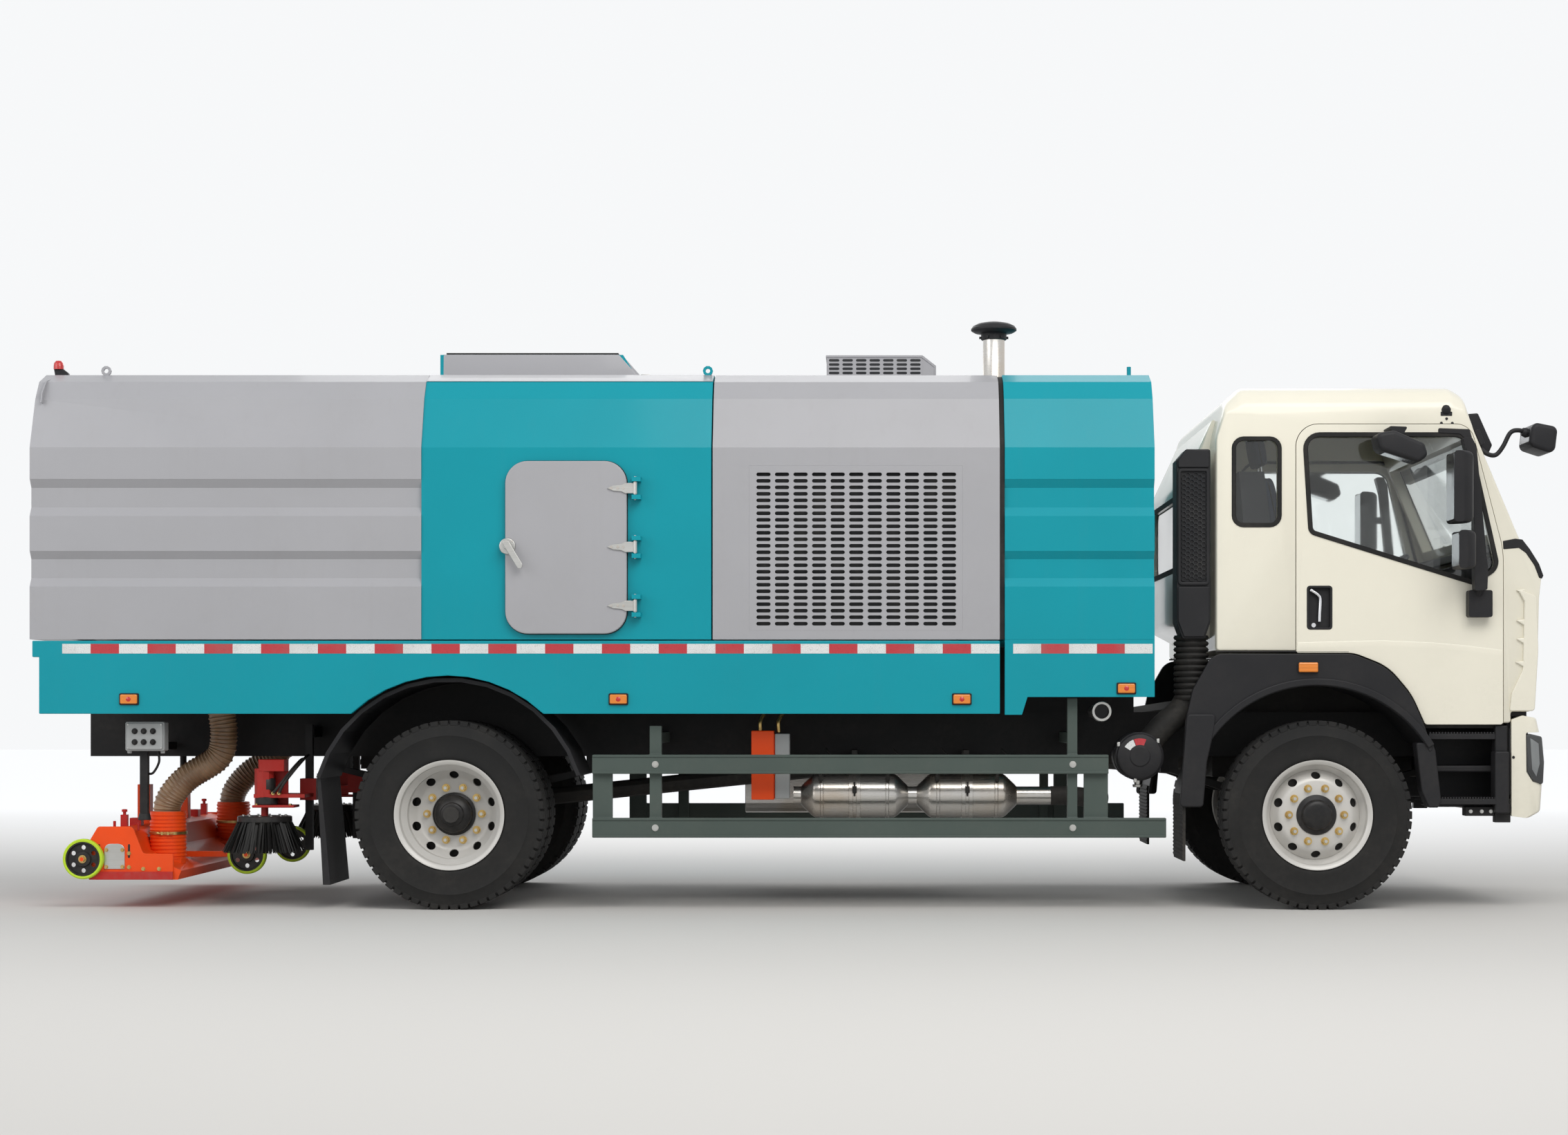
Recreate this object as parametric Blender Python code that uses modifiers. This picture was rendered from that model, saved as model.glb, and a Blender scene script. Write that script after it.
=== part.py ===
"""Wash-and-sweep truck on a two-axle 18 t chassis. Metres, +X forward, +Y left, +Z up, ground at Z = 0."""

import math

import bmesh
import bpy
from mathutils import Matrix, Vector

# Driving dimensions: running gear
REAR_AXLE_X = -1.877
WHEELBASE = 4.70
FRONT_AXLE_X = REAR_AXLE_X + WHEELBASE
TYRE_RADIUS = 0.5125
TYRE_WIDTH = 0.27
BEAD_RADIUS = 0.286
BEAD_FIT = 0.0004
LIP_RADIUS = 0.2995
RIM_GAUGE = 0.014
HAND_HOLES = 10
HAND_HOLE_RADIUS = 0.026
HAND_HOLE_CLOCKING = math.radians(2)
OUTER_WHEEL_Y = 1.058
TWIN_SPACING = 0.312
HUB_RADIUS = 0.112
SPINDLE_RADIUS = 0.045
PIN_FIT = 0.001
WHEEL_SIDES = 20
KINGPIN_Y = 0.80

# Driving dimensions: frame
RAIL_Y = 0.43
RAIL_WIDTH = 0.08
RAIL_BOTTOM = 0.82
RAIL_TOP = 1.07
FRAME_REAR = -4.02
FRAME_FRONT = 3.78
SUBFRAME_TOP = 1.44
SUBFRAME_FRONT = 1.90
SPRING_HALF_SPAN = 0.72
LEAF_PACK = 0.07

# Driving dimensions: body
BODY_HALF_WIDTH = 1.25
BODY_SKIN = 0.04
BODY_REAR = -4.126
HOPPER_FRONT = -0.455
BAY_FRONT = 1.10
BOX_REAR = 1.127
BOX_FRONT = 1.934
FLOOR_Z = 1.462
SILL_TOP = 1.455
SILL_BOTTOM = 1.061
ROOF_Z = 2.935
CREASE_Z = 2.497
ROOF_INSET = 0.30
RIB_DEPTH = 0.03
SEAT_GAP = 0.0003
MOVING_GAP = 0.008
TIP_PIVOT = (-4.10, 1.41)

# Driving dimensions: cab
CAB_HALF_WIDTH = 1.13
CAB_WALL = 0.06
CAB_ROOF = 2.845
CAB_PIVOT = (3.925, 1.30)
PIVOT_LUG = (0.40, 0.46)
DOOR_REAR = 2.715
DOOR_FRONT = 3.838
DOOR_BOTTOM = 1.003
DOOR_TOP = 2.634
DOOR_LEAF = 0.05
DOOR_HINGE = (3.846, CAB_HALF_WIDTH + 0.018)
DOOR_HINGE_Z = (1.16, 1.66)
DOOR_PIN = 0.007
DOOR_BARREL = 0.014

# Driving dimensions: sweeping gear
NOZZLE_REAR = -3.854
NOZZLE_FRONT = -3.379
NOZZLE_HALF_WIDTH = 1.05
NOZZLE_BOTTOM = 0.155
NOZZLE_DECK = 0.29
HOSE_RADIUS = 0.075
HOSE_Y = 0.78
NOZZLE_WHEEL_RADIUS = 0.11
DUCT_BOTTOM = 1.085
DUCT_TOP = FLOOR_Z - MOVING_GAP
HOSE_TOP_X = -3.20
NOZZLE_GUIDE = (-3.72, RAIL_Y)
NOZZLE_GUIDE_BOTTOM = 0.47
GUIDE_RADIUS = 0.02
BRUSH_POST_REACH = 0.20
BRUSH_POST_Y = 0.70
BRUSH_RADIUS = 0.235
BRUSH_CENTRE = (-2.93, 0.93)

SIDES = (("r", -1), ("l", 1))
RIGHT = -1

COLOURS = {
    # name: (red, green, blue, roughness, metallic)
    "cream": (0.82, 0.78, 0.66, 0.3, 0.0),
    "gray": (0.45, 0.45, 0.48, 0.4, 0.1),
    "teal": (0.0, 0.33, 0.40, 0.35, 0.0),
    "black": (0.02, 0.02, 0.022, 0.55, 0.0),
    "guard": (0.13, 0.17, 0.15, 0.45, 0.1),
    "orange": (0.75, 0.09, 0.02, 0.4, 0.0),
    "rim": (0.6, 0.6, 0.6, 0.3, 0.8),
    "tyre": (0.02, 0.02, 0.02, 0.85, 0.0),
    "steel": (0.45, 0.43, 0.40, 0.3, 0.9),
    "hose": (0.30, 0.20, 0.13, 0.5, 0.0),
    "lime": (0.55, 0.75, 0.05, 0.5, 0.0),
    "seat": (0.06, 0.06, 0.07, 0.8, 0.0),
}

for stale in list(bpy.data.objects):
    bpy.data.objects.remove(stale)
TRUCK = bpy.data.collections.new("street_sweeper_truck")
bpy.context.scene.collection.children.link(TRUCK)


def finish(name):
    """The Principled material of this colour name, made once."""
    if name in bpy.data.materials:
        return bpy.data.materials[name]
    red, green, blue, roughness, metallic = COLOURS[name]
    material = bpy.data.materials.new(name)
    material.use_nodes = True
    shader = material.node_tree.nodes["Principled BSDF"]
    shader.inputs["Base Color"].default_value = (red, green, blue, 1)
    shader.inputs["Roughness"].default_value = roughness
    shader.inputs["Metallic"].default_value = metallic
    material.diffuse_color = (red, green, blue, 1)
    return material


def placed(name, mesh):
    obj = bpy.data.objects.new(name, mesh)
    TRUCK.objects.link(obj)
    return obj


def meshed(obj):
    """The object with its curve or modifiers made into a plain, welded mesh in world space."""
    bpy.context.view_layer.update()
    graph = bpy.context.evaluated_depsgraph_get()
    mesh = bpy.data.meshes.new_from_object(obj.evaluated_get(graph), depsgraph=graph)
    mesh.transform(obj.matrix_world)
    shape = bmesh.new()
    shape.from_mesh(mesh)
    bmesh.ops.remove_doubles(shape, verts=shape.verts, dist=1e-5)
    shape.to_mesh(mesh)
    shape.free()
    name = obj.name
    bpy.data.objects.remove(obj)
    return placed(name, mesh)


def box(x, y, z, name="box"):
    """A box from (low, high) on each axis."""
    shape = bmesh.new()
    bmesh.ops.create_cube(shape, size=1)
    spans = [high - low for low, high in (x, y, z)]
    centre = [(high + low) / 2 for low, high in (x, y, z)]
    bmesh.ops.scale(shape, vec=spans, verts=shape.verts)
    bmesh.ops.translate(shape, vec=centre, verts=shape.verts)
    mesh = bpy.data.meshes.new(name)
    shape.to_mesh(mesh)
    shape.free()
    return placed(name, mesh)


def sided(side, near, far):
    """The (low, high) on Y between two distances from the centre plane, on this side."""
    return tuple(sorted((side * near, side * far)))


def rod(start, end, radius, end_radius=None, sides=10, name="rod"):
    """A cylinder or cone between two points."""
    start, end = Vector(start), Vector(end)
    shape = bmesh.new()
    bmesh.ops.create_cone(
        shape,
        cap_ends=True,
        segments=sides,
        radius1=radius,
        radius2=radius if end_radius is None else end_radius,
        depth=(end - start).length,
    )
    turn = (end - start).to_track_quat("Z", "Y").to_matrix().to_4x4()
    bmesh.ops.transform(shape, matrix=Matrix.Translation((start + end) / 2) @ turn, verts=shape.verts)
    mesh = bpy.data.meshes.new(name)
    shape.to_mesh(mesh)
    shape.free()
    return placed(name, mesh)


def rounded(corners, steps=3):
    """Outline points from (u, v, radius) corners, each round corner as an arc."""
    points = []
    count = len(corners)
    for i, (u, v, radius) in enumerate(corners):
        here = Vector((u, v))
        if not radius:
            points.append(here)
            continue
        before = (Vector(corners[i - 1][:2]) - here).normalized()
        after = (Vector(corners[(i + 1) % count][:2]) - here).normalized()
        half = before.angle(after) / 2
        reach = radius / math.tan(half)
        centre = here + (before + after).normalized() * (radius / math.sin(half))
        first = here + before * reach - centre
        last = here + after * reach - centre
        sweep = first.angle_signed(last)
        for step in range(steps + 1):
            turn = Matrix.Rotation(-sweep * step / steps, 2)
            points.append(centre + turn @ first)
    return points


AXES = {
    # normal of the outline's plane: matrix that takes (u, v, depth) to world
    "x": Matrix(((0, 0, 1, 0), (1, 0, 0, 0), (0, 1, 0, 0), (0, 0, 0, 1))),
    "y": Matrix(((1, 0, 0, 0), (0, 0, -1, 0), (0, 1, 0, 0), (0, 0, 0, 1))),
    "z": Matrix.Identity(4),
}


def slab(axis, span, outer, holes=(), name="slab"):
    """A flat outline with holes, as (u, v) points, filled and extruded over a span of the axis."""
    curve = bpy.data.curves.new(name, "CURVE")
    curve.dimensions = "2D"
    curve.fill_mode = "BOTH"
    low, high = span
    curve.extrude = (high - low) / 2
    for points in (outer, *holes):
        spline = curve.splines.new("POLY")
        spline.points.add(len(points) - 1)
        for spot, point in zip(spline.points, points):
            spot.co = (point[0], point[1], 0, 1)
        spline.use_cyclic_u = True
    obj = placed(name, curve)
    middle = (low + high) / 2
    obj.matrix_world = AXES[axis] @ Matrix.Translation((0, 0, -middle if axis == "y" else middle))
    return outward(meshed(obj))


def outward(obj):
    shape = bmesh.new()
    shape.from_mesh(obj.data)
    bmesh.ops.recalc_face_normals(shape, faces=shape.faces)
    if shape.calc_volume(signed=True) < 0:
        bmesh.ops.reverse_faces(shape, faces=shape.faces)
    shape.to_mesh(obj.data)
    shape.free()
    return obj


def rectangle(u, v):
    return [(u[0], v[0]), (u[1], v[0]), (u[1], v[1]), (u[0], v[1])]


def turned(profile, centre, along="y", side=1, sides=WHEEL_SIDES, name="turned"):
    """A (radius, offset) profile turned about the axis through the centre; offset grows to that side.

    A profile that starts on the axis ends there too, and any other is closed into a ring.
    """
    mesh = bpy.data.meshes.new(name)
    points = [(radius, 0, offset) for radius, offset in profile]
    on_axis = profile[0][0] == 0
    edges = [(i, (i + 1) % len(points)) for i in range(len(points) - on_axis)]
    mesh.from_pydata(points, edges, [])
    obj = placed(name, mesh)
    screw = obj.modifiers.new("turn", "SCREW")
    screw.steps = sides
    screw.render_steps = sides
    screw.use_merge_vertices = True
    screw.merge_threshold = 0.0001
    facing = {"y": Vector((0, side, 0)), "z": Vector((0, 0, side)), "x": Vector((side, 0, 0))}[along]
    obj.matrix_world = Matrix.Translation(centre) @ facing.to_track_quat("Z", "X").to_matrix().to_4x4()
    return outward(meshed(obj))


def tube(points, radius, resolution=2, loop=False, name="tube"):
    """A round tube through the points, or a closed ring of it."""
    curve = bpy.data.curves.new(name, "CURVE")
    curve.dimensions = "3D"
    curve.bevel_depth = radius
    curve.bevel_resolution = resolution
    curve.use_fill_caps = True
    spline = curve.splines.new("POLY")
    spline.points.add(len(points) - 1)
    for spot, point in zip(spline.points, points):
        spot.co = (*point, 1)
    spline.use_cyclic_u = loop
    return outward(meshed(placed(name, curve)))


def joined(adds, cuts=()):
    """The first solid, with the others joined to it and the cutters taken out."""
    body, *others = adds
    for operation, tools in (("UNION", others), ("DIFFERENCE", cuts)):
        for tool in tools:
            modifier = body.modifiers.new(operation.lower(), "BOOLEAN")
            modifier.operation = operation
            modifier.solver = "EXACT"
            modifier.object = tool
    body = meshed(body) if (others or cuts) else body
    for tool in (*others, *cuts):
        bpy.data.objects.remove(tool)
    return body


def built(name, colour, adds, cuts=(), origin=(0, 0, 0)):
    """One closed body under its own name, with its material and its origin."""
    body = joined(adds, cuts)
    body.name = name
    body.data.name = name
    body.data.materials.clear()
    body.data.materials.append(finish(colour))
    body.data.transform(Matrix.Translation(-Vector(origin)))
    body.location = origin
    body.data.shade_smooth()
    body.data.set_sharp_from_angle(angle=math.radians(35))
    return body


def spread(start, end, count):
    """Evenly spaced values from start to end."""
    return [start + (end - start) * i / (count - 1) for i in range(count)]


def leaf_spring(axle_x, side, seat_z):
    """A leaf pack under the rail, from hanger to hanger, resting on the axle's seat."""
    hanger_z = RAIL_BOTTOM - 0.02
    dip = hanger_z - seat_z - LEAF_PACK
    lower = [
        (axle_x + SPRING_HALF_SPAN * t, seat_z + dip * t * t)
        for t in spread(-1, 1, 5)
    ]
    upper = [(x, z + LEAF_PACK * (1 - 0.6 * abs(x - axle_x) / SPRING_HALF_SPAN)) for x, z in lower]
    width = sided(side, RAIL_Y - 0.038, RAIL_Y + 0.038)
    return slab("y", width, lower + upper[::-1])


def spring_hanger(x, side):
    width = sided(side, RAIL_Y - 0.034, RAIL_Y + 0.034)
    return box((x - 0.05, x + 0.05), width, (RAIL_BOTTOM - 0.09, RAIL_BOTTOM + 0.02))


REAR_SEAT_Z = TYRE_RADIUS + 0.10
FRONT_SEAT_Z = TYRE_RADIUS + 0.05
CROSS_X = (-3.95, -2.95, -0.95, 0.55, 3.70)
OUTRIGGER_X = (-3.90, -2.95, -0.75, 0.90, 1.50)
PAD_X = (-0.25, 0.90, 1.50)
CYLINDER_BASE = (-1.40, 1.20)
CYLINDER_EYE = (-2.75, 1.36)
CYLINDER_RADIUS = 0.06
EYE_WIDTH = 0.05


def hose_duct(side):
    """The upright duct from a hose to the hopper's floor, welded to the subframe."""
    y = side * HOSE_Y
    adds = [box((HOSE_TOP_X - 0.14, HOSE_TOP_X + 0.14), sided(side, RAIL_Y, 0.90), (DUCT_BOTTOM, DUCT_TOP))]
    adds.append(rod((HOSE_TOP_X, y, DUCT_BOTTOM), (HOSE_TOP_X, y, DUCT_BOTTOM + 0.05), 0.09))
    return adds


def brush_guide(side):
    """The post and arm that carry a side brush's sliding carriage."""
    x = BRUSH_CENTRE[0] + BRUSH_POST_REACH
    adds = [box((x - 0.02, x + 0.02), sided(side, BRUSH_POST_Y - 0.02, BRUSH_POST_Y + 0.02), (0.30, 1.0))]
    adds.append(box((x - 0.025, x + 0.025), sided(side, RAIL_Y, BRUSH_POST_Y), (0.93, 0.99)))
    return adds


def chassis_frame():
    adds = []
    for name, side in SIDES:
        near, far = RAIL_Y - RAIL_WIDTH / 2, RAIL_Y + RAIL_WIDTH / 2
        adds.append(box((FRAME_REAR, FRAME_FRONT), sided(side, near, far), (RAIL_BOTTOM, RAIL_TOP)))
        adds.append(
            box(
                (FRAME_REAR, SUBFRAME_FRONT),
                sided(side, near + 0.01, far - 0.01),
                (RAIL_TOP - 0.01, SUBFRAME_TOP),
            )
        )
        for axle_x, seat_z in ((REAR_AXLE_X, REAR_SEAT_Z), (FRONT_AXLE_X, FRONT_SEAT_Z)):
            adds.append(leaf_spring(axle_x, side, seat_z))
            for end in (-1, 1):
                adds.append(spring_hanger(axle_x + end * SPRING_HALF_SPAN, side))
        adds += hose_duct(side) + brush_guide(side)
        guide_x, guide_y = NOZZLE_GUIDE[0], side * NOZZLE_GUIDE[1]
        adds.append(
            rod((guide_x, guide_y, NOZZLE_GUIDE_BOTTOM), (guide_x, guide_y, RAIL_BOTTOM + 0.02), GUIDE_RADIUS, sides=12)
        )
        for x in PAD_X:
            adds.append(box((x - 0.06, x + 0.06), sided(side, near + 0.015, far - 0.015), (SUBFRAME_TOP - 0.01, FLOOR_Z - SEAT_GAP)))
        for x in OUTRIGGER_X:
            adds.append(
                box(
                    (x - 0.04, x + 0.04),
                    sided(side, near + 0.02, BODY_HALF_WIDTH - BODY_SKIN - SEAT_GAP),
                    (SILL_TOP - 0.12, SILL_TOP - 0.03),
                )
            )
        pivot_x, pivot_z = TIP_PIVOT
        adds.append(
            slab(
                "y",
                sided(side, near + 0.01, far - 0.01),
                [
                    (FRAME_REAR + 0.05, SUBFRAME_TOP - 0.30),
                    (FRAME_REAR + 0.05, SUBFRAME_TOP - 0.01),
                    (pivot_x + 0.012, SUBFRAME_TOP - 0.01),
                    (pivot_x - 0.02, pivot_z + 0.012),
                    (pivot_x - 0.02, pivot_z - 0.03),
                ],
            )
        )
    pins = ((TIP_PIVOT, RAIL_Y), (CYLINDER_BASE, 0.085))
    for (x, z), reach in pins:
        adds.append(rod((x, -reach, z), (x, reach, z), 0.018, sides=12))
    for side in (-1, 1):
        cab_x, cab_z = CAB_PIVOT
        lug = [(3.60, 1.06), (3.70, 0.86), (3.82, 0.90), (3.78, 1.02), (3.747, 1.0965)]
        lug += [(cab_x + 0.013, cab_z - 0.013), (cab_x + 0.012, cab_z + 0.016), (cab_x - 0.016, cab_z + 0.016)]
        lug.append((3.697, 1.1035))
        adds.append(slab("y", sided(side, *PIVOT_LUG), lug))
        adds.append(rod((cab_x, side * 0.33, cab_z), (cab_x, side * 0.45, cab_z), 0.018, sides=12))
    for x in CROSS_X:
        adds.append(box((x - 0.05, x + 0.05), (-RAIL_Y, RAIL_Y), (RAIL_BOTTOM + 0.04, RAIL_TOP - 0.05)))
    base_x, base_z = CYLINDER_BASE
    adds.append(box((base_x - 0.05, base_x + 0.05), (-RAIL_Y, RAIL_Y), (base_z - 0.18, base_z - 0.08)))
    for side in (-1, 1):
        adds.append(
            box(
                (base_x - 0.04, base_x + 0.04),
                sided(side, EYE_WIDTH + 0.008, 0.085),
                (base_z - 0.10, base_z + 0.04),
            )
        )
    return built("chassis_frame", "black", adds)


SPINDLE_END = OUTER_WHEEL_Y + 0.06
EYE_RADIUS = 0.055
EYE_BOTTOM = TYRE_RADIUS - 0.05
EYE_TOP = TYRE_RADIUS + 0.05


def front_axle():
    beam_z = TYRE_RADIUS - 0.13
    profile = rounded(
        [
            (-KINGPIN_Y, EYE_BOTTOM + 0.01, 0),
            (-0.70, EYE_BOTTOM + 0.01, 0),
            (-0.60, beam_z - 0.05, 0.06),
            (0.60, beam_z - 0.05, 0.06),
            (0.70, EYE_BOTTOM + 0.01, 0),
            (KINGPIN_Y, EYE_BOTTOM + 0.01, 0),
            (KINGPIN_Y, EYE_TOP - 0.01, 0),
            (0.62, EYE_TOP - 0.01, 0),
            (0.55, beam_z + 0.05, 0.06),
            (-0.55, beam_z + 0.05, 0.06),
            (-0.62, EYE_TOP - 0.01, 0),
            (-KINGPIN_Y, EYE_TOP - 0.01, 0),
        ],
        steps=2,
    )
    adds = [slab("x", (FRONT_AXLE_X - 0.04, FRONT_AXLE_X + 0.04), profile)]
    for side in (-1, 1):
        y = side * KINGPIN_Y
        adds.append(rod((FRONT_AXLE_X, y, EYE_BOTTOM), (FRONT_AXLE_X, y, EYE_TOP), EYE_RADIUS))
        adds.append(
            rod((FRONT_AXLE_X, y, EYE_BOTTOM - 0.05), (FRONT_AXLE_X, y, EYE_TOP + 0.05), 0.022, sides=12)
        )
        seat = sided(side, RAIL_Y - 0.05, RAIL_Y + 0.05)
        adds.append(
            box((FRONT_AXLE_X - 0.06, FRONT_AXLE_X + 0.06), seat, (beam_z, FRONT_SEAT_Z - SEAT_GAP))
        )
    return built("front_axle", "black", adds)


def knuckle(name, side):
    """The fork round the axle's eye and the spindle that carries the wheel."""
    x, y = FRONT_AXLE_X, side * KINGPIN_Y
    wall = (0.868, 0.90)
    adds = [box((x - 0.05, x + 0.05), sided(side, *wall), (EYE_BOTTOM - 0.04, EYE_TOP + 0.04))]
    for low, high in ((EYE_BOTTOM - 0.04, EYE_BOTTOM - 0.006), (EYE_TOP + 0.006, EYE_TOP + 0.04)):
        adds.append(box((x - 0.045, x + 0.045), sided(side, 0.755, wall[1] - 0.005), (low, high)))
    adds.append(
        rod(
            (x, side * (wall[1] - 0.01), TYRE_RADIUS),
            (x, side * SPINDLE_END, TYRE_RADIUS),
            SPINDLE_RADIUS,
        )
    )
    bore = rod((x, y, EYE_BOTTOM - 0.2), (x, y, EYE_TOP + 0.2), 0.022 + PIN_FIT, sides=12)
    return built(f"knuckle_{name}", "black", adds, [bore], (x, y, TYRE_RADIUS))


def rear_axle():
    x, z = REAR_AXLE_X, TYRE_RADIUS
    bulge = turned([(0, 0.15), (0.11, 0.14), (0.20, 0.07), (0.20, -0.07), (0.11, -0.14), (0, -0.15)], (x, 0, z), sides=14)
    adds = [rod((x, -0.585, z), (x, 0.585, z), 0.075), bulge]
    adds.append(rod((x, -SPINDLE_END, z), (x, SPINDLE_END, z), SPINDLE_RADIUS))
    adds.append(rod((x, 0, z + 0.03), (x + 0.36, 0, z + 0.06), 0.09, 0.06))
    for side in (-1, 1):
        seat = sided(side, RAIL_Y - 0.05, RAIL_Y + 0.05)
        adds.append(box((x - 0.07, x + 0.07), seat, (z - 0.09, REAR_SEAT_Z - SEAT_GAP)))
    return built("rear_axle", "black", adds)


MOUNT_REACH = RAIL_Y - RAIL_WIDTH / 2 - SEAT_GAP


def main_engine():
    """The engine block with its gearbox and the shaft to the rear axle."""
    block = slab(
        "y",
        (-0.36, 0.36),
        [(2.36, 0.70), (3.60, 0.70), (3.60, 1.18), (3.42, 1.32), (2.50, 1.32), (2.36, 1.20)],
    )
    gearbox = rod((2.40, 0, 0.93), (1.62, 0, 0.90), 0.24, 0.15)
    shaft = rod((1.66, 0, 0.90), (REAR_AXLE_X + 0.36 + SEAT_GAP, 0, TYRE_RADIUS + 0.06), 0.05)
    trim = box((REAR_AXLE_X, REAR_AXLE_X + 0.368), (-0.2, 0.2), (0.3, 0.9))
    mounts = [box((x - 0.05, x + 0.05), (-MOUNT_REACH, MOUNT_REACH), (0.92, 1.0)) for x in (2.55, 3.35)]
    return built("main_engine", "black", [block, gearbox, shaft, *mounts], [trim])


def tyre(name, axle_x, side, centre_y):
    """A closed tyre section: beads, sidewalls, shoulders and a crowned tread."""
    half = TYRE_WIDTH / 2
    bead = half - 0.035
    section = [
        (BEAD_RADIUS, -bead),
        (0.39, -half),
        (TYRE_RADIUS - 0.045, -half + 0.004),
        (TYRE_RADIUS - 0.008, -half + 0.03),
        (TYRE_RADIUS, 0),
        (TYRE_RADIUS - 0.008, half - 0.03),
        (TYRE_RADIUS - 0.045, half - 0.004),
        (0.39, half),
        (BEAD_RADIUS, bead),
    ]
    centre = (axle_x, side * centre_y, TYRE_RADIUS)
    return built(name, "tyre", [turned(section, centre, side=side)], origin=centre)


RIM_SEAT = BEAD_RADIUS - BEAD_FIT
RIM_EDGE = TYRE_WIDTH / 2 - 0.012
DROP_DEPTH = 0.03


def rim_well(offset, drop_centre=True):
    """The outside of one rim from its inner lip to its outer lip, with the drop centre between the bead seats."""
    drop = RIM_SEAT - DROP_DEPTH
    well = [(LIP_RADIUS, -RIM_EDGE), (RIM_SEAT, -RIM_EDGE + 0.018)]
    if drop_centre:
        well += [(RIM_SEAT, -0.05), (drop, -0.02), (drop, 0.02), (RIM_SEAT, 0.05)]
    well += [(RIM_SEAT, RIM_EDGE - 0.018), (LIP_RADIUS, RIM_EDGE)]
    return [(radius, y + offset) for radius, y in well]


def rim_disc(face, root):
    """The disc from the rim's inside to the hub cap and back: cone, bolt face, cap, bore and the rear of it."""
    bore = SPINDLE_RADIUS + PIN_FIT
    inside = RIM_SEAT - DROP_DEPTH - RIM_GAUGE
    return [
        (inside, root + RIM_GAUGE),
        (0.175, face),
        (HUB_RADIUS, face),
        (HUB_RADIUS - 0.02, face + 0.045),
        (bore, face + 0.045),
        (bore, face - 0.05),
        (0.170, face - RIM_GAUGE),
        (inside, root),
    ]


def hand_holes(centre, side, offset, reach):
    """Cutters for the ring of hand holes in the disc."""
    x, y, z = centre
    cutters = []
    for i in range(HAND_HOLES):
        angle = 2 * math.pi * (i + 0.5) / HAND_HOLES + HAND_HOLE_CLOCKING
        hole_x, hole_z = x + 0.208 * math.cos(angle), z + 0.208 * math.sin(angle)
        start = (hole_x, y + side * (offset - reach), hole_z)
        cutters.append(rod(start, (hole_x, y + side * (offset + reach), hole_z), HAND_HOLE_RADIUS, sides=6))
    return cutters


def front_rim(name, side):
    """The disc stands outwards, so the front wheel looks convex."""
    centre = (FRONT_AXLE_X, side * OUTER_WHEEL_Y, TYRE_RADIUS)
    wall = RIM_SEAT - RIM_GAUGE
    inside = wall - DROP_DEPTH
    section = rim_well(0) + [(wall, RIM_EDGE), (wall, 0.06)] + rim_disc(0.085, 0.03)
    section += [(inside, -0.03), (wall, -0.06), (wall, -RIM_EDGE)]
    body = turned(section, centre, side=side)
    cutters = hand_holes(centre, side, 0.07, 0.05)
    return built(f"front_rim_{name}", "rim", [body], cutters, centre)


def rear_rim(name, side):
    """Two rims on one deep disc, so the twin wheels turn as one."""
    centre = (REAR_AXLE_X, side * OUTER_WHEEL_Y, TYRE_RADIUS)
    wall = RIM_SEAT - RIM_GAUGE
    inside = wall - DROP_DEPTH
    waist = RIM_SEAT - 0.02
    between = [(waist, RIM_EDGE - TWIN_SPACING), (waist, -RIM_EDGE)]
    section = rim_well(-TWIN_SPACING, drop_centre=False) + between + rim_well(0)
    section += [(wall, RIM_EDGE), (wall, 0.06)] + rim_disc(-0.075, -0.03)
    section += [(inside, -TWIN_SPACING + 0.05), (wall, -TWIN_SPACING - RIM_EDGE)]
    body = turned(section, centre, side=side)
    cutters = hand_holes(centre, side, -0.05, 0.06)
    return built(f"rear_rim_{name}", "rim", [body], cutters, centre)


def offset(points, distance):
    """The outline moved outwards by a distance, with mitred corners (counter-clockwise points)."""
    moved = []
    count = len(points)
    for i in range(count):
        here = Vector(points[i])
        before = (here - Vector(points[i - 1])).normalized()
        after = (Vector(points[(i + 1) % count]) - here).normalized()
        normal = Vector((before.y + after.y, -before.x - after.x)).normalized()
        reach = distance / max(0.3, normal.dot(Vector((before.y, -before.x))))
        moved.append(here + normal * reach)
    return moved


# One pressed groove: heights where it leaves the skin, reaches its floor, leaves it and comes back
GROOVES = ((1.747, 1.794, 1.896, 1.939), (2.127, 2.176, 2.281, 2.327))
SHOULDER = ((0.0, CREASE_Z), (0.10, 2.77), (0.17, 2.87), (ROOF_INSET, ROOF_Z - 0.012))
INNER_WALL_Y = BODY_HALF_WIDTH - RIB_DEPTH - BODY_SKIN
INNER_FLOOR_Z = FLOOR_Z + BODY_SKIN


def body_section(grooved, skin_y=BODY_HALF_WIDTH):
    """The closed body's cross-section as (y, z): upright side with grooves, leaning shoulder, crowned roof."""
    side = [(skin_y, FLOOR_Z)]
    for leave, floor, rise, back in GROOVES if grooved else ():
        side += [(skin_y, leave), (skin_y - RIB_DEPTH, floor)]
        side += [(skin_y - RIB_DEPTH, rise), (skin_y, back)]
    side += [(skin_y - inset, z) for inset, z in SHOULDER]
    return side + [(0, ROOF_Z)] + [(-y, z) for y, z in reversed(side)]


def inner_section(clearance=0.0):
    """The hollow inside the body: straight walls up to the crease, then in under the roof."""
    wall, floor, crease = INNER_WALL_Y - clearance, INNER_FLOOR_Z + clearance, CREASE_Z - 0.02
    roof = ROOF_Z - BODY_SKIN - 0.02 - clearance
    side = [(wall, floor), (wall, crease), (wall - 0.13, 2.80 - clearance), (wall - 0.28, roof)]
    return side + [(-y, z) for y, z in reversed(side)]


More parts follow.
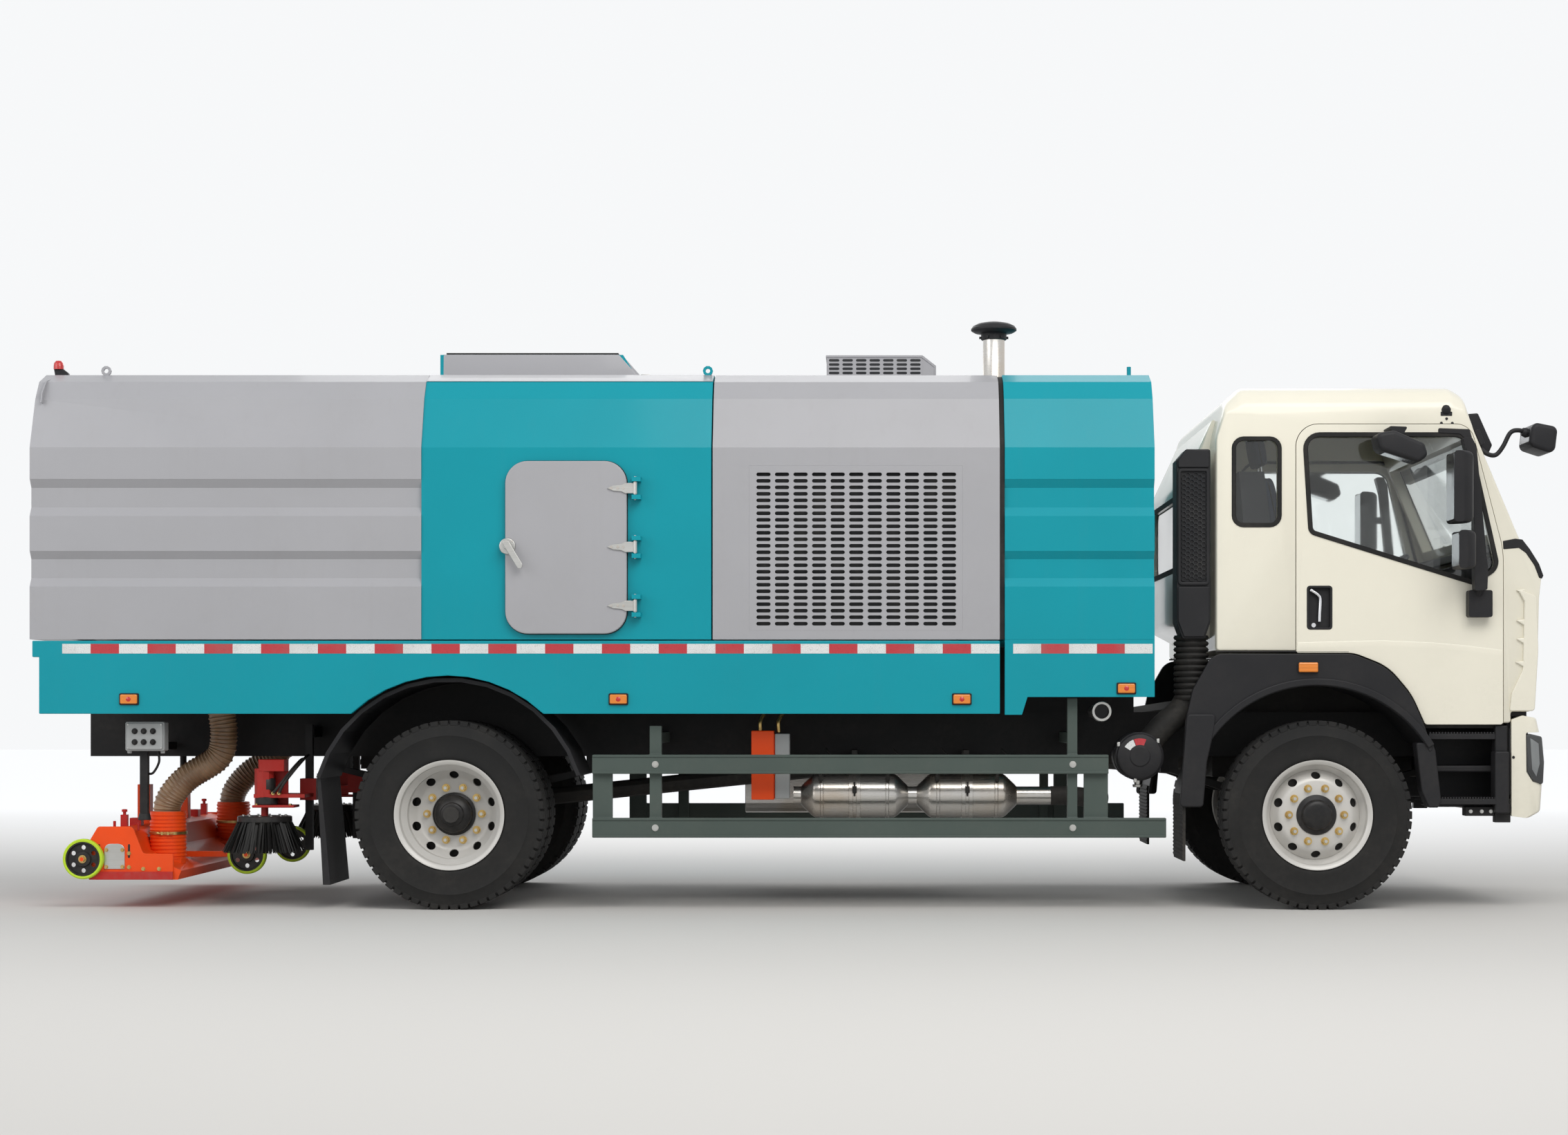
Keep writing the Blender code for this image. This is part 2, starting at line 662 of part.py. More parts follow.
HOPPER_SPLIT = -2.017
DOOR_PANEL = 0.045
DOOR_TOP_GAP = 0.0145
REAR_HINGE = (BODY_REAR + DOOR_PANEL / 2, ROOF_Z - BODY_SKIN - 0.02 - DOOR_TOP_GAP - 0.022)
REAR_HINGE_Y = 0.85
REAR_PIN = 0.010
FLAT_SKIN_Y = BODY_HALF_WIDTH - 0.008
SERVICE_X = (-1.561, -0.908)
SERVICE_Z = (1.492, 2.421)
SERVICE_LEAF = 0.03
SERVICE_HINGE = (-0.861, -FLAT_SKIN_Y - SERVICE_LEAF - 0.012)
SERVICE_HINGE_Z = (2.274, 1.958, 1.642)
HOOD_X = (-2.012, -0.885)


def hopper_rear_shell():
    """The ribbed gray shell with the floor's tipping lugs; open at both ends."""
    ring = slab(
        "x",
        (BODY_REAR, HOPPER_SPLIT),
        body_section(True),
        [inner_section()],
    )
    adds = [ring]
    pivot_x, pivot_z = TIP_PIVOT
    eye_x, eye_z = CYLINDER_EYE
    for side in (-1, 1):
        adds.append(
            box((pivot_x - 0.02, pivot_x + 0.07), sided(side, 0.33, 0.385), (pivot_z - 0.03, FLOOR_Z + 0.01))
        )
        adds.append(
            box((eye_x - 0.05, eye_x + 0.05), sided(side, EYE_WIDTH + 0.03, 0.10), (eye_z - 0.04, FLOOR_Z + 0.01))
        )
    for x in (-3.799,):
        for side in (-1, 1):
            adds.append(lifting_eye(x, side))
    hinge_x, hinge_z = REAR_HINGE
    for side in (-1, 1):
        y = side * REAR_HINGE_Y
        adds.append(box((hinge_x - 0.016, hinge_x + 0.016), (y - 0.02, y + 0.02), (hinge_z - 0.018, hinge_z + 0.05)))
        adds.append(rod((hinge_x, y - side * 0.07, hinge_z), (hinge_x, y + side * 0.015, hinge_z), REAR_PIN, sides=12))
    bore = rod((pivot_x, -0.5, pivot_z), (pivot_x, 0.5, pivot_z), 0.018 + PIN_FIT, sides=12)
    return built("hopper_rear_shell", "gray", adds, [bore])


def lifting_eye(x, side):
    """A plate ring on the roof's edge."""
    plate = sided(side, 0.93, 0.945)
    z = ROOF_Z + 0.012
    return slab("y", plate, circle((x, z), 0.028, 10), [circle((x, z), 0.013, 8)])


def circle(centre, radius, count):
    u, v = centre
    return [
        (u + radius * math.cos(2 * math.pi * i / count), v + radius * math.sin(2 * math.pi * i / count))
        for i in range(count)
    ]


def hopper_front_shell():
    """The flat teal shell with the front wall, the roof hood and the service hatch's opening."""
    span = (HOPPER_SPLIT + SEAT_GAP, HOPPER_FRONT)
    ring = slab("x", span, body_section(False, FLAT_SKIN_Y), [inner_section()])
    wall = slab("x", (HOPPER_FRONT - BODY_SKIN, HOPPER_FRONT - 0.001), offset(inner_section(), 0.02))
    adds = [ring, wall, lifting_eye(-0.49, -1), lifting_eye(-0.49, 1)]
    hood = [(HOOD_X[0], ROOF_Z - 0.02), (HOOD_X[1], ROOF_Z - 0.02), (HOOD_X[1] - 0.10, 3.078), (HOOD_X[0], 3.078)]
    adds.append(slab("y", (-0.62, 0.62), hood))
    hatch = rounded([(*corner, 0.10) for corner in offset(rectangle(SERVICE_X, SERVICE_Z), -0.03)])
    cutters = [slab("y", (-BODY_HALF_WIDTH - 0.1, -INNER_WALL_Y + 0.1), hatch)]
    hinge_x, hinge_y = SERVICE_HINGE
    for z in SERVICE_HINGE_Z:
        for low, high in ((z - 0.06, z - 0.036), (z + 0.036, z + 0.06)):
            adds.append(box((hinge_x - 0.018, hinge_x + 0.03), (hinge_y - 0.018, -FLAT_SKIN_Y + 0.01), (low, high)))
    cutters.append(rod((hinge_x, hinge_y, 1.5), (hinge_x, hinge_y, 2.4), 0.012 + PIN_FIT, sides=10))
    return built("hopper_front_shell", "teal", adds, cutters)


def rear_door():
    """The hopper's rear door, hung from its top edge."""
    hinge_x, hinge_z = REAR_HINGE
    leaf = slab("x", (BODY_REAR, BODY_REAR + DOOR_PANEL), inner_section(MOVING_GAP))
    cutters = [box((BODY_REAR - 0.1, BODY_REAR + 0.1), (-1.2, 1.2), (hinge_z + 0.022, ROOF_Z))]
    for side in (-1, 1):
        y = side * REAR_HINGE_Y
        cutters.append(
            box((BODY_REAR - 0.1, BODY_REAR + 0.1), sided(side, REAR_HINGE_Y - 0.027, 1.3), (hinge_z - 0.038, ROOF_Z))
        )
        cutters.append(rod((hinge_x, y - side * 0.08, hinge_z), (hinge_x, y, hinge_z), REAR_PIN + PIN_FIT, sides=12))
    adds = [leaf]
    for y in (-0.62, 0.0, 0.62):
        adds.append(
            box((BODY_REAR + 0.03, BODY_REAR + 0.10), (y - 0.03, y + 0.03), (1.60, 2.70))
        )
    return built("rear_door", "gray", adds, cutters, (hinge_x, 0, hinge_z))


def service_door():
    """The side hatch leaf with its strap hinges and lever handle."""
    face = -FLAT_SKIN_Y - 0.006
    leaf_y = (face - SERVICE_LEAF, face)
    outline = rounded([(*corner, 0.12) for corner in rectangle(SERVICE_X, SERVICE_Z)])
    adds = [slab("y", leaf_y, outline)]
    hinge_x, hinge_y = SERVICE_HINGE
    for z in SERVICE_HINGE_Z:
        adds.append(box((hinge_x - 0.15, hinge_x - 0.005), (leaf_y[0] - 0.012, leaf_y[0] + 0.01), (z - 0.03, z + 0.03)))
        adds.append(rod((hinge_x, hinge_y, z - 0.065), (hinge_x, hinge_y, z + 0.065), 0.012, sides=10))
    adds.append(rod((-1.544, leaf_y[0] + 0.01, 1.962), (-1.544, leaf_y[0] - 0.05, 1.962), 0.045))
    adds.append(
        slab("y", (leaf_y[0] - 0.05, leaf_y[0] - 0.03), [(-1.56, 1.99), (-1.53, 2.0), (-1.44, 1.85), (-1.47, 1.83)])
    )
    return built("service_door", "gray", adds, origin=(hinge_x, hinge_y, FLOOR_Z))


GRILLE_X = (-0.25, 0.90)
GRILLE_Z = (1.51, 2.40)
GRILLE_PANEL = 0.012
SLOT_COLUMNS = 5
SLOT_ROWS = 7
BAY_REAR = HOPPER_FRONT + MOVING_GAP


def engine_bay():
    """The gray bay between hopper and water box, open to both side grilles, with the louvred roof box."""
    ring = slab("x", (BAY_REAR, BAY_FRONT), body_section(False, FLAT_SKIN_Y), [inner_section()])
    adds = [ring]
    for x in (BAY_REAR + 0.001, BAY_FRONT - BODY_SKIN):
        adds.append(slab("x", (x, x + BODY_SKIN - 0.001), offset(inner_section(), 0.02)))
    roof_box = [(0.156, ROOF_Z - 0.02), (0.775, ROOF_Z - 0.02), (0.775, 3.04), (0.70, 3.10), (0.156, 3.10)]
    adds.append(slab("y", (-0.42, 0.42), roof_box))
    cutters = [box(GRILLE_X, sided(side, 1.0, BODY_HALF_WIDTH + 0.1), GRILLE_Z) for side in (-1, 1)]
    louvres = []
    for x in spread(0.22, 0.66, 6):
        louvres.append(box((x - 0.03, x + 0.03), (-0.6, 0.6), (2.99, 3.01)))
        louvres.append(box((x - 0.03, x + 0.03), (-0.6, 0.6), (3.03, 3.05)))
    return built("engine_bay", "gray", adds, [*cutters, *louvres])


def side_grille(name, side):
    """A flat panel of slots that fills the bay's side opening."""
    outer = offset(rectangle(GRILLE_X, GRILLE_Z), -SEAT_GAP)
    slots = []
    for x in spread(-0.16, 0.81, SLOT_COLUMNS):
        for z in spread(1.56, 2.34, SLOT_ROWS):
            slots.append(rectangle((x - 0.085, x + 0.085), (z - 0.035, z + 0.035)))
    panel = sided(side, FLAT_SKIN_Y - GRILLE_PANEL, FLAT_SKIN_Y)
    return built(f"side_grille_{name}", "gray", [slab("y", panel, outer, slots)])


def auxiliary_engine():
    block = box((-0.28, 0.80), (-0.38, 0.38), (INNER_FLOOR_Z + 0.06, 2.20))
    feet = box((-0.20, 0.72), (-0.30, 0.30), (INNER_FLOOR_Z + SEAT_GAP, INNER_FLOOR_Z + 0.08))
    return built("auxiliary_engine", "steel", [block, feet])


STACK_FOOT = 2.9289


def exhaust_stack():
    """The stainless stack with its base flange, collar and rain cap."""
    x, y = 1.099, -0.60
    base = STACK_FOOT
    profile = [(0, 3.266), (0.06, 3.260), (0.128, 3.214), (0.11, 3.196), (0.075, 3.196), (0.075, 3.162)]
    profile += [(0.061, 3.162), (0.061, base + 0.02), (0.10, base + 0.02), (0.10, base), (0, base)]
    return built("exhaust_stack", "steel", [turned(profile, (x, y, 0), "z", sides=16)])


def water_box():
    """The ribbed teal tank behind the cab with its skirts."""
    adds = [slab("x", (BOX_REAR, BOX_FRONT), body_section(True))]
    skirt = [(BOX_REAR, 1.056), (1.219, 1.056), (1.249, 1.152), (BOX_FRONT, 1.152)]
    skirt += [(BOX_FRONT, FLOOR_Z + 0.02), (BOX_REAR, FLOOR_Z + 0.02)]
    for side in (-1, 1):
        adds.append(slab("y", sided(side, BODY_HALF_WIDTH - BODY_SKIN, BODY_HALF_WIDTH - 0.001), skirt))
    adds.append(rod((1.849, -0.7, ROOF_Z - 0.01), (1.849, -0.7, 3.0), 0.012, sides=8))
    return built("water_box", "teal", adds)


ARCH_RADIUS = 0.755
GUARD_RADIUS = 0.745
GUARD_GAUGE = 0.022


def arc(centre, radius, start, end, count):
    """Points on an arc, angles in degrees from +X towards +Z."""
    u, v = centre
    return [
        (u + radius * math.cos(math.radians(a)), v + radius * math.sin(math.radians(a)))
        for a in spread(start, end, count)
    ]


def sill(name, side):
    """The teal skirt under the body with the wheel arch cut in it."""
    rise = SILL_BOTTOM - TYRE_RADIUS
    start = math.degrees(math.asin(rise / ARCH_RADIUS))
    arch = arc((REAR_AXLE_X, TYRE_RADIUS), ARCH_RADIUS, 180 - start, start, 11)
    outline = [(-4.075, SILL_BOTTOM), *arch, (BAY_FRONT, SILL_BOTTOM), (BAY_FRONT, SILL_TOP)]
    outline += [(-4.112, SILL_TOP), (-4.112, 1.367), (-4.075, 1.367)]
    plate = sided(side, BODY_HALF_WIDTH - BODY_SKIN, BODY_HALF_WIDTH)
    return built(f"sill_{name}", "teal", [slab("y", plate, outline)])


def rear_mudguard(name, side):
    """The black guard over the twin wheels, its stay to the frame and its flap."""
    centre = (REAR_AXLE_X, TYRE_RADIUS)
    outer = arc(centre, GUARD_RADIUS, 164, 17, 14)
    inner = arc(centre, GUARD_RADIUS - GUARD_GAUGE, 17, 164, 14)
    adds = [slab("y", sided(side, 0.60, 1.20), outer + inner)]
    stay_z = TYRE_RADIUS + GUARD_RADIUS
    stay_y = RAIL_Y + RAIL_WIDTH / 2 - 0.01 + SEAT_GAP
    adds.append(
        box((REAR_AXLE_X - 0.03, REAR_AXLE_X + 0.03), sided(side, stay_y, 0.63), (stay_z - 0.02, stay_z + 0.005))
    )
    top_x, top_z = outer[0]
    flap = [(top_x, top_z + 0.02), (top_x + 0.018, top_z + 0.02), (-2.52, 0.135), (-2.56, 0.135)]
    adds.append(slab("y", sided(side, 0.64, 1.18), flap))
    return built(f"rear_mudguard_{name}", "black", adds)


def side_guard(name, side):
    """Two rails, end plates and two posts with arms to the frame."""
    plane = sided(side, 1.165, 1.20)
    back = sided(side, 1.14, 1.17)
    adds = [
        box((-1.101, 1.69), plane, (0.736, 0.84)),
        box((-1.101, 2.002), plane, (0.391, 0.498)),
        box((-1.101, -0.994), back, (0.391, 0.84)),
        box((1.559, 1.69), back, (0.391, 0.84)),
    ]
    arm_y = RAIL_Y + RAIL_WIDTH / 2 + SEAT_GAP
    for low_x, high_x, top in ((-0.793, -0.728, 0.996), (1.47, 1.524, 1.147)):
        adds.append(box((low_x, high_x), sided(side, 1.12, 1.17), (0.41, top)))
        adds.append(box((low_x + 0.005, high_x - 0.005), sided(side, arm_y, 1.15), (0.90, 0.96)))
    return built(f"side_guard_{name}", "guard", adds)


RAIL_FACE = RAIL_Y + RAIL_WIDTH / 2 + SEAT_GAP


def exhaust_canisters():
    """Two treatment canisters in line under the right side, with cones, clamps and stays to the rail."""
    y, z, radius, pipe, clamp = -0.86, 0.609, 0.123, 0.05, 0.008
    profile = [(0, -0.02), (pipe, -0.02)]
    stays = []
    for low, high in ((0.017, 0.616), (0.656, 1.215)):
        middle = (low + high) / 2
        profile += [(pipe, low), (radius, low + 0.07), (radius, middle - 0.02), (radius + clamp, middle - 0.02)]
        profile += [(radius + clamp, middle + 0.02), (radius, middle + 0.02), (radius, high - 0.07), (pipe, high)]
        stays.append(box((middle - 0.015, middle + 0.015), (y, -RAIL_FACE), (z + 0.08, 0.86)))
    profile += [(pipe, 1.42), (0, 1.42)]
    body = turned(profile, (0, y, z), "x", sides=16)
    return built("exhaust_canisters", "steel", [body, *stays])


def fuel_tank():
    """The fuel tank on the hidden left side, strapped to the rail."""
    z, high = 0.46, 0.96
    outline = rounded([(0.56, z, 0.06), (1.10, z, 0.06), (1.10, high, 0.06), (0.56, high, 0.06)])
    adds = [slab("x", (-0.35, 0.95), outline)]
    for x in (-0.10, 0.70):
        adds.append(box((x - 0.03, x + 0.03), (RAIL_FACE, 0.58), (0.84, 0.94)))
    return built("fuel_tank", "steel", adds)


def valve_box():
    adds = [box((-0.246, -0.123), (-1.06, -0.88), (0.592, 0.969))]
    adds.append(box((-0.125, -0.04), (-1.04, -0.90), (0.60, 0.95)))
    adds.append(box((-0.20, -0.16), (-0.89, -RAIL_FACE), (0.86, 0.92)))
    return built("valve_box", "orange", adds)


def air_intake():
    """Air drum, sloping pipe, bellows and the tall intake column behind the cab."""
    drum_x, drum_z = 1.865, 0.83
    adds = [rod((drum_x, -0.80, drum_z), (drum_x, -1.16, drum_z), 0.13, sides=16)]
    adds.append(box((drum_x - 0.04, drum_x + 0.04), (-0.82, -RAIL_FACE), (0.84, 0.92)))
    adds.append(rod((drum_x + 0.05, -1.0, drum_z + 0.05), (2.16, -1.0, 1.20), 0.07))
    adds.append(rod((2.16, -1.0, 1.15), (2.16, -1.0, 1.50), 0.08))
    for z in (1.25, 1.33, 1.41):
        adds.append(rod((2.16, -1.0, z - 0.012), (2.16, -1.0, z + 0.012), 0.095, sides=12))
    column = [(2.10, 1.47), (2.22, 1.47), (2.253, 1.56), (2.253, 2.501), (2.12, 2.501), (2.068, 2.44), (2.068, 1.56)]
    adds.append(slab("y", (-1.12, -0.92), column))
    return built("air_intake", "black", adds)


FENDER_OPENING = 0.70
FENDER_GAUGE = 0.025
STEP_X = (3.485, 3.87)
STEP_Z = (0.55, 0.975)


def front_fender(name, side):
    """The arch over the steered wheel with its flare, the entry steps and the flap."""
    centre = (FRONT_AXLE_X, TYRE_RADIUS)
    opening = arc(centre, FENDER_OPENING, 30, 176, 12)
    face = opening + [(2.09, 0.555), (2.155, 1.189), (2.247, 1.385), (3.08, 1.385), (3.41, 0.995), (3.49, 0.90)]
    adds = [slab("y", sided(side, 1.13, 1.16), face)]
    inner = FENDER_OPENING + 0.003
    strip = arc(centre, inner, 31, 175, 10) + arc(centre, inner + FENDER_GAUGE, 175, 31, 10)
    adds.append(slab("y", sided(side, 0.66, 1.14), strip))
    step = box(STEP_X, sided(side, 0.74, 1.152), STEP_Z)
    adds.append(step)
    adds.append(box((3.40, 3.50), sided(side, 0.80, 1.15), (0.87, 0.92)))
    adds.append(box((3.52, 3.62), sided(side, RAIL_FACE, 0.76), (0.84, 0.93)))
    adds.append(box((2.098, 2.114), sided(side, 0.70, 1.135), (0.274, 0.62)))
    adds.append(box((2.20, 2.24), sided(side, RAIL_FACE, 0.70), (0.88, 0.93)))
    cutters = [
        box((STEP_X[0] + 0.03, STEP_X[1] - 0.03), sided(side, 0.85, 1.30), (low, high))
        for low, high in ((STEP_Z[0] + 0.03, 0.74), (0.78, STEP_Z[1] - 0.03))
    ]
    return built(f"front_fender_{name}", "black", adds, cutters)


BUMPER_TOP = 1.052


def front_bumper():
    """The cream bumper, open at the back, with the lamps' housings and stays to the rails."""
    profile = [(3.90, 0.52), (3.99, 0.495), (4.05, 0.53), (4.064, 0.70), (4.05, 0.96), (4.03, BUMPER_TOP)]
    profile += [(3.90, BUMPER_TOP)]
    hollow = [(3.80, 0.55), (4.01, 0.55), (4.02, 0.70), (4.01, 0.94), (3.99, 1.02), (3.80, 1.02)]
    cutters = [slab("y", (-CAB_HALF_WIDTH + 0.03, CAB_HALF_WIDTH - 0.03), hollow)]
    stays = []
    for side in (-1, 1):
        stays.append(box((3.99, 4.058), sided(side, 0.74, 1.02), (0.69, 0.94)))
        stays.append(box((FRAME_FRONT - 0.10, 4.04), sided(side, RAIL_FACE, RAIL_FACE + 0.04), (0.85, 0.93)))
    shell = joined([slab("y", (-CAB_HALF_WIDTH, CAB_HALF_WIDTH), profile)], cutters)
    return built("front_bumper", "cream", [shell, *stays])


CAB_OUTLINE = [
    (2.28, 1.40),
    (3.088, 1.40),
    (3.418, 1.01),
    (3.885, 1.01),
    (3.885, 1.072),
    (4.005, 1.072),
    (4.03, 1.30),
    (4.04, 1.69),
    (4.053, 1.81),
    (3.934, 2.008),
    (3.68, 2.613),
    (3.635, 2.80),
    (3.56, CAB_ROOF),
    (2.42, CAB_ROOF),
    (2.33, 2.76),
    (2.28, 2.55),
]
CAB_INSIDE = [
    (2.34, 1.46),
    (3.12, 1.46),
    (3.445, 1.07),
    (3.93, 1.13),
    (3.97, 1.30),
    (3.98, 1.69),
    (3.985, 1.80),
    (3.875, 1.99),
    (3.62, 2.60),
    (3.58, 2.785),
    (2.44, 2.785),
    (2.38, 2.72),
    (2.34, 2.54),
]
DOOR_OUTLINE = [
    (DOOR_REAR, 1.392),
    (3.088, 1.392),
    (3.418, DOOR_BOTTOM),
    (DOOR_FRONT, DOOR_BOTTOM),
    (DOOR_FRONT, 1.95),
    (3.66, DOOR_TOP),
    (DOOR_REAR, DOOR_TOP),
]
DOOR_WINDOW = [(2.80, 2.054, 0.03), (3.68, 1.779, 0.05), (3.80, 1.86, 0.05), (3.64, 2.57, 0.06), (2.768, 2.57, 0.06)]
QUARTER_WINDOW = [(2.37, 2.073, 0.04), (2.637, 2.073, 0.04), (2.637, 2.569, 0.04), (2.40, 2.569, 0.04)]
BULGE = [(2.30, 1.46), (2.12, 1.55), (2.12, 2.30), (2.30, 2.72)]


def cab_shell():
    """The hollow cab: side walls with door openings, windscreen and rear windows cut, engine tunnel inside."""
    inner_y = CAB_HALF_WIDTH - CAB_WALL
    shell = [slab("y", (-CAB_HALF_WIDTH, CAB_HALF_WIDTH), CAB_OUTLINE)]
    shell.append(slab("y", (-0.86, 0.86), BULGE))
    hollow = [slab("y", (-inner_y, inner_y), CAB_INSIDE)]
    hollow.append(slab("y", (-0.82, 0.82), [(2.36, 1.52), (2.16, 1.58), (2.16, 2.29), (2.36, 2.66)]))
    shell = joined(shell, hollow)
    tunnel = box((3.0, 3.99), (-0.55, 0.55), (1.08, 1.47))
    pivot_x, pivot_z = CAB_PIVOT
    under = [box((2.9, 3.955), (-0.50, 0.50), (0.9, 1.40))]
    outside = offset(DOOR_OUTLINE, MOVING_GAP)
    for side in (-1, 1):
        under.append(slab("y", sided(side, inner_y - 0.005, 1.3), outside))
        quarter = rounded(QUARTER_WINDOW, 2)
        under.append(slab("y", sided(side, 1.0, 1.3), quarter))
    screen = [(3.60, 2.03), (4.2, 2.03), (4.2, 2.57), (3.60, 2.57)]
    under.append(slab("y", (-0.98, 0.98), screen))
    under.append(box((2.0, 2.25), (-0.70, 0.70), (1.90, 2.25)))
    lugs = []
    for side in (-1, 1):
        lugs.append(box((pivot_x - 0.025, 3.975), sided(side, 0.335, 0.385), (pivot_z - 0.03, 1.42)))
    body = joined([shell, tunnel], under)
    for side in (-1, 1):
        lugs += door_pins(side)
    bore = rod((pivot_x, -0.5, pivot_z), (pivot_x, 0.5, pivot_z), 0.018 + PIN_FIT, sides=12)
    return built("cab_shell", "cream", [body, *lugs], [bore], (pivot_x, 0, pivot_z))


def door_pins(side):
    """The cab's two hinge pins for one door, each held by a lug above and below the door's barrel."""
    x, y = DOOR_HINGE[0], side * DOOR_HINGE[1]
    parts = []
    for z in DOOR_HINGE_Z:
        parts.append(rod((x, y, z - 0.058), (x, y, z + 0.058), DOOR_PIN, sides=8))
        for low, high in ((z - 0.06, z - 0.04), (z + 0.04, z + 0.06)):
            parts.append(rod((x, y, low), (x, y, high), DOOR_PIN + 0.003, sides=8))
            parts.append(box((x + 0.001, x + 0.045), sided(side, CAB_HALF_WIDTH - 0.01, DOOR_HINGE[1] + 0.008), (low, high)))
    return parts


def cab_door(name, side):
    """A door leaf with its window cut, hung on its front edge."""
    leaf = sided(side, CAB_HALF_WIDTH + 0.005 - DOOR_LEAF, CAB_HALF_WIDTH + 0.005)
    window = rounded(DOOR_WINDOW, 3)
    panel = slab("y", leaf, DOOR_OUTLINE, [window])
    recess = box((2.77, 2.909), sided(side, CAB_HALF_WIDTH - 0.02, 1.2), (1.517, 1.756))
    handle = box((2.80, 2.825), sided(side, CAB_HALF_WIDTH - 0.03, CAB_HALF_WIDTH), (1.53, 1.74))
    x, y = DOOR_HINGE[0], side * DOOR_HINGE[1]
    barrels = []
    bores = []
    for z in DOOR_HINGE_Z:
        barrels.append(rod((x, y, z - 0.036), (x, y, z + 0.036), DOOR_BARREL, sides=10))
        barrels.append(
            box((x - 0.05, x), sided(side, CAB_HALF_WIDTH + 0.0045, DOOR_HINGE[1] + 0.009), (z - 0.034, z + 0.034))
        )
        bores.append(rod((x, y, z - 0.1), (x, y, z + 0.1), DOOR_PIN + PIN_FIT, sides=8))
    leaf_parts = [joined([panel], [recess]), handle, *barrels]
    return built(f"cab_door_{name}", "cream", leaf_parts, bores, (x, y, DOOR_BOTTOM))


def door_mirrors(name, side):
    """The tall side mirror on its bracket and the kerb mirror above the window."""
    face = CAB_HALF_WIDTH + 0.005 + SEAT_GAP
    adds = [box((3.60, 3.73), sided(side, face, face + 0.07), (1.574, 1.716))]
    adds.append(rod((3.64, side * (face + 0.03), 1.68), (3.64, side * 1.27, 1.74), 0.02, sides=10))
    adds.append(box((3.60, 3.665), sided(side, 1.22, 1.46), (1.728, 2.55)))
    adds.append(box((3.59, 3.64), sided(side, face, face + 0.03), (2.58, 2.62)))
    adds.append(rod((3.62, side * (face + 0.02), 2.60), (3.63, side * 1.30, 2.52), 0.012, sides=8))
    adds.append(rod((3.63, side * 1.26, 2.53), (3.24, side * 1.30, 2.50), 0.016, sides=10))
    adds.append(box((3.094, 3.371), sided(side, 1.22, 1.40), (2.402, 2.53)))
    return built(f"door_mirrors_{name}", "black", adds)


def front_mirror():
    """The mirror ahead of the windscreen on its curved arm."""
    route = [(3.722, -1.08, 2.56), (3.76, -1.10, 2.50), (3.82, -1.10, 2.47), (3.90, -1.10, 2.53), (3.97, -1.10, 2.56)]
    foot = [(3.686, 2.60), (3.7196, 2.52), (3.745, 2.53), (3.712, 2.61)]
    adds = [tube(route, 0.016), box((3.965, 4.126), (-1.22, -0.95), (2.461, 2.593)), slab("y", (-1.115, -1.055), foot)]
    return built("front_mirror", "black", adds)


def cab_interior():
    """Two seats, the dashboard and the steering wheel, joined by the cab's floor mat and console."""
    floor = 1.47 + SEAT_GAP
    adds = [box((2.42, 3.06), (-0.85, 0.85), (floor, floor + 0.05))]
    for side in (-1, 1):
        y = side * 0.62
        adds.append(box((2.55, 3.03), (y - 0.25, y + 0.25), (floor + 0.04, 1.80)))
        adds.append(
            slab("y", (y - 0.25, y + 0.25), [(2.50, 1.75), (2.66, 1.75), (2.58, 2.40), (2.44, 2.40)])
        )
    adds.append(box((3.05, 3.30), (-0.20, 0.20), (floor, 1.62)))
    adds.append(box((3.0, 3.80), (-0.12, 0.12), (floor, 1.58)))
    adds.append(slab("y", (-1.05, 1.05), [(3.72, 1.50), (3.92, 1.50), (3.92, 1.80), (3.84, 1.93), (3.66, 1.88)]))
    wheel_turn = Vector((-0.5, 0, 0.8)).normalized()
    hub = Vector((3.48, 0.62, 1.90))
    ring = [hub + Matrix.Rotation(a, 3, wheel_turn) @ Vector((0.8, 0, 0.5)).normalized() * 0.22
            for a in spread(0, 2 * math.pi, 17)]
    adds.append(tube([tuple(p) for p in ring[:-1]], 0.016, 1, loop=True))
    adds.append(rod((3.80, 0.62, 1.60), tuple(hub + wheel_turn * 0.01), 0.03, sides=10))
    adds.append(rod(tuple(hub - Vector((0, 0.21, 0))), tuple(hub + Vector((0, 0.21, 0))), 0.014, sides=8))
    return built("cab_interior", "seat", adds)


HOSE_FOOT_X = -3.50
CUFF_RADIUS = HOSE_RADIUS + 0.012
CUFF_TOP = 0.52
POST_X = -3.55


def hose_route(side):
    """Centre line of a suction hose, upright at both ends."""
    y = side * HOSE_Y
    foot, top = HOSE_FOOT_X, HOSE_TOP_X
    knots = [(foot, 0.45), (foot, 0.57), (-3.40, 0.70), (-3.22, 0.82), (top + 0.01, 0.95), (top, DUCT_BOTTOM - 0.04)]
    route = [(foot, y, 0.33), (foot, y, 0.45)]
    for before, start, end, after in zip(knots, knots[1:], knots[2:], knots[3:] + [(top, DUCT_BOTTOM)]):
        before, start, end, after = (Vector(knot) for knot in (before, start, end, after))
        for t in (0.0, 0.34, 0.67):
            point = start * (2 * t**3 - 3 * t**2 + 1) + end * (3 * t**2 - 2 * t**3)
            point += (end - before) / 2 * (t**3 - 2 * t**2 + t) + (after - start) / 2 * (t**3 - t**2)
            route.append((point.x, y, point.y))
    route.append((HOSE_TOP_X, y, DUCT_BOTTOM - 0.03))
    route.append((HOSE_TOP_X, y, DUCT_BOTTOM - SEAT_GAP))
    return route


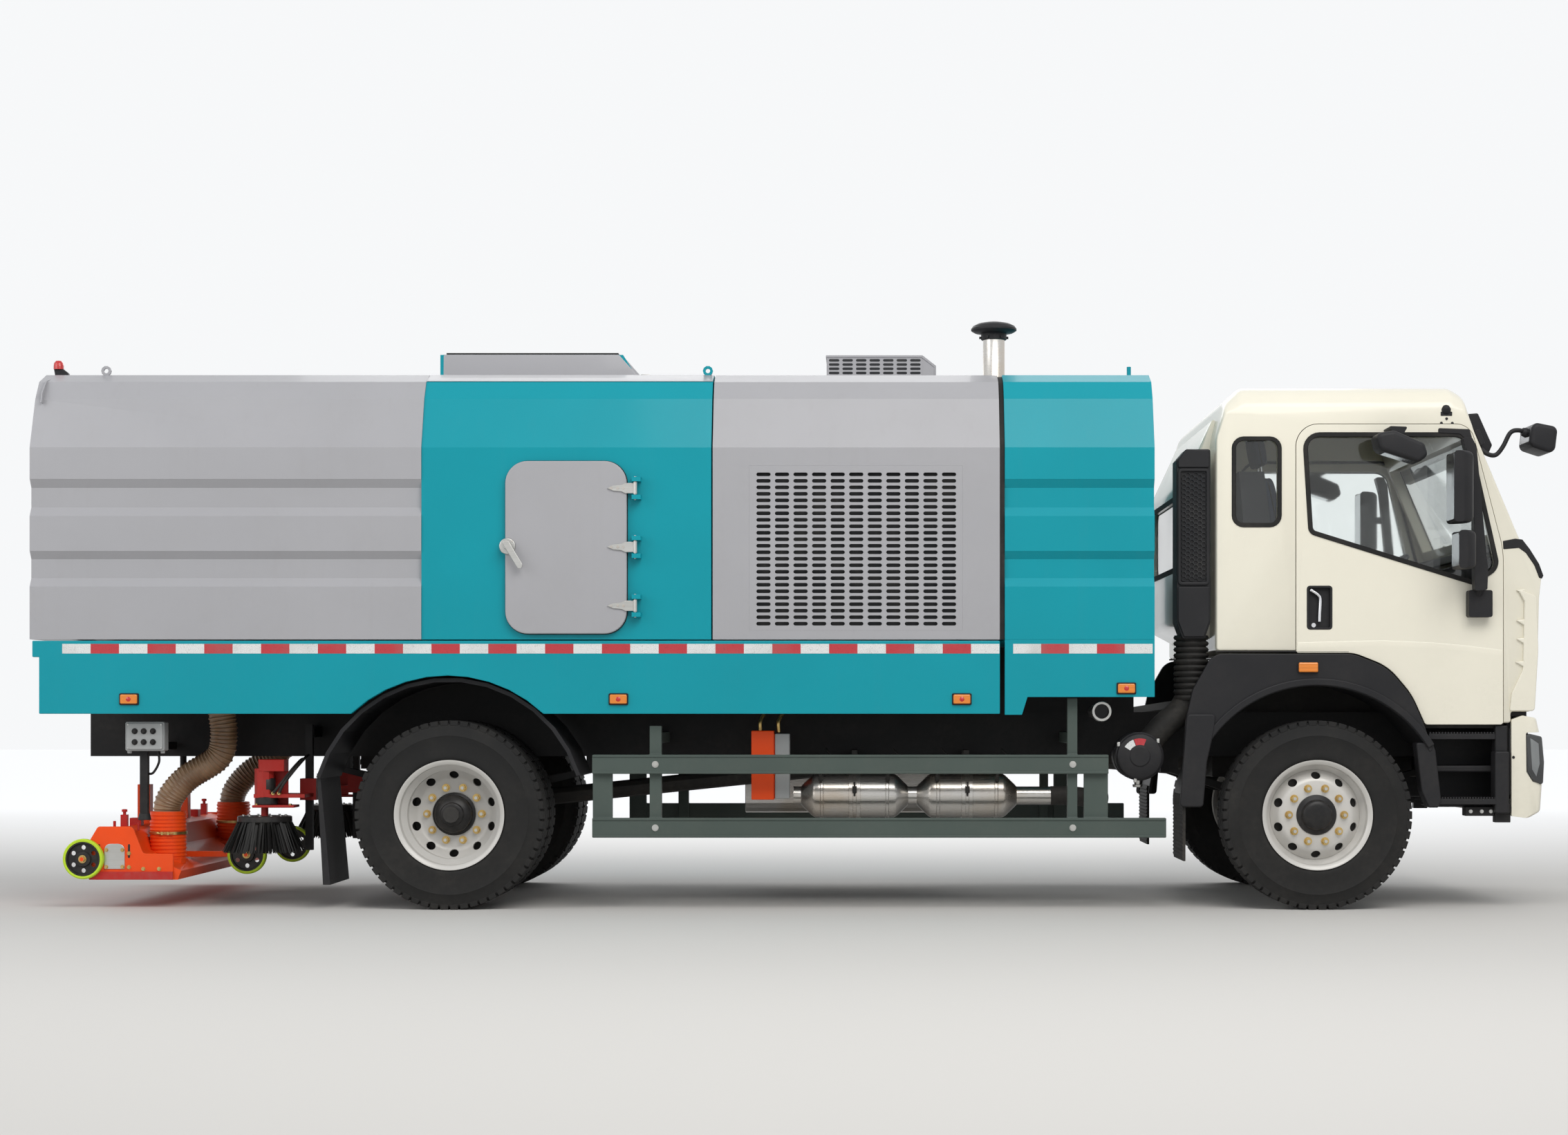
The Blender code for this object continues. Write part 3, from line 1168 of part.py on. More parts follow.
def suction_nozzle():
    """The full-width nozzle box with its sloping deck, hose cuffs and wheel arms."""
    profile = [
        (NOZZLE_REAR, NOZZLE_BOTTOM),
        (NOZZLE_FRONT, NOZZLE_BOTTOM),
        (NOZZLE_FRONT + 0.02, NOZZLE_BOTTOM + 0.05),
        (-3.58, NOZZLE_DECK + 0.02),
        (-3.62, 0.42),
        (-3.70, 0.44),
        (-3.80, 0.40),
        (NOZZLE_REAR, 0.30),
    ]
    shell = slab("y", (-NOZZLE_HALF_WIDTH, NOZZLE_HALF_WIDTH), profile)
    inside = [
        (NOZZLE_REAR + 0.012, 0.1),
        (NOZZLE_FRONT - 0.012, 0.1),
        (NOZZLE_FRONT - 0.012, NOZZLE_BOTTOM + 0.03),
        (-3.60, NOZZLE_DECK),
        (-3.80, NOZZLE_DECK),
        (NOZZLE_REAR + 0.012, 0.25),
    ]
    shell = joined([shell], [slab("y", (-NOZZLE_HALF_WIDTH + 0.012, NOZZLE_HALF_WIDTH - 0.012), inside)])
    adds = [shell]
    cutters = []
    for side in (-1, 1):
        y = side * HOSE_Y
        adds.append(rod((HOSE_FOOT_X, y, NOZZLE_DECK - 0.06), (HOSE_FOOT_X, y, CUFF_TOP), CUFF_RADIUS + 0.01, sides=12))
        cutters.append(rod((HOSE_FOOT_X, y, 0.1), (HOSE_FOOT_X, y, CUFF_TOP + 0.1), CUFF_RADIUS, sides=12))
        for wheel_x, wheel_y, root_x in NOZZLE_WHEELS:
            hub_y = side * wheel_y
            arm = sided(side, wheel_y - 0.06, wheel_y - 0.04)
            low, high = sorted((wheel_x, root_x))
            adds.append(box((low - 0.02, high + 0.02), arm, (NOZZLE_WHEEL_Z - 0.016, NOZZLE_WHEEL_Z + 0.016)))
            start = (wheel_x, side * (wheel_y - 0.05), NOZZLE_WHEEL_Z)
            adds.append(rod(start, (wheel_x, side * (wheel_y + 0.045), NOZZLE_WHEEL_Z), 0.012, sides=8))
        guide_x, guide_y = NOZZLE_GUIDE[0], side * NOZZLE_GUIDE[1]
        adds.append(box((guide_x - 0.035, guide_x + 0.035), sided(side, NOZZLE_GUIDE[1] - 0.035, NOZZLE_GUIDE[1] + 0.035), (0.40, 0.66)))
        cutters.append(rod((guide_x, guide_y, 0.455), (guide_x, guide_y, 0.8), GUIDE_RADIUS + PIN_FIT, sides=12))
    return built("suction_nozzle", "orange", adds, cutters, (NOZZLE_FRONT, 0, NOZZLE_BOTTOM))


NOZZLE_WHEEL_Z = 0.27
NOZZLE_WHEELS = (
    # wheel X, distance of its plane from the centre, X where its arm meets the nozzle
    (-3.885, NOZZLE_HALF_WIDTH + 0.022, NOZZLE_REAR + 0.02),
    (-3.10, 0.60, -3.55),
)


def nozzle_wheel(name, x, distance, side):
    centre = (x, side * distance, NOZZLE_WHEEL_Z)
    radius = NOZZLE_WHEEL_RADIUS
    profile = [(0.013, -0.006), (0.075, -0.010), (radius, -0.012), (radius, 0.024), (0.075, 0.022), (0.013, 0.032)]
    return built(f"nozzle_wheel_{name}", "lime", [turned(profile, centre, side=side, sides=14)], origin=centre)


def suction_hose(name, side):
    return built(f"suction_hose_{name}", "hose", [tube(hose_route(side), HOSE_RADIUS, 2)])


def control_box():
    """The gray switch box on its post behind the right wheel."""
    adds = [box((-3.638, -3.426), (-1.16, -1.06), (0.855, 1.02))]
    adds.append(box((POST_X - 0.015, POST_X + 0.015), (-1.10, -1.075), (0.483, 0.86)))
    adds.append(box((POST_X - 0.02, POST_X + 0.02), (-1.09, -RAIL_FACE), (0.86, 0.90)))
    for x in (-3.60, -3.532, -3.464):
        for z in (0.90, 0.975):
            adds.append(rod((x, -1.15, z), (x, -1.172, z), 0.014, sides=8))
    return built("control_box", "gray", adds)


BRUSH_Z = 0.50
CARRIAGE_TOP = 0.81


def brush_carriage(name, side):
    """The red bracket that slides on the post and holds the brush's motor."""
    x, y = BRUSH_CENTRE[0], side * BRUSH_CENTRE[1]
    post_x = BRUSH_CENTRE[0] + BRUSH_POST_REACH
    near, far = BRUSH_POST_Y - 0.045, BRUSH_POST_Y + 0.045
    collar = box((post_x - 0.045, post_x + 0.045), sided(side, near, far), (0.58, 0.70))
    slot = box((post_x - 0.0205, post_x + 0.0205), sided(side, near + 0.0245, far - 0.0245), (0.3, 1.2))
    adds = [joined([collar], [slot])]
    adds.append(box((x - 0.05, post_x + 0.03), sided(side, BRUSH_POST_Y + 0.03, BRUSH_CENTRE[1] + 0.05), (0.60, 0.62)))
    adds.append(rod((x, y, 0.56), (x, y, 0.76), 0.055))
    adds.append(rod((x, y, 0.76), (x, y, CARRIAGE_TOP), 0.035))
    adds.append(rod((x, y, BRUSH_Z - 0.03), (x, y, 0.57), 0.02, sides=12))
    return built(f"brush_carriage_{name}", "orange", adds, origin=(x, y, BRUSH_Z))


def side_brush(name, side):
    """The brush disc and its flared ring of bristles."""
    x, y = BRUSH_CENTRE[0], side * BRUSH_CENTRE[1]
    profile = [(0.021, 0.0), (0.145, 0.0), (0.15, -0.02), (0.20, -0.13), (BRUSH_RADIUS, -0.20), (0.15, -0.20)]
    profile += [(0.12, -0.05), (0.021, -0.05)]
    body = turned(profile, (x, y, BRUSH_Z), "z", sides=24)
    return built(f"side_brush_{name}", "black", [body], origin=(x, y, BRUSH_Z))


def cylinder_line():
    """Base pin, eye pin, unit direction and length of the tipping cylinder at rest."""
    base = Vector((CYLINDER_BASE[0], 0, CYLINDER_BASE[1]))
    eye = Vector((CYLINDER_EYE[0], 0, CYLINDER_EYE[1]))
    return base, eye, (eye - base).normalized(), (eye - base).length


ROD_RADIUS = 0.035
ROD_EXPOSED = 0.10


def tipping_barrel():
    base, eye, line, length = cylinder_line()
    end = base + line * (length - ROD_EXPOSED)
    start = base + line * 0.07
    adds = [rod(start, end, CYLINDER_RADIUS)]
    adds.append(rod(base, start + line * 0.02, 0.04))
    adds.append(rod(base - Vector((0, EYE_WIDTH, 0)), base + Vector((0, EYE_WIDTH, 0)), 0.045))
    cutters = [rod(base - Vector((0, 0.2, 0)), base + Vector((0, 0.2, 0)), 0.018 + PIN_FIT, sides=12)]
    cutters.append(rod(base + line * 0.12, eye + line, ROD_RADIUS + PIN_FIT))
    return built("tipping_barrel", "black", adds, cutters, tuple(base))


def tipping_rod():
    base, eye, line, length = cylinder_line()
    adds = [rod(base + line * 0.13, eye, ROD_RADIUS)]
    adds.append(rod(eye - Vector((0, EYE_WIDTH, 0)), eye + Vector((0, EYE_WIDTH, 0)), 0.045))
    return built("tipping_rod", "steel", adds, origin=tuple(eye))


def build_truck():
    chassis_frame()
    front_axle()
    rear_axle()
    main_engine()
    for name, side in SIDES:
        knuckle(name, side)
        tyre(f"front_tyre_{name}", FRONT_AXLE_X, side, OUTER_WHEEL_Y)
        front_rim(name, side)
        tyre(f"rear_tyre_outer_{name}", REAR_AXLE_X, side, OUTER_WHEEL_Y)
        tyre(f"rear_tyre_inner_{name}", REAR_AXLE_X, side, OUTER_WHEEL_Y - TWIN_SPACING)
        rear_rim(name, side)
        sill(name, side)
        rear_mudguard(name, side)
        side_guard(name, side)
        side_grille(name, side)
        front_fender(name, side)
        cab_door(name, side)
        door_mirrors(name, side)
        suction_hose(name, side)
        for place, (x, distance, _) in zip(("rear", "front"), NOZZLE_WHEELS):
            nozzle_wheel(f"{place}_{name}", x, distance, side)
        brush_carriage(name, side)
        side_brush(name, side)
    for make in (
        exhaust_canisters,
        fuel_tank,
        valve_box,
        air_intake,
        hopper_rear_shell,
        hopper_front_shell,
        rear_door,
        service_door,
        engine_bay,
        auxiliary_engine,
        exhaust_stack,
        water_box,
        front_bumper,
        cab_shell,
        front_mirror,
        cab_interior,
        suction_nozzle,
        control_box,
        tipping_barrel,
        tipping_rod,
    ):
        make()


build_truck()
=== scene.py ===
# %% [markdown]
# # Wash-and-sweep truck
# This lesson dresses a truck that sweeps and vacuums streets. Its solid parts come in as plain
# nodes, each on a body that can move; here they get paint, rubber, glass, seams and small parts.
# Everything is in metres, +X points forwards, +Y to the left and +Z up, and each new piece is
# built where it sits, so its object stays at the origin.

# %% Tools and the loaded frame
import math

import bmesh
import bpy
from mathutils import Matrix, Vector

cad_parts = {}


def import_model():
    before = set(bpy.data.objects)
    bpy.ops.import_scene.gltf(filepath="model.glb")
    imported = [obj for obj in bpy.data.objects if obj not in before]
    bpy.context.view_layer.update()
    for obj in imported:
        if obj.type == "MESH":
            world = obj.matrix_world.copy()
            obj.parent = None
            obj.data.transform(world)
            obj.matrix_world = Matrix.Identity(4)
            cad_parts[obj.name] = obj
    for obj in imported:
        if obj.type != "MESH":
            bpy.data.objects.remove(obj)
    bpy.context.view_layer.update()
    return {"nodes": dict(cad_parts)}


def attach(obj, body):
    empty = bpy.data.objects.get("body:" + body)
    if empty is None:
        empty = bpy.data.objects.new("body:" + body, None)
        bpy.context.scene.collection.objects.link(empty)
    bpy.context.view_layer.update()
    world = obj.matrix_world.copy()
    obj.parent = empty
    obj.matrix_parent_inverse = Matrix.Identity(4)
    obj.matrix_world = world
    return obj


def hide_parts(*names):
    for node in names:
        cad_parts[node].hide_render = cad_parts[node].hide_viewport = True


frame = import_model()
print("nodes:", len(frame["nodes"]))

# %% Main sizes
SIDES = (("r", -1), ("l", 1))
REAR_AXLE_X = -1.877
FRONT_AXLE_X = 2.823
TYRE_RADIUS = 0.5125
WHEEL_Y = 1.058
TWIN_SPACING = 0.312
BODY_HALF_WIDTH = 1.25
FLAT_SKIN_Y = 1.242
CAB_HALF_WIDTH = 1.13
print("wheelbase:", round(FRONT_AXLE_X - REAR_AXLE_X, 3), "m")

# %% [markdown]
# ## Camera
# The view is level and square to the truck's right side, as a long lens gives it from sixteen
# metres. A tilted camera would make the uprights lean together. So the camera stays level, and
# its lens is shifted up and back instead, as an architect's camera does, which keeps every
# upright straight.

# %% The level side view
def camera():
    """The photograph's level view along +Y, with the frame shifted up and back."""
    data = bpy.data.cameras.new("camera")
    data.lens = 61.98
    data.sensor_width = 36
    data.shift_x = -0.0498
    data.shift_y = 0.0917
    data.clip_end = 200
    obj = bpy.data.objects.new("camera", data)
    obj.location = (0.358, -15.79, 1.075)
    obj.rotation_euler = (math.radians(90), 0, 0)
    bpy.context.scene.collection.objects.link(obj)
    bpy.context.scene.camera = obj


camera()
print("camera:", tuple(bpy.context.scene.camera.location))

# %% [markdown]
# ## Lamps
# Outdoors on a bright overcast day the light comes from nearly everywhere, a little more from
# above and in front. Three large rectangular lamps stand in for it: a warm one high at the near
# side, a weak one from the rear, and one behind for the roof's edge. Large lamps give soft
# shadows, and small ones would draw hard lines on the panels.

# %% Three soft lamps
def lamp(name, location, target, size, power, colour=(1, 1, 1)):
    """A rectangular lamp at one place that shines at another."""
    data = bpy.data.lights.new(name, "AREA")
    data.shape = "RECTANGLE"
    data.size, data.size_y = size
    data.energy = power
    data.color = colour
    obj = bpy.data.objects.new(name, data)
    obj.location = location
    obj.rotation_euler = (Vector(target) - Vector(location)).to_track_quat("-Z", "Y").to_euler()
    bpy.context.scene.collection.objects.link(obj)


lamp("key", (3.0, -9.0, 9.0), (0, 0, 1.2), (9, 6), 780, (1.0, 0.98, 0.95))
lamp("fill", (-8.0, -6.0, 5.0), (-1, 0, 1.0), (6, 6), 200)
lamp("back", (0.0, 9.0, 8.0), (0, 0, 1.5), (10, 6), 320)
bpy.context.scene.view_settings.view_transform = "Standard"

# %% [markdown]
# ## Sky
# The sky is bluish and lights from all round, while the background that is seen should be a clean
# pale white. One strength can't do both. Light Path tells the rays apart: camera, glossy and
# transmission rays get the white, so paint, metal and glass show it too, and every other ray gets
# the weaker sky that lights the truck.

# %% White behind, pale blue for the light
def world():
    """A pale sky that lights evenly, and shows white to the camera and in glass."""
    data = bpy.data.worlds.new("studio")
    bpy.context.scene.world = data
    data.use_nodes = True
    nodes, links = data.node_tree.nodes, data.node_tree.links
    nodes.clear()
    out = nodes.new("ShaderNodeOutputWorld")
    mix = nodes.new("ShaderNodeMixShader")
    light = nodes.new("ShaderNodeBackground")
    light.inputs["Color"].default_value = (0.93, 0.96, 1.0, 1)
    light.inputs["Strength"].default_value = 0.56
    seen = nodes.new("ShaderNodeBackground")
    seen.inputs["Color"].default_value = (0.93, 0.94, 0.95, 1)
    seen.inputs["Strength"].default_value = 1.0
    rays = nodes.new("ShaderNodeLightPath")
    seen_by = rays.outputs["Is Camera Ray"]
    for other in ("Is Glossy Ray", "Is Transmission Ray"):
        either = nodes.new("ShaderNodeMath")
        either.operation = "MAXIMUM"
        links.new(seen_by, either.inputs[0])
        links.new(rays.outputs[other], either.inputs[1])
        seen_by = either.outputs[0]
    links.new(seen_by, mix.inputs["Fac"])
    links.new(light.outputs[0], mix.inputs[1])
    links.new(seen.outputs[0], mix.inputs[2])
    links.new(mix.outputs[0], out.inputs["Surface"])


world()
print("world:", bpy.context.scene.world.name)

# %% [markdown]
# ## Nodes in few words
# A finish is a small net of shader nodes. Written out one by one it is long, and the idea gets
# lost. These helpers add a node, lay a noise over the object's own coordinates, stretch a range
# and blend two colours, so that each finish below reads as a list of what it is made of. The
# noise uses Object coordinates, which stay put when the part moves.

# %% Adding and joining nodes
def node_maker(material):
    """Short forms for adding and joining nodes of a material."""
    tree = material.node_tree

    def add(kind, **settings):
        node = tree.nodes.new("ShaderNode" + kind)
        for key, value in settings.items():
            if hasattr(node, key):
                setattr(node, key, value)
            else:
                node.inputs[key].default_value = value
        return node

    return add, tree.links.new


# %% A bare material
def new_material(name, roughness, metallic=0.0, coat=0.0):
    """A material with the values that don't change over its surface."""
    material = bpy.data.materials.new(name)
    material.use_nodes = True
    shader = material.node_tree.nodes["Principled BSDF"]
    shader.inputs["Roughness"].default_value = roughness
    shader.inputs["Metallic"].default_value = metallic
    shader.inputs["Coat Weight"].default_value = coat
    shader.inputs["Coat Roughness"].default_value = 0.08
    return material, shader


# %% Noise and ranges
def noise(add, link, vector, scale, detail=4.0, stretch=(1, 1, 1)):
    """The value of a noise over the object's own coordinates."""
    mapping = add("Mapping")
    mapping.inputs["Scale"].default_value = stretch
    link(vector, mapping.inputs["Vector"])
    texture = add("TexNoise")
    texture.inputs["Scale"].default_value = scale
    texture.inputs["Detail"].default_value = detail
    link(mapping.outputs[0], texture.inputs["Vector"])
    return texture.outputs["Fac"]


def ramp(add, link, value, low, high, to=(0.0, 1.0)):
    """A value taken from one range to another."""
    node = add("MapRange")
    for key, number in zip(("From Min", "From Max", "To Min", "To Max"), (low, high, *to)):
        node.inputs[key].default_value = number
    link(value, node.inputs["Value"])
    return node.outputs[0]


# %% Sums and blends
def math_node(add, link, operation, first, second):
    """A sum or product of two values, each a number or a socket."""
    node = add("Math")
    node.operation = operation
    node.use_clamp = operation != "MULTIPLY"
    for socket, value in zip(node.inputs, (first, second)):
        if isinstance(value, (int, float)):
            socket.default_value = value
        else:
            link(value, socket)
    return node.outputs[0]


def blended(add, link, factor, first, second):
    """A colour mixed from two, each a tuple or a socket."""
    node = add("Mix")
    node.data_type = "RGBA"
    link(factor, node.inputs["Factor"])
    for socket, value in ((node.inputs[6], first), (node.inputs[7], second)):
        if isinstance(value, tuple):
            socket.default_value = (*value, 1)
        else:
            link(value, socket)
    return node.outputs[2]


# %% [markdown]
# ## Paint, plastic and rubber with road dust
# Nothing on a working truck has one even colour. Paint is slightly mottled, dust settles low down
# and in blotches, rain leaves faint streaks, and the surface has a fine grain. One function makes
# all of these from noises, with numbers for each paint. A picture could hold the same stains, but
# a formula fits every size of part and has no seams.

# %% The recipe
DUST = (0.23, 0.205, 0.175)


def surface(
    name,
    colour,
    roughness=0.4,
    metallic=0.0,
    coat=0.0,
    dust=0.25,
    low=(0.2, 1.3, 0.35),
    streaks=0.0,
    mottle=0.06,
    grain=(180, 0.0006),
):
    """A finish with mottled colour, road dust that gathers low down, rain streaks and a fine grain."""
    material, shader = new_material(name, roughness, metallic, coat)
    shader.inputs["Specular IOR Level"].default_value = 0.22
    add, link = node_maker(material)
    place = add("TexCoord").outputs["Object"]
    tone = ramp(add, link, noise(add, link, place, 1.7, 5), 0.3, 0.7)
    darker = tuple(c * (1 - mottle) for c in colour)
    lighter = tuple(min(1.0, c * (1 + mottle)) for c in colour)
    body = blended(add, link, tone, darker, lighter)
    cloud = ramp(add, link, noise(add, link, place, 4.3, 8), 0.42, 0.72)
    split = add("SeparateXYZ")
    link(place, split.inputs[0])
    height = ramp(add, link, split.outputs[2], low[0], low[1], (low[2], 0.0))
    spread = math_node(add, link, "ADD", math_node(add, link, "MULTIPLY", cloud, dust), height)
    if streaks:
        lines = ramp(add, link, noise(add, link, place, 6, 3, (3, 3, 0.12)), 0.55, 0.75)
        spread = math_node(add, link, "ADD", spread, math_node(add, link, "MULTIPLY", lines, streaks))
    fine = ramp(add, link, noise(add, link, place, 34, 6), 0.3, 0.7, (0.35, 1.0))
    factor = math_node(add, link, "MULTIPLY", spread, fine)
    link(blended(add, link, factor, body, DUST), shader.inputs["Base Color"])
    rough = ramp(add, link, factor, 0.0, 0.6, (roughness, min(0.9, roughness + 0.35)))
    link(rough, shader.inputs["Roughness"])
    bump = add("Bump")
    bump.inputs["Strength"].default_value = 0.35
    bump.inputs["Distance"].default_value = grain[1]
    link(noise(add, link, place, grain[0], 3), bump.inputs["Height"])
    link(bump.outputs[0], shader.inputs["Normal"])
    return material


# %% [markdown]
# ## Shapes from rings
# A rod, a drum, a tyre and a rim are all rings joined by faces. Two forms cover them: rings
# given one by one and skinned, and a closed profile turned about an axis. A turned profile gives
# real steps and lips that catch the light, which a bump in the material can't do at the outline.

# %% Rings and rods
def basis(direction):
    """Two unit vectors across a direction."""
    turn = Vector(direction).normalized().to_track_quat("Z", "Y").to_matrix()
    return turn.col[0], turn.col[1]


def add_rings(shape, rings, closed=False, capped=True):
    """A skin through rings of points, capped at both ends or closed round."""
    made = [[shape.verts.new(point) for point in ring] for ring in rings]
    count = len(made[0])
    pairs = list(zip(made, made[1:])) + ([(made[-1], made[0])] if closed else [])
    for low, high in pairs:
        for i in range(count):
            j = (i + 1) % count
            shape.faces.new((low[i], low[j], high[j], high[i]))
    if capped and not closed:
        shape.faces.new(made[0][::-1])
        shape.faces.new(made[-1])


def circle_at(centre, direction, radius, sides, phase=0.0):
    """Points on a circle square to a direction."""
    across, up = basis(direction)
    centre = Vector(centre)
    turns = [2 * math.pi * i / sides + phase for i in range(sides)]
    return [centre + radius * (math.cos(t) * across + math.sin(t) * up) for t in turns]


def add_rod(shape, start, end, radius, end_radius=None, sides=20):
    """A round rod from one point to another, or a cone where the end radius differs."""
    direction = Vector(end) - Vector(start)
    end_radius = radius if end_radius is None else end_radius
    add_rings(
        shape,
        [circle_at(start, direction, radius, sides), circle_at(end, direction, end_radius, sides)],
    )


# %% A turned profile
def add_lathe(shape, profile, centre, direction, sides=48):
    """A closed (radius, offset) profile turned about an axis; points on the axis become poles."""
    direction = Vector(direction).normalized()
    across, up = basis(direction)
    centre = Vector(centre)
    rows = []
    for radius, offset in profile:
        spot = centre + direction * offset
        if radius < 1e-6:
            rows.append([shape.verts.new(spot)])
            continue
        turns = [2 * math.pi * i / sides for i in range(sides)]
        rows.append(
            [shape.verts.new(spot + radius * (math.cos(t) * across + math.sin(t) * up)) for t in turns]
        )
    for low, high in zip(rows, rows[1:] + ([rows[0]] if profile[0][0] > 1e-6 else [])):
        for i in range(sides):
            j = (i + 1) % sides
            if len(low) == 1 and len(high) == 1:
                continue
            if len(low) == 1:
                shape.faces.new((low[0], high[j], high[i]))
            elif len(high) == 1:
                shape.faces.new((low[i], low[j], high[0]))
            else:
                shape.faces.new((low[i], low[j], high[j], high[i]))


# %% [markdown]
# ## From shape to finished piece
# Each shape becomes an object in the same way: its normals point outwards, sharp corners stay
# sharp by an angle, and it rides on the body that it moves with. Where it stands for a solid of
# the frame, that solid is hidden. Real edges are never knife sharp, so a small bevel can be
# added. The list of pieces lets each step tell what it made.

# %% The list of pieces
MADE = []
SHARP_ANGLE = math.radians(38)


def tell(what):
    """Prints the pieces made since the last call, with their faces."""
    faces = sum(len(obj.data.polygons) for obj in MADE)
    print(f"{what}: {len(MADE)} pieces, {faces} faces")
    MADE.clear()


# %% Soft edges and a home
def soften(obj, width, segments=2):
    """A bevel on the sharp edges."""
    modifier = obj.modifiers.new("edges", "BEVEL")
    modifier.width = width
    modifier.segments = segments
    modifier.limit_method = "ANGLE"
    modifier.angle_limit = SHARP_ANGLE
    modifier.use_clamp_overlap = True
    return modifier


def piece(name, shape, material, body, bevel=0.0, hides=(), segments=2):
    """The finished piece: normals outwards, soft edges, its material, and the body it rides on."""
    bmesh.ops.recalc_face_normals(shape, faces=shape.faces)
    mesh = bpy.data.meshes.new(name)
    shape.to_mesh(mesh)
    shape.free()
    mesh.materials.append(material)
    mesh.shade_smooth()
    mesh.set_sharp_from_angle(angle=SHARP_ANGLE)
    obj = bpy.data.objects.new(name, mesh)
    bpy.context.scene.collection.objects.link(obj)
    if bevel:
        soften(obj, bevel, segments)
    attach(obj, body)
    if hides:
        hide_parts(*hides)
    MADE.append(obj)
    return obj


# %% [markdown]
# ## Trees for what repeats
# A truck has hundreds of equal small things: tread blocks, nuts, slots, bars, strands. A loop
# could copy them, but a Geometry Nodes tree says the pattern once, with its sizes as named
# inputs. The first helper writes such a tree in few lines, and the second sets its inputs, takes
# the result out as a plain mesh and removes the modifier, so that nothing is worked out again
# later.

# %% Writing a tree
def new_tree(name, sizes):
    """A tree with a named input for each size, one geometry output, and a short way to add its nodes."""
    tree = bpy.data.node_groups.new(name, "GeometryNodeTree")
    tree.interface.new_socket("Geometry", in_out="OUTPUT", socket_type="NodeSocketGeometry")
    for label, kind in sizes.items():
        tree.interface.new_socket(label, in_out="INPUT", socket_type="NodeSocket" + kind)
    given = tree.nodes.new("NodeGroupInput").outputs

    def add(kind, sockets=(), **settings):
        node = tree.nodes.new(kind)
        for key, value in settings.items():
            setattr(node, key, value)
        for key, value in dict(sockets).items():
            if isinstance(value, bpy.types.NodeSocket):
                tree.links.new(value, node.inputs[key])
            else:
                node.inputs[key].default_value = value
        return node.outputs

    def join(*parts):
        node = tree.nodes.new("GeometryNodeJoinGeometry")
        for part in parts:
            tree.links.new(part, node.inputs[0])
        return node.outputs[0]

    def close(geometry):
        real = add("GeometryNodeRealizeInstances", {0: geometry})[0]
        painted = add("GeometryNodeSetMaterial", {0: real, "Material": given["Material"]})[0]
        tree.links.new(painted, tree.nodes.new("NodeGroupOutput").inputs[0])
        return tree

    return given, add, join, close


# %% Growing a piece from a tree
def grow(name, tree, body, material, base=None, smooth=38, hides=(), slot=None, **sizes):
    """A tree's result as a plain mesh: inputs set by identifier, and the modifier gone again."""
    obj = bpy.data.objects.new(name, base or bpy.data.meshes.new(name))
    bpy.context.scene.collection.objects.link(obj)
    modifier = obj.modifiers.new("grow", "NODES")
    modifier.node_group = tree
    sizes["Material"] = material
    for socket in tree.interface.items_tree:
        if socket.in_out == "INPUT" and socket.name.replace(" ", "_") in sizes:
            modifier[socket.identifier] = sizes[socket.name.replace(" ", "_")]
    graph = bpy.context.evaluated_depsgraph_get()
    made = bpy.data.meshes.new_from_object(obj.evaluated_get(graph), depsgraph=graph)
    obj.modifiers.remove(modifier)
    obj.data = made
    made.materials.clear()
    made.materials.append(material)
    made.polygons.foreach_set("material_index", [0] * len(made.polygons))
    made.shade_smooth()
    made.set_sharp_from_angle(angle=math.radians(smooth))
    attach(obj, body)
    if hides:
        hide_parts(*hides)
    MADE.append(obj)
    return obj


# %% [markdown]
# ## Tyres
# Each tyre is a regional truck tyre: four grooves round the tread, rounded shoulders with blocks,
# and a sidewall with a rim guard line. Its section is a (radius, offset) list turned about the
# axle, because everything but the blocks is the same all the way round. The shoulder blocks are
# one block repeated by a tree.

# %% Rubber
TYRE = surface(
    "tyre rubber", (0.014, 0.014, 0.014), 0.72, dust=0.05, low=(0.0, 0.9, 0.035), grain=(260, 0.0012),
)
print("finish:", TYRE.name)

# %% The section
TREAD_EDGES = (-0.112, -0.070, -0.060, -0.026, -0.016, 0.016, 0.026, 0.060, 0.070, 0.112)


def tyre_section():
    """(radius, offset) round a truck tyre: ribbed tread, rounded shoulders, sidewalls with a rim guard."""
    tread = []
    for left, right in zip(TREAD_EDGES[::2], TREAD_EDGES[1::2]):
        top = TYRE_RADIUS - (0.011 if abs(left + right) > 0.15 else 0.0)
        tread += [(TYRE_RADIUS - 0.014, left), (top, left + 0.002), (top, right - 0.002)]
        tread.append((TYRE_RADIUS - 0.014, right))
    tread[0] = (TYRE_RADIUS - 0.022, -0.124)
    tread[-1] = (TYRE_RADIUS - 0.022, 0.124)
    left_side = [(0.2865, -0.098), (0.298, -0.118), (0.318, -0.127), (0.335, -0.124), (0.385, -0.1345)]
    left_side += [(0.425, -0.1345), (0.430, -0.137), (0.436, -0.1335), (0.468, -0.129)]
    right_side = [(radius, -offset) for radius, offset in reversed(left_side)]
    return left_side + tread + right_side


print("tyre section:", len(tyre_section()), "points")

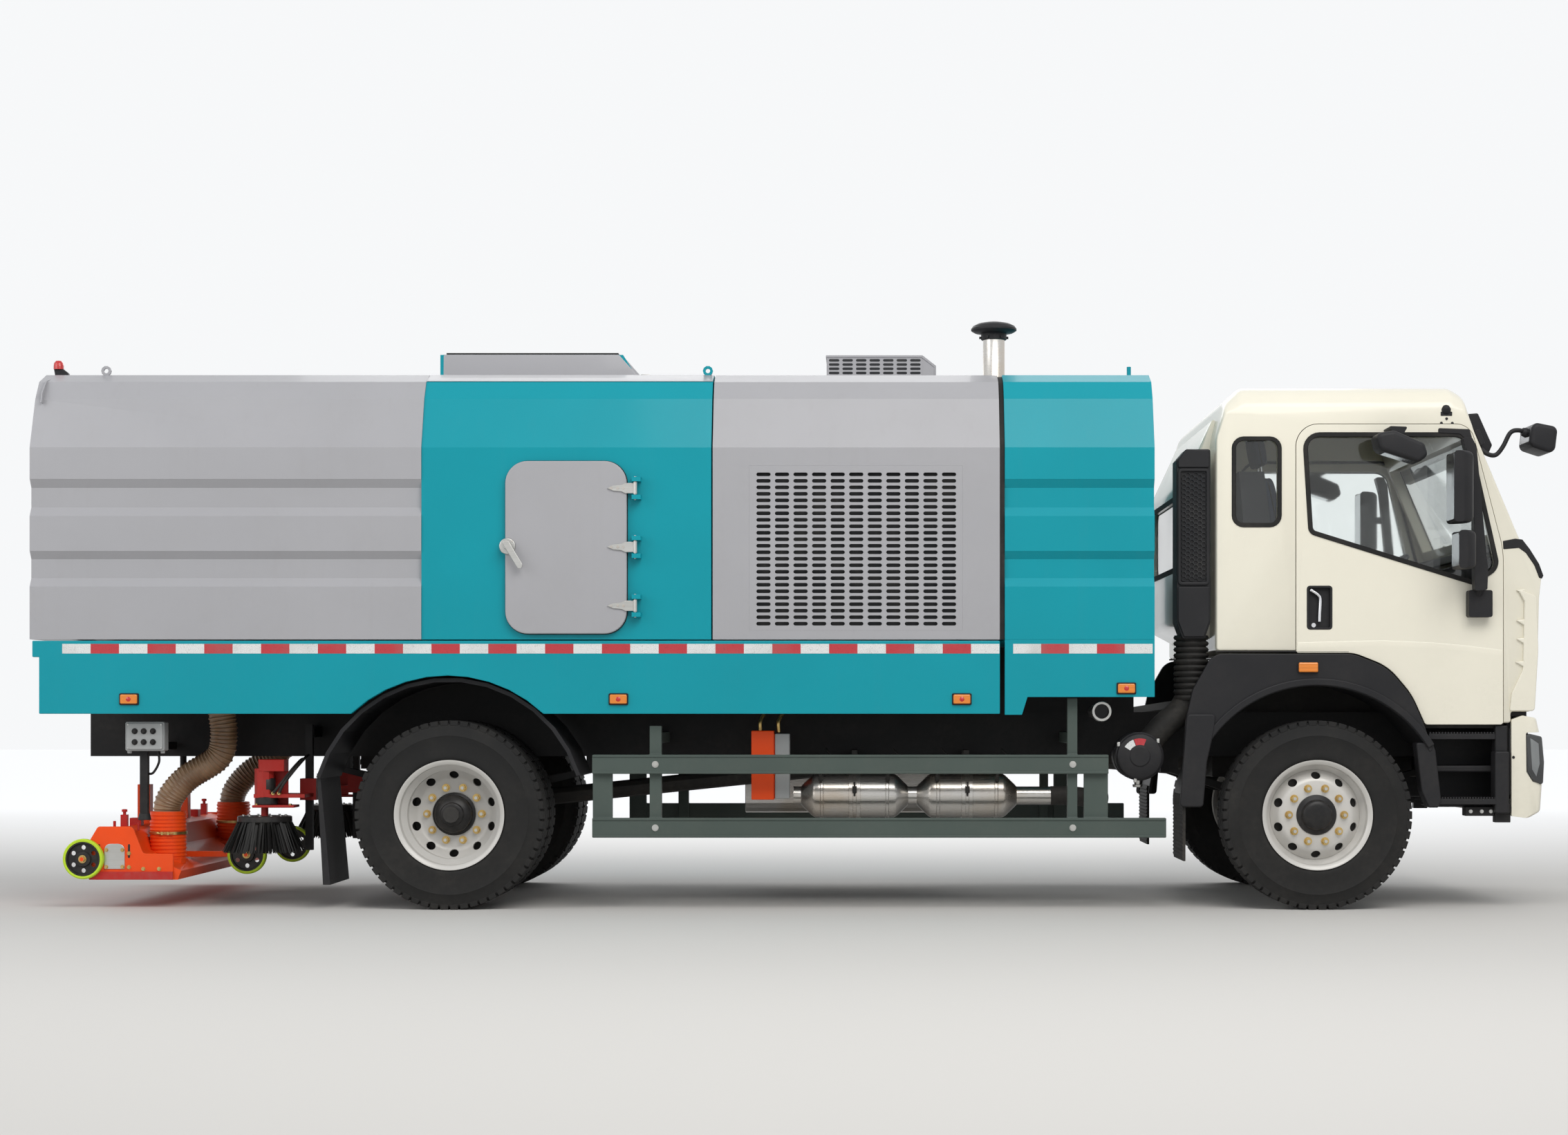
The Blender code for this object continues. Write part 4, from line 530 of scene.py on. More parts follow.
# %% Blocks on the shoulders
def tread_tree():
    """Shoulder blocks in a ring round a tyre, on both of its shoulders."""
    sizes = {"Count": "Int", "Radius": "Float", "Offset": "Float", "Block": "Vector", "Place": "Vector"}
    given, add, join, close = new_tree("tread blocks", {**sizes, "Material": "Material"})
    ring = add("GeometryNodeMeshCircle", {"Vertices": given["Count"], "Radius": given["Radius"]})[0]
    block = add("GeometryNodeMeshCube", {"Size": given["Block"]})[0]
    spot = add("GeometryNodeInputPosition")[0]
    rotation = add("FunctionNodeAlignRotationToVector", {"Vector": spot}, axis="X")[0]
    placed = add(
        "GeometryNodeInstanceOnPoints", {"Points": ring, "Instance": block, "Rotation": rotation},
    )[0]
    sides = []
    for sign in (-1.0, 1.0):
        along = add("ShaderNodeMath", {0: given["Offset"], 1: sign}, operation="MULTIPLY")[0]
        lift = add("ShaderNodeCombineXYZ", {"Z": along})[0]
        sides.append(add("GeometryNodeTransform", {0: placed, "Translation": lift})[0])
    upright = {0: join(*sides), "Translation": given["Place"], "Rotation": (math.radians(90), 0, 0)}
    return close(add("GeometryNodeTransform", upright)[0])


TREAD = tread_tree()
print("tree:", TREAD.name)

# %% One tyre
def tyre(name, x, side, distance, body, node):
    """The tyre's turned body and the blocks on its shoulders."""
    centre = (x, side * distance, TYRE_RADIUS)
    shape = bmesh.new()
    add_lathe(shape, tyre_section(), centre, (0, side, 0), 96)
    piece(name, shape, TYRE, body, hides=(node,))
    sizes = {
        "Count": 58, "Radius": TYRE_RADIUS - 0.0145, "Offset": 0.099, "Block": (0.028, 0.043, 0.055),
    }
    blocks = grow(f"{name}_blocks", TREAD, body, TYRE, slot="tyre", Place=centre, **sizes)
    soften(blocks, 0.003)


# %% All six tyres
def front_tyre(name, side):
    """The single tyre of a steered wheel."""
    body = f"front_wheel_{name}"
    tyre(f"tyre_front_{name}", FRONT_AXLE_X, side, WHEEL_Y, body, f"front_tyre_{name}")


def twin_tyres(name, side):
    """The two tyres of a twin set."""
    body = f"rear_wheels_{name}"
    for place, distance in (("outer", WHEEL_Y), ("inner", WHEEL_Y - TWIN_SPACING)):
        tyre(
            f"tyre_rear_{place}_{name}", REAR_AXLE_X, side, distance, body, f"rear_tyre_{place}_{name}",
        )


for name, side in SIDES:
    front_tyre(name, side)
    twin_tyres(name, side)
tell("tyres")

# %% [markdown]
# ## Rims and discs
# The rim is a deep rolled ring, and the disc is pressed steel with ten round hand holes. Front
# discs bulge outwards to clear the hub, and the same disc turned round makes the rear's deep
# dish. Both are turned profiles. The holes could be left to a dark material, but cut with a
# Boolean they show the brake drum behind and have a real rim.

# %% Rim paint
RIM = surface("rim paint", (0.60, 0.585, 0.555), 0.36, 0.12, coat=0.2, dust=0.10, low=(0.1, 0.9, 0.05))
print("finish:", RIM.name)

# %% Rim sizes
HAND_HOLES = 10
FRONT_DISC_FACE = 0.085
REAR_DISC_FACE = -0.075
print("the faces lie", FRONT_DISC_FACE, "and", REAR_DISC_FACE, "m from the rim's middle")

# %% The rolled rim
def rim_ring(shape, centre, side, shift=0.0):
    """The rim's closed section turned about the axle."""
    barrel = [(0.2990, -0.123), (0.2855, -0.106), (0.2855, -0.050), (0.2560, -0.022), (0.2560, 0.022)]
    barrel += [
        (0.2855, 0.050), (0.2855, 0.106), (0.2990, 0.123), (0.2985, 0.127), (0.2905, 0.126),
        (0.2740, 0.110),
    ]
    barrel += [
        (0.2715, 0.060), (0.2430, 0.028), (0.2430, -0.028), (0.2715, -0.060), (0.2740, -0.110),
        (0.2905, -0.126),
    ]
    add_lathe(shape, [(r, y + shift) for r, y in barrel], centre, (0, side, 0), 96)


# %% The pressed disc
def disc_section(face, bulge):
    """The disc from the rim to the bolt face, curved as pressed steel."""
    gauge = 0.013
    front = [
        (0.2440, face - bulge * 0.62), (0.2280, face - bulge * 0.44), (0.2080, face - bulge * 0.16),
    ]
    front += [(0.1930, face - bulge * 0.04), (0.1800, face), (0.1080, face)]
    return front + [(radius, offset - gauge) for radius, offset in reversed(front)]


def hand_hole_cutter(centre, side, face, bulge):
    """Leaning rods that cut the round hand holes."""
    shape = bmesh.new()
    for i in range(HAND_HOLES):
        turn = 2 * math.pi * (i + 0.5) / HAND_HOLES
        out = Vector((math.cos(turn), 0, math.sin(turn)))
        spot = Vector(centre) + out * 0.214 + Vector((0, side * (face - bulge * 0.3), 0))
        lean = (Vector((0, side, 0)) + out * (0.35 if bulge > 0 else -0.35)).normalized()
        add_rod(shape, spot - lean * 0.045, spot + lean * 0.045, 0.0255, sides=20)
    return shape


# %% Cutting one shape with another
def cut(obj, shape):
    """Takes a cutter's volume out of the object at once, so no modifier is left."""
    bmesh.ops.recalc_face_normals(shape, faces=shape.faces)
    mesh = bpy.data.meshes.new("cutter")
    shape.to_mesh(mesh)
    shape.free()
    tool = bpy.data.objects.new("cutter", mesh)
    bpy.context.scene.collection.objects.link(tool)
    modifier = obj.modifiers.new("cut", "BOOLEAN")
    modifier.operation = "DIFFERENCE"
    modifier.solver = "EXACT"
    modifier.object = tool
    graph = bpy.context.evaluated_depsgraph_get()
    made = bpy.data.meshes.new_from_object(obj.evaluated_get(graph), depsgraph=graph)
    obj.modifiers.remove(modifier)
    obj.data = made
    bpy.data.objects.remove(tool)
    made.shade_smooth()
    made.set_sharp_from_angle(angle=SHARP_ANGLE)


# %% Front rims
def front_rim(name, side):
    """The rim and the disc that bulges outwards, with its hand holes."""
    body = f"front_wheel_{name}"
    centre = (FRONT_AXLE_X, side * WHEEL_Y, TYRE_RADIUS)
    ring = bmesh.new()
    rim_ring(ring, centre, side)
    piece(f"rim_front_{name}", ring, RIM, body, hides=(f"front_rim_{name}",))
    disc = bmesh.new()
    add_lathe(disc, disc_section(FRONT_DISC_FACE, FRONT_DISC_FACE), centre, (0, side, 0), 96)
    plate = piece(f"disc_front_{name}", disc, RIM, body)
    cut(plate, hand_hole_cutter(centre, side, FRONT_DISC_FACE, FRONT_DISC_FACE))


for name, side in SIDES:
    front_rim(name, side)
tell("front rims")

# %% Rear rims
def twin_rim(name, side):
    """The two rims of a twin set and the dished disc, with its hand holes."""
    body = f"rear_wheels_{name}"
    centre = (REAR_AXLE_X, side * WHEEL_Y, TYRE_RADIUS)
    ring = bmesh.new()
    rim_ring(ring, centre, side)
    rim_ring(ring, centre, side, -TWIN_SPACING)
    piece(f"rim_rear_{name}", ring, RIM, body, hides=(f"rear_rim_{name}",))
    disc = bmesh.new()
    add_lathe(disc, disc_section(REAR_DISC_FACE, REAR_DISC_FACE), centre, (0, side, 0), 96)
    plate = piece(f"disc_rear_{name}", disc, RIM, body)
    cut(plate, hand_hole_cutter(centre, side, REAR_DISC_FACE, REAR_DISC_FACE))


for name, side in SIDES:
    twin_rim(name, side)
tell("rear rims")

# %% [markdown]
# ## Brushed and plated metal
# Nuts, clamps, pipes and the polished rod are bare or plated metal. Such metal is darker and
# yellower where it got warm, and has lines along the way it was drawn or turned. The recipe
# blends a tint in patches and stretches a noise along one axis for both the lines and the
# roughness.

# %% The recipe
def brushed(name, colour, roughness=0.28, tint=(0.50, 0.36, 0.22), along=(1, 60, 60)):
    """Brushed metal with lines along one axis and patches of heat tint."""
    material, shader = new_material(name, roughness, 1.0)
    add, link = node_maker(material)
    place = add("TexCoord").outputs["Object"]
    patch = ramp(add, link, noise(add, link, place, 3.1, 4), 0.45, 0.8, (0.0, 0.75))
    lines = noise(add, link, place, 9, 2, along)
    base = blended(add, link, ramp(add, link, lines, 0.3, 0.7), tuple(c * 0.86 for c in colour), colour)
    link(blended(add, link, patch, base, tint), shader.inputs["Base Color"])
    link(
        ramp(add, link, lines, 0.2, 0.8, (roughness - 0.08, roughness + 0.12)),
        shader.inputs["Roughness"],
    )
    bump = add("Bump")
    bump.inputs["Strength"].default_value = 0.2
    bump.inputs["Distance"].default_value = 0.0004
    link(lines, bump.inputs["Height"])
    link(bump.outputs[0], shader.inputs["Normal"])
    return material


# %% Metals for small parts
ZINC = brushed("zinc fasteners", (0.58, 0.58, 0.56), 0.34, (0.44, 0.42, 0.38))
BRASS = brushed("brass-tone nuts", (0.62, 0.44, 0.17), 0.32, (0.40, 0.26, 0.10))
print("finishes:", [finish.name for finish in (ZINC, BRASS)])

# %% [markdown]
# ## Wheel nuts, hubs and drums
# Ten brass-coloured nuts hold each disc, with the stud's end in the middle of each. The front hub
# has a stepped black cap, the rear one the axle's flange. All nuts are a washer and a head,
# repeated at given points by one tree, which also makes every other bolt of the truck.

# %% Cast iron and black caps
CAST = surface(
    "cast metal", (0.035, 0.034, 0.033), 0.6, 0.3, dust=0.16, low=(0.1, 1.2, 0.10), grain=(140, 0.002),
)
# Black plastic for caps, buttons and hubs, also used as painted shade in the filler tube's mouth
CAP_AND_SHADE = surface("hub cap plastic", (0.012, 0.012, 0.013), 0.30, dust=0.12, low=(0.1, 0.8, 0.12))
print("finishes:", [finish.name for finish in (CAST, CAP_AND_SHADE)])

# %% The fastener tree
def fastener_tree():
    """A washer and a head at every point of the given mesh."""
    sizes = {
        "Points": "Geometry", "Sides": "Int", "Radius": "Float", "Height": "Float", "Turn": "Vector",
    }
    given, add, join, close = new_tree("fasteners", {**sizes, "Material": "Material"})
    lift = add(
        "ShaderNodeCombineXYZ",
        {"Z": add("ShaderNodeMath", {0: given["Height"], 1: 0.5}, operation="MULTIPLY")[0]},
    )
    sides = {"Vertices": given["Sides"], "Radius": given["Radius"], "Depth": given["Height"]}
    head = add(
        "GeometryNodeTransform", {0: add("GeometryNodeMeshCylinder", sides)[0], "Translation": lift[0]},
    )[0]
    wide = add("ShaderNodeMath", {0: given["Radius"], 1: 1.3}, operation="MULTIPLY")[0]
    thin = add("ShaderNodeMath", {0: given["Height"], 1: 0.3}, operation="MULTIPLY")[0]
    washer = add("GeometryNodeMeshCylinder", {"Vertices": 20, "Radius": wide, "Depth": thin})[0]
    spots = {"Points": given["Points"], "Instance": join(head, washer), "Rotation": given["Turn"]}
    return close(add("GeometryNodeInstanceOnPoints", spots)[0])


FASTENERS = fastener_tree()
print("tree:", FASTENERS.name)

# %% Heads at given spots
def spots_mesh(name, spots, edges=()):
    """A mesh of points, with edges when they make a path."""
    mesh = bpy.data.meshes.new(name)
    mesh.from_pydata([tuple(spot) for spot in spots], edges, [])
    return mesh


def bolts(name, spots, axis, body, material, radius=0.012, height=0.008, sides=6):
    """Heads at the given spots; the axis is a letter with a sign."""
    turn = {
        "+x": (0, 90, 0), "-x": (0, -90, 0), "+y": (-90, 0, 0), "-y": (90, 0, 0), "+z": (0, 0, 0),
    }[axis]
    angles = [math.radians(a) for a in turn]
    base = spots_mesh(name, spots)
    return grow(
        name, FASTENERS, body, material, base, Sides=sides, Radius=radius, Height=height, Turn=angles,
    )


# %% Nuts and drums
NUT_CIRCLE_RADIUS = 0.150
WHEEL_NUTS = 10


def nut_ring(name, centre, side, face, body):
    """Ten wheel nuts on their studs."""
    spots = circle_at(
        Vector(centre) + Vector((0, side * face, 0)), (0, side, 0), NUT_CIRCLE_RADIUS, WHEEL_NUTS,
    )
    axis = "+y" if side > 0 else "-y"
    bolts(f"wheel_nuts_{name}", spots, axis, body, BRASS, 0.017, 0.024)
    bolts(f"wheel_studs_{name}", spots, axis, body, ZINC, 0.009, 0.036, 12)


def brake_drum(name, centre, side, face, body):
    """The dark drum that shows through the hand holes."""
    shape = bmesh.new()
    profile = [
        (0.0, face), (0.230, face), (0.238, face - 0.008), (0.238, face - 0.05), (0.0, face - 0.05),
    ]
    add_lathe(shape, profile, centre, (0, side, 0), 64)
    piece(f"brake_drum_{name}", shape, CAST, body)


# %% Front hubs
def front_hub(name, side):
    """The nuts, the stepped hub cap and the drum behind."""
    body = f"front_wheel_{name}"
    centre = (FRONT_AXLE_X, side * WHEEL_Y, TYRE_RADIUS)
    nut_ring(f"front_{name}", centre, side, FRONT_DISC_FACE, body)
    hub = bmesh.new()
    cap = [
        (0, 0.132), (0.050, 0.131), (0.072, 0.127), (0.080, 0.119), (0.084, 0.100), (0.108, 0.092),
        (0.110, 0.084),
    ]
    add_lathe(hub, cap + [(0.110, 0.070), (0, 0.070)], centre, (0, side, 0), 48)
    piece(f"hub_cap_front_{name}", hub, CAP_AND_SHADE, body)
    brake_drum(f"front_{name}", centre, side, 0.02, body)


for name, side in SIDES:
    front_hub(name, side)
tell("front hubs")

# %% Rear hubs
def rear_hub(name, side):
    """The nuts, the axle's end and the drum behind."""
    body = f"rear_wheels_{name}"
    centre = (REAR_AXLE_X, side * WHEEL_Y, TYRE_RADIUS)
    nut_ring(f"rear_{name}", centre, side, REAR_DISC_FACE, body)
    hub = bmesh.new()
    cap = [
        (0, 0.034), (0.046, 0.034), (0.060, 0.028), (0.066, 0.016), (0.092, 0.004), (0.100, -0.006),
        (0.104, -0.050),
    ]
    cap += [(0.118, -0.056), (0.118, -0.084), (0, -0.084)]
    add_lathe(hub, cap, centre, (0, side, 0), 48)
    piece(f"hub_rear_{name}", hub, CAP_AND_SHADE, body)
    brake_drum(f"rear_{name}", centre, side, -0.12, body)


for name, side in SIDES:
    rear_hub(name, side)
tell("rear hubs")

# %% [markdown]
# ## Body and chassis finishes
# The big panels are already right in the frame, so they only need a finish and soft edges. The
# closed body is light gray with teal bands, the frame is black, the guards gray-green and the
# sweeping gear orange-red. The Weld modifier joins a panel's loose triangles on the fly, so that
# the Bevel after it finds real edges, and the panel's own mesh stays as it came.

# %% Body paints
GRAY = surface(
    "gray paint", (0.375, 0.374, 0.392), 0.38, coat=0.15, dust=0.05, low=(1.2, 1.9, 0.04), streaks=0.05,
    mottle=0.022,
)
TEAL = surface(
    "teal paint", (0.0, 0.285, 0.350), 0.40, coat=0.08, dust=0.0, low=(0.9, 1.7, 0.01), streaks=0.012,
    mottle=0.03,
)
BLACK = surface(
    "black plastic", (0.016, 0.016, 0.018), 0.48, dust=0.04, low=(0.1, 1.2, 0.04), grain=(420, 0.0012),
)
FRAME = surface(
    "frame paint", (0.011, 0.011, 0.012), 0.5, dust=0.06, low=(0.1, 1.2, 0.04), grain=(90, 0.001),
)
GUARD = surface("guard paint", (0.070, 0.092, 0.082), 0.42, dust=0.06, low=(0.2, 1.2, 0.03))
ORANGE = surface(
    "orange-red paint", (0.86, 0.075, 0.006), 0.42, coat=0.1, dust=0.03, low=(0.1, 0.9, 0.03),
)
print("finishes:", [finish.name for finish in (GRAY, TEAL, BLACK, FRAME, GUARD, ORANGE)])

# %% Other finishes
TRIM = surface(
    "cab trim", (0.045, 0.046, 0.052), 0.7, dust=0.05, low=(0.5, 1.0, 0.0), grain=(300, 0.0015),
)
MOTOR = surface("motor enamel", (0.42, 0.02, 0.015), 0.4, dust=0.10, low=(0.2, 0.9, 0.08))
STEEL = brushed("stainless", (0.62, 0.60, 0.57))
CHROME = brushed("polished rod", (0.80, 0.80, 0.82), 0.12, (0.6, 0.6, 0.6))
print("finishes:", [finish.name for finish in (TRIM, MOTOR, STEEL, CHROME)])

# %% Dressing a node
def dress(node, material, bevel=0.0, segments=2):
    """A CAD node kept as it is, with its finish and softened edges."""
    obj = frame["nodes"][node]
    obj.data.materials.clear()
    obj.data.materials.append(material)
    if bevel:
        weld = obj.modifiers.new("weld", "WELD")
        weld.merge_threshold = 0.00005
        soften(obj, bevel, segments)
    return obj


# %% Closed body
for node, material, bevel in (
    ("hopper_rear_shell", GRAY, 0.006),
    ("hopper_front_shell", TEAL, 0.0),
    ("rear_door", GRAY, 0.004),
    ("engine_bay", GRAY, 0.0),
    ("water_box", TEAL, 0.006),
    ("sill_r", TEAL, 0.004),
    ("sill_l", TEAL, 0.004),
    ("auxiliary_engine", CAST, 0.01),
):
    dress(node, material, bevel)
print("dressed the closed body")

# %% Chassis
for node, material, bevel in (
    ("chassis_frame", FRAME, 0.0),
    ("front_axle", CAST, 0.004),
    ("rear_axle", CAST, 0.004),
    ("main_engine", CAST, 0.008),
    ("knuckle_r", CAST, 0.003),
    ("knuckle_l", CAST, 0.003),
    ("rear_mudguard_r", BLACK, 0.004),
    ("rear_mudguard_l", BLACK, 0.004),
    ("side_guard_r", GUARD, 0.005),
    ("side_guard_l", GUARD, 0.005),
    ("fuel_tank", STEEL, 0.004),
):
    dress(node, material, bevel)
print("dressed the chassis")

# %% Moving gear
for node, material, bevel in (
    ("valve_box", ORANGE, 0.004),
    ("suction_nozzle", ORANGE, 0.003),
    ("cab_interior", TRIM, 0.01),
    ("tipping_barrel", FRAME, 0.0),
    ("tipping_rod", CHROME, 0.0),
    ("brush_carriage_r", MOTOR, 0.003),
    ("brush_carriage_l", MOTOR, 0.003),
):
    dress(node, material, bevel)
print("dressed the moving gear")

# %% [markdown]
# ## Seal and roof sheet
# A black rubber strip covers the joint between the engine bay and the box before it, and the
# hopper's roof between the shoulders is gray although its sides are teal. Both follow the body's
# section. So the section is written once as (y, z) points, and a thin sheet is lifted off it and
# closed underneath.

# %% Rubber
SEAL = surface("rubber seal", (0.012, 0.012, 0.012), 0.65, dust=0.12, low=(0.2, 1.4, 0.10))
print("finish:", SEAL.name)

# %% The body's section
FLOOR_Z = 1.462
ROOF_Z = 2.935
CREASE_Z = 2.497
HOPPER_SPLIT = -2.017
HOPPER_FRONT = -0.455
BAY_FRONT = 1.10
SHOULDER = ((0.0, CREASE_Z), (0.10, 2.77), (0.17, 2.87), (0.30, ROOF_Z - 0.012))


def section(skin_y, low=FLOOR_Z):
    """The flat-sided body's outside as (y, z), from one foot over the roof to the other."""
    side = [(skin_y, low)] + [(skin_y - inset, z) for inset, z in SHOULDER]
    return side + [(0.0, ROOF_Z)] + [(-y, z) for y, z in reversed(side)]


print("body section:", len(section(FLAT_SKIN_Y)), "points")

# %% A flat outline made deep
def flat_point(axis, u, v, depth):
    """A point from an outline's (u, v) and its depth on the axis."""
    return {"x": (depth, u, v), "y": (u, depth, v), "z": (u, v, depth)}[axis]


def add_prism(shape, outline, axis, span):
    """A flat outline given depth along an axis."""
    low, high = span
    add_rings(
        shape,
        [
            [flat_point(axis, u, v, low) for u, v in outline],
            [flat_point(axis, u, v, high) for u, v in outline],
        ],
    )


# %% A sheet over the section
def skin_over(shape, line, span, out, thickness):
    """A thin sheet over a (y, z) line, lifted off it and closed underneath."""
    middle = Vector((0.0, 1.6))
    lifted = []
    for distance in (out, out + thickness):
        row = []
        for i, point in enumerate(line):
            before = Vector(line[max(i - 1, 0)])
            after = Vector(line[min(i + 1, len(line) - 1)])
            normal = Vector((after.y - before.y, before.x - after.x)).normalized()
            if normal.dot(Vector(point) - middle) < 0:
                normal = -normal
            row.append(Vector(point) + normal * distance)
        lifted.append(row)
    outline = [tuple(p) for p in lifted[1]] + [tuple(p) for p in reversed(lifted[0])]
    add_prism(shape, outline, "x", span)


# %% The joint's seal
def joint_seal(name, span, body, out=0.0008):
    """The black rubber that covers a joint between two parts of the body."""
    shape = bmesh.new()
    skin_over(shape, section(FLAT_SKIN_Y), span, out, 0.003)
    piece(name, shape, SEAL, body)


joint_seal("bay_front_seal", (BAY_FRONT - 0.002, 1.1262), "chassis", -0.012)
tell("seal")

# %% The gray roof sheet
def roof_cover():
    """The gray sheet over the hopper's roof, down to the crease of each shoulder."""
    shape = bmesh.new()
    line = [(FLAT_SKIN_Y - 0.172, 2.873), (FLAT_SKIN_Y - 0.30, ROOF_Z - 0.012), (0.0, ROOF_Z)]
    line += [(-y, z) for y, z in reversed(line[:2])]
    skin_over(shape, line, (HOPPER_SPLIT + 0.001, HOPPER_FRONT - 0.001), 0.0006, 0.0014)
    piece("roof_cover", shape, GRAY, "hopper")


roof_cover()
tell("roof sheet")

# %% [markdown]
# ## Roof hood
# A gray hood with a sloped front covers the hatch in the hopper's roof, and a black seal lies on
# its top. The hood is four rounded outlines skinned from foot to top, because its front leans and
# its other sides stand. The corners are arcs worked out from the corner points, so each radius
# can be changed by one number.

# %% Rounded outlines
def rectangle(u, v):
    """The four corners of a rectangle."""
    return [(u[0], v[0]), (u[1], v[0]), (u[1], v[1]), (u[0], v[1])]


def rounded(corners, radius, steps=5):
    """An outline with each corner made an arc."""
    points = []
    count = len(corners)
    for i, corner in enumerate(corners):
        here = Vector(corner[:2])
        bend = corner[2] if len(corner) > 2 else radius
        before = (Vector(corners[i - 1][:2]) - here).normalized()
        after = (Vector(corners[(i + 1) % count][:2]) - here).normalized()
        half = before.angle(after) / 2
        reach = bend / math.tan(half)
        centre = here + (before + after).normalized() * (bend / math.sin(half))
        first = here + before * reach - centre
        sweep = first.angle_signed(here + after * reach - centre)
        for step in range(steps + 1):
            points.append(tuple(centre + Matrix.Rotation(-sweep * step / steps, 2) @ first))
    return points


print("rounded square:", len(rounded(rectangle((0, 1), (0, 1)), 0.2)), "points")

# %% An outline grown evenly
def moved_out(outline, distance):
    """The outline grown by a distance, whichever way it runs."""
    count = len(outline)
    area = sum(
        outline[i - 1][0] * outline[i][1] - outline[i][0] * outline[i - 1][1]
        for i in range(count)
    )
    distance = distance if area > 0 else -distance
    grown = []
    for i in range(count):
        here = Vector(outline[i])
        before = (here - Vector(outline[i - 1])).normalized()
        after = (Vector(outline[(i + 1) % count]) - here).normalized()
        normal = Vector((before.y + after.y, -before.x - after.x)).normalized()
        grown.append(
            tuple(here + normal * distance / max(0.4, normal.dot(Vector((before.y, -before.x)))))
        )
    return grown


# %% Boxes
def add_faces(shape, points, faces):
    """A shape's points and the faces between them."""
    corners = [shape.verts.new(point) for point in points]
    for face in faces:
        shape.faces.new([corners[i] for i in face])


def add_box(shape, x, y, z):
    """A box between two limits on each axis."""
    points = [(i, j, k) for i in sorted(x) for j in sorted(y) for k in sorted(z)]
    faces = [(0, 1, 3, 2), (4, 6, 7, 5), (0, 4, 5, 1), (2, 3, 7, 6), (0, 2, 6, 4), (1, 5, 7, 3)]
    add_faces(shape, points, faces)


# %% The lid
HOOD_SPAN = (-0.6225, 0.6225)


def hood_lid():
    """The hood's sloped lid and the black seal on top."""
    shape = bmesh.new()
    rear, front = -2.0125, -0.884
    low = rounded(rectangle((rear, front), HOOD_SPAN), 0.03)
    high = rounded(rectangle((rear + 0.001, front - 0.10), HOOD_SPAN), 0.03)
    rings = [
        [(x, y, 2.9365) for x, y in low], [(x, y, 2.96) for x, y in low],
        [(x, y, 3.072) for x, y in high],
    ]
    rings.append([(x * 0.999 - 0.0015, y * 0.996, 3.0795) for x, y in high])
    add_rings(shape, rings)
    piece("roof_hood", shape, GRAY, "hopper", 0.003)
    seal = bmesh.new()
    add_prism(seal, moved_out(high, -0.03), "z", (3.079, 3.092))
    piece("roof_hood_seal", seal, SEAL, "hopper", 0.004)


# %% Catch and hinges
def hood_fittings():
    """The catch in the seal's middle and the two hinges."""
    catch = bmesh.new()
    add_rod(catch, (-1.45, 0, 3.09), (-1.45, 0, 3.115), 0.006)
    add_box(catch, (-1.48, -1.42), (-0.02, 0.02), (3.088, 3.098))
    piece("roof_hood_catch", catch, ZINC, "hopper", 0.002)
    bracket = bmesh.new()
    add_box(bracket, (-0.895, -0.845), (-0.50, -0.46), (2.935, 2.985))
    add_box(bracket, (-0.895, -0.845), (0.46, 0.50), (2.935, 2.985))
    piece("roof_hood_hinges", bracket, ZINC, "hopper", 0.004)


hood_lid()
hood_fittings()
tell("roof hood")

# %% [markdown]
# ## Side grilles and roof vent
# The engine bay breathes through a punched sheet on each side, eleven columns of round-ended
# slots, and through a vent box on its roof. A picture of holes would look flat from the side. The
# tree lays out one cell with its slot, welds the cells to a sheet and makes it thick. A dark
# sheet behind the slots and a dark box under the vent's lid are painted shade for the bay's inside.

# %% Dark mesh, and painted shade behind the openings
# Dark colour for the intake honeycomb, also used as painted shade behind the grille and vent openings
DARK_MESH_AND_SHADE = surface(
    "dark mesh and painted shade", (0.03, 0.032, 0.035), 0.6, 0.4, dust=0.20, low=(0.5, 1.0, 0.0), grain=(600, 0.002),
)
print("finish:", DARK_MESH_AND_SHADE.name)

# %% The end of a sheet's tree
def sheet_end(given, add, join, close, cell, points):
    """One cell on every point, welded to a sheet, made thick, and turned into its place."""
    flat = add("GeometryNodeFillCurve", {"Curve": cell})[0]
    tiles = add("GeometryNodeInstanceOnPoints", {"Points": points, "Instance": flat})[0]
    real = add("GeometryNodeRealizeInstances", {0: tiles})[0]
    sheet = add("GeometryNodeMergeByDistance", {"Geometry": real, "Distance": 0.0001})[0]
    lift = {"Mesh": sheet, "Offset Scale": given["Thickness"], "Individual": False}
    front = add("GeometryNodeExtrudeMesh", lift, mode="FACES")[0]
    both = join(front, add("GeometryNodeFlipFaces", {0: sheet})[0])
    whole = add("GeometryNodeMergeByDistance", {"Geometry": both, "Distance": 0.00005})[0]
    return close(
        add(
            "GeometryNodeTransform",
            {0: whole, "Translation": given["Place"], "Rotation": given["Turn"]},
        )[0]
    )


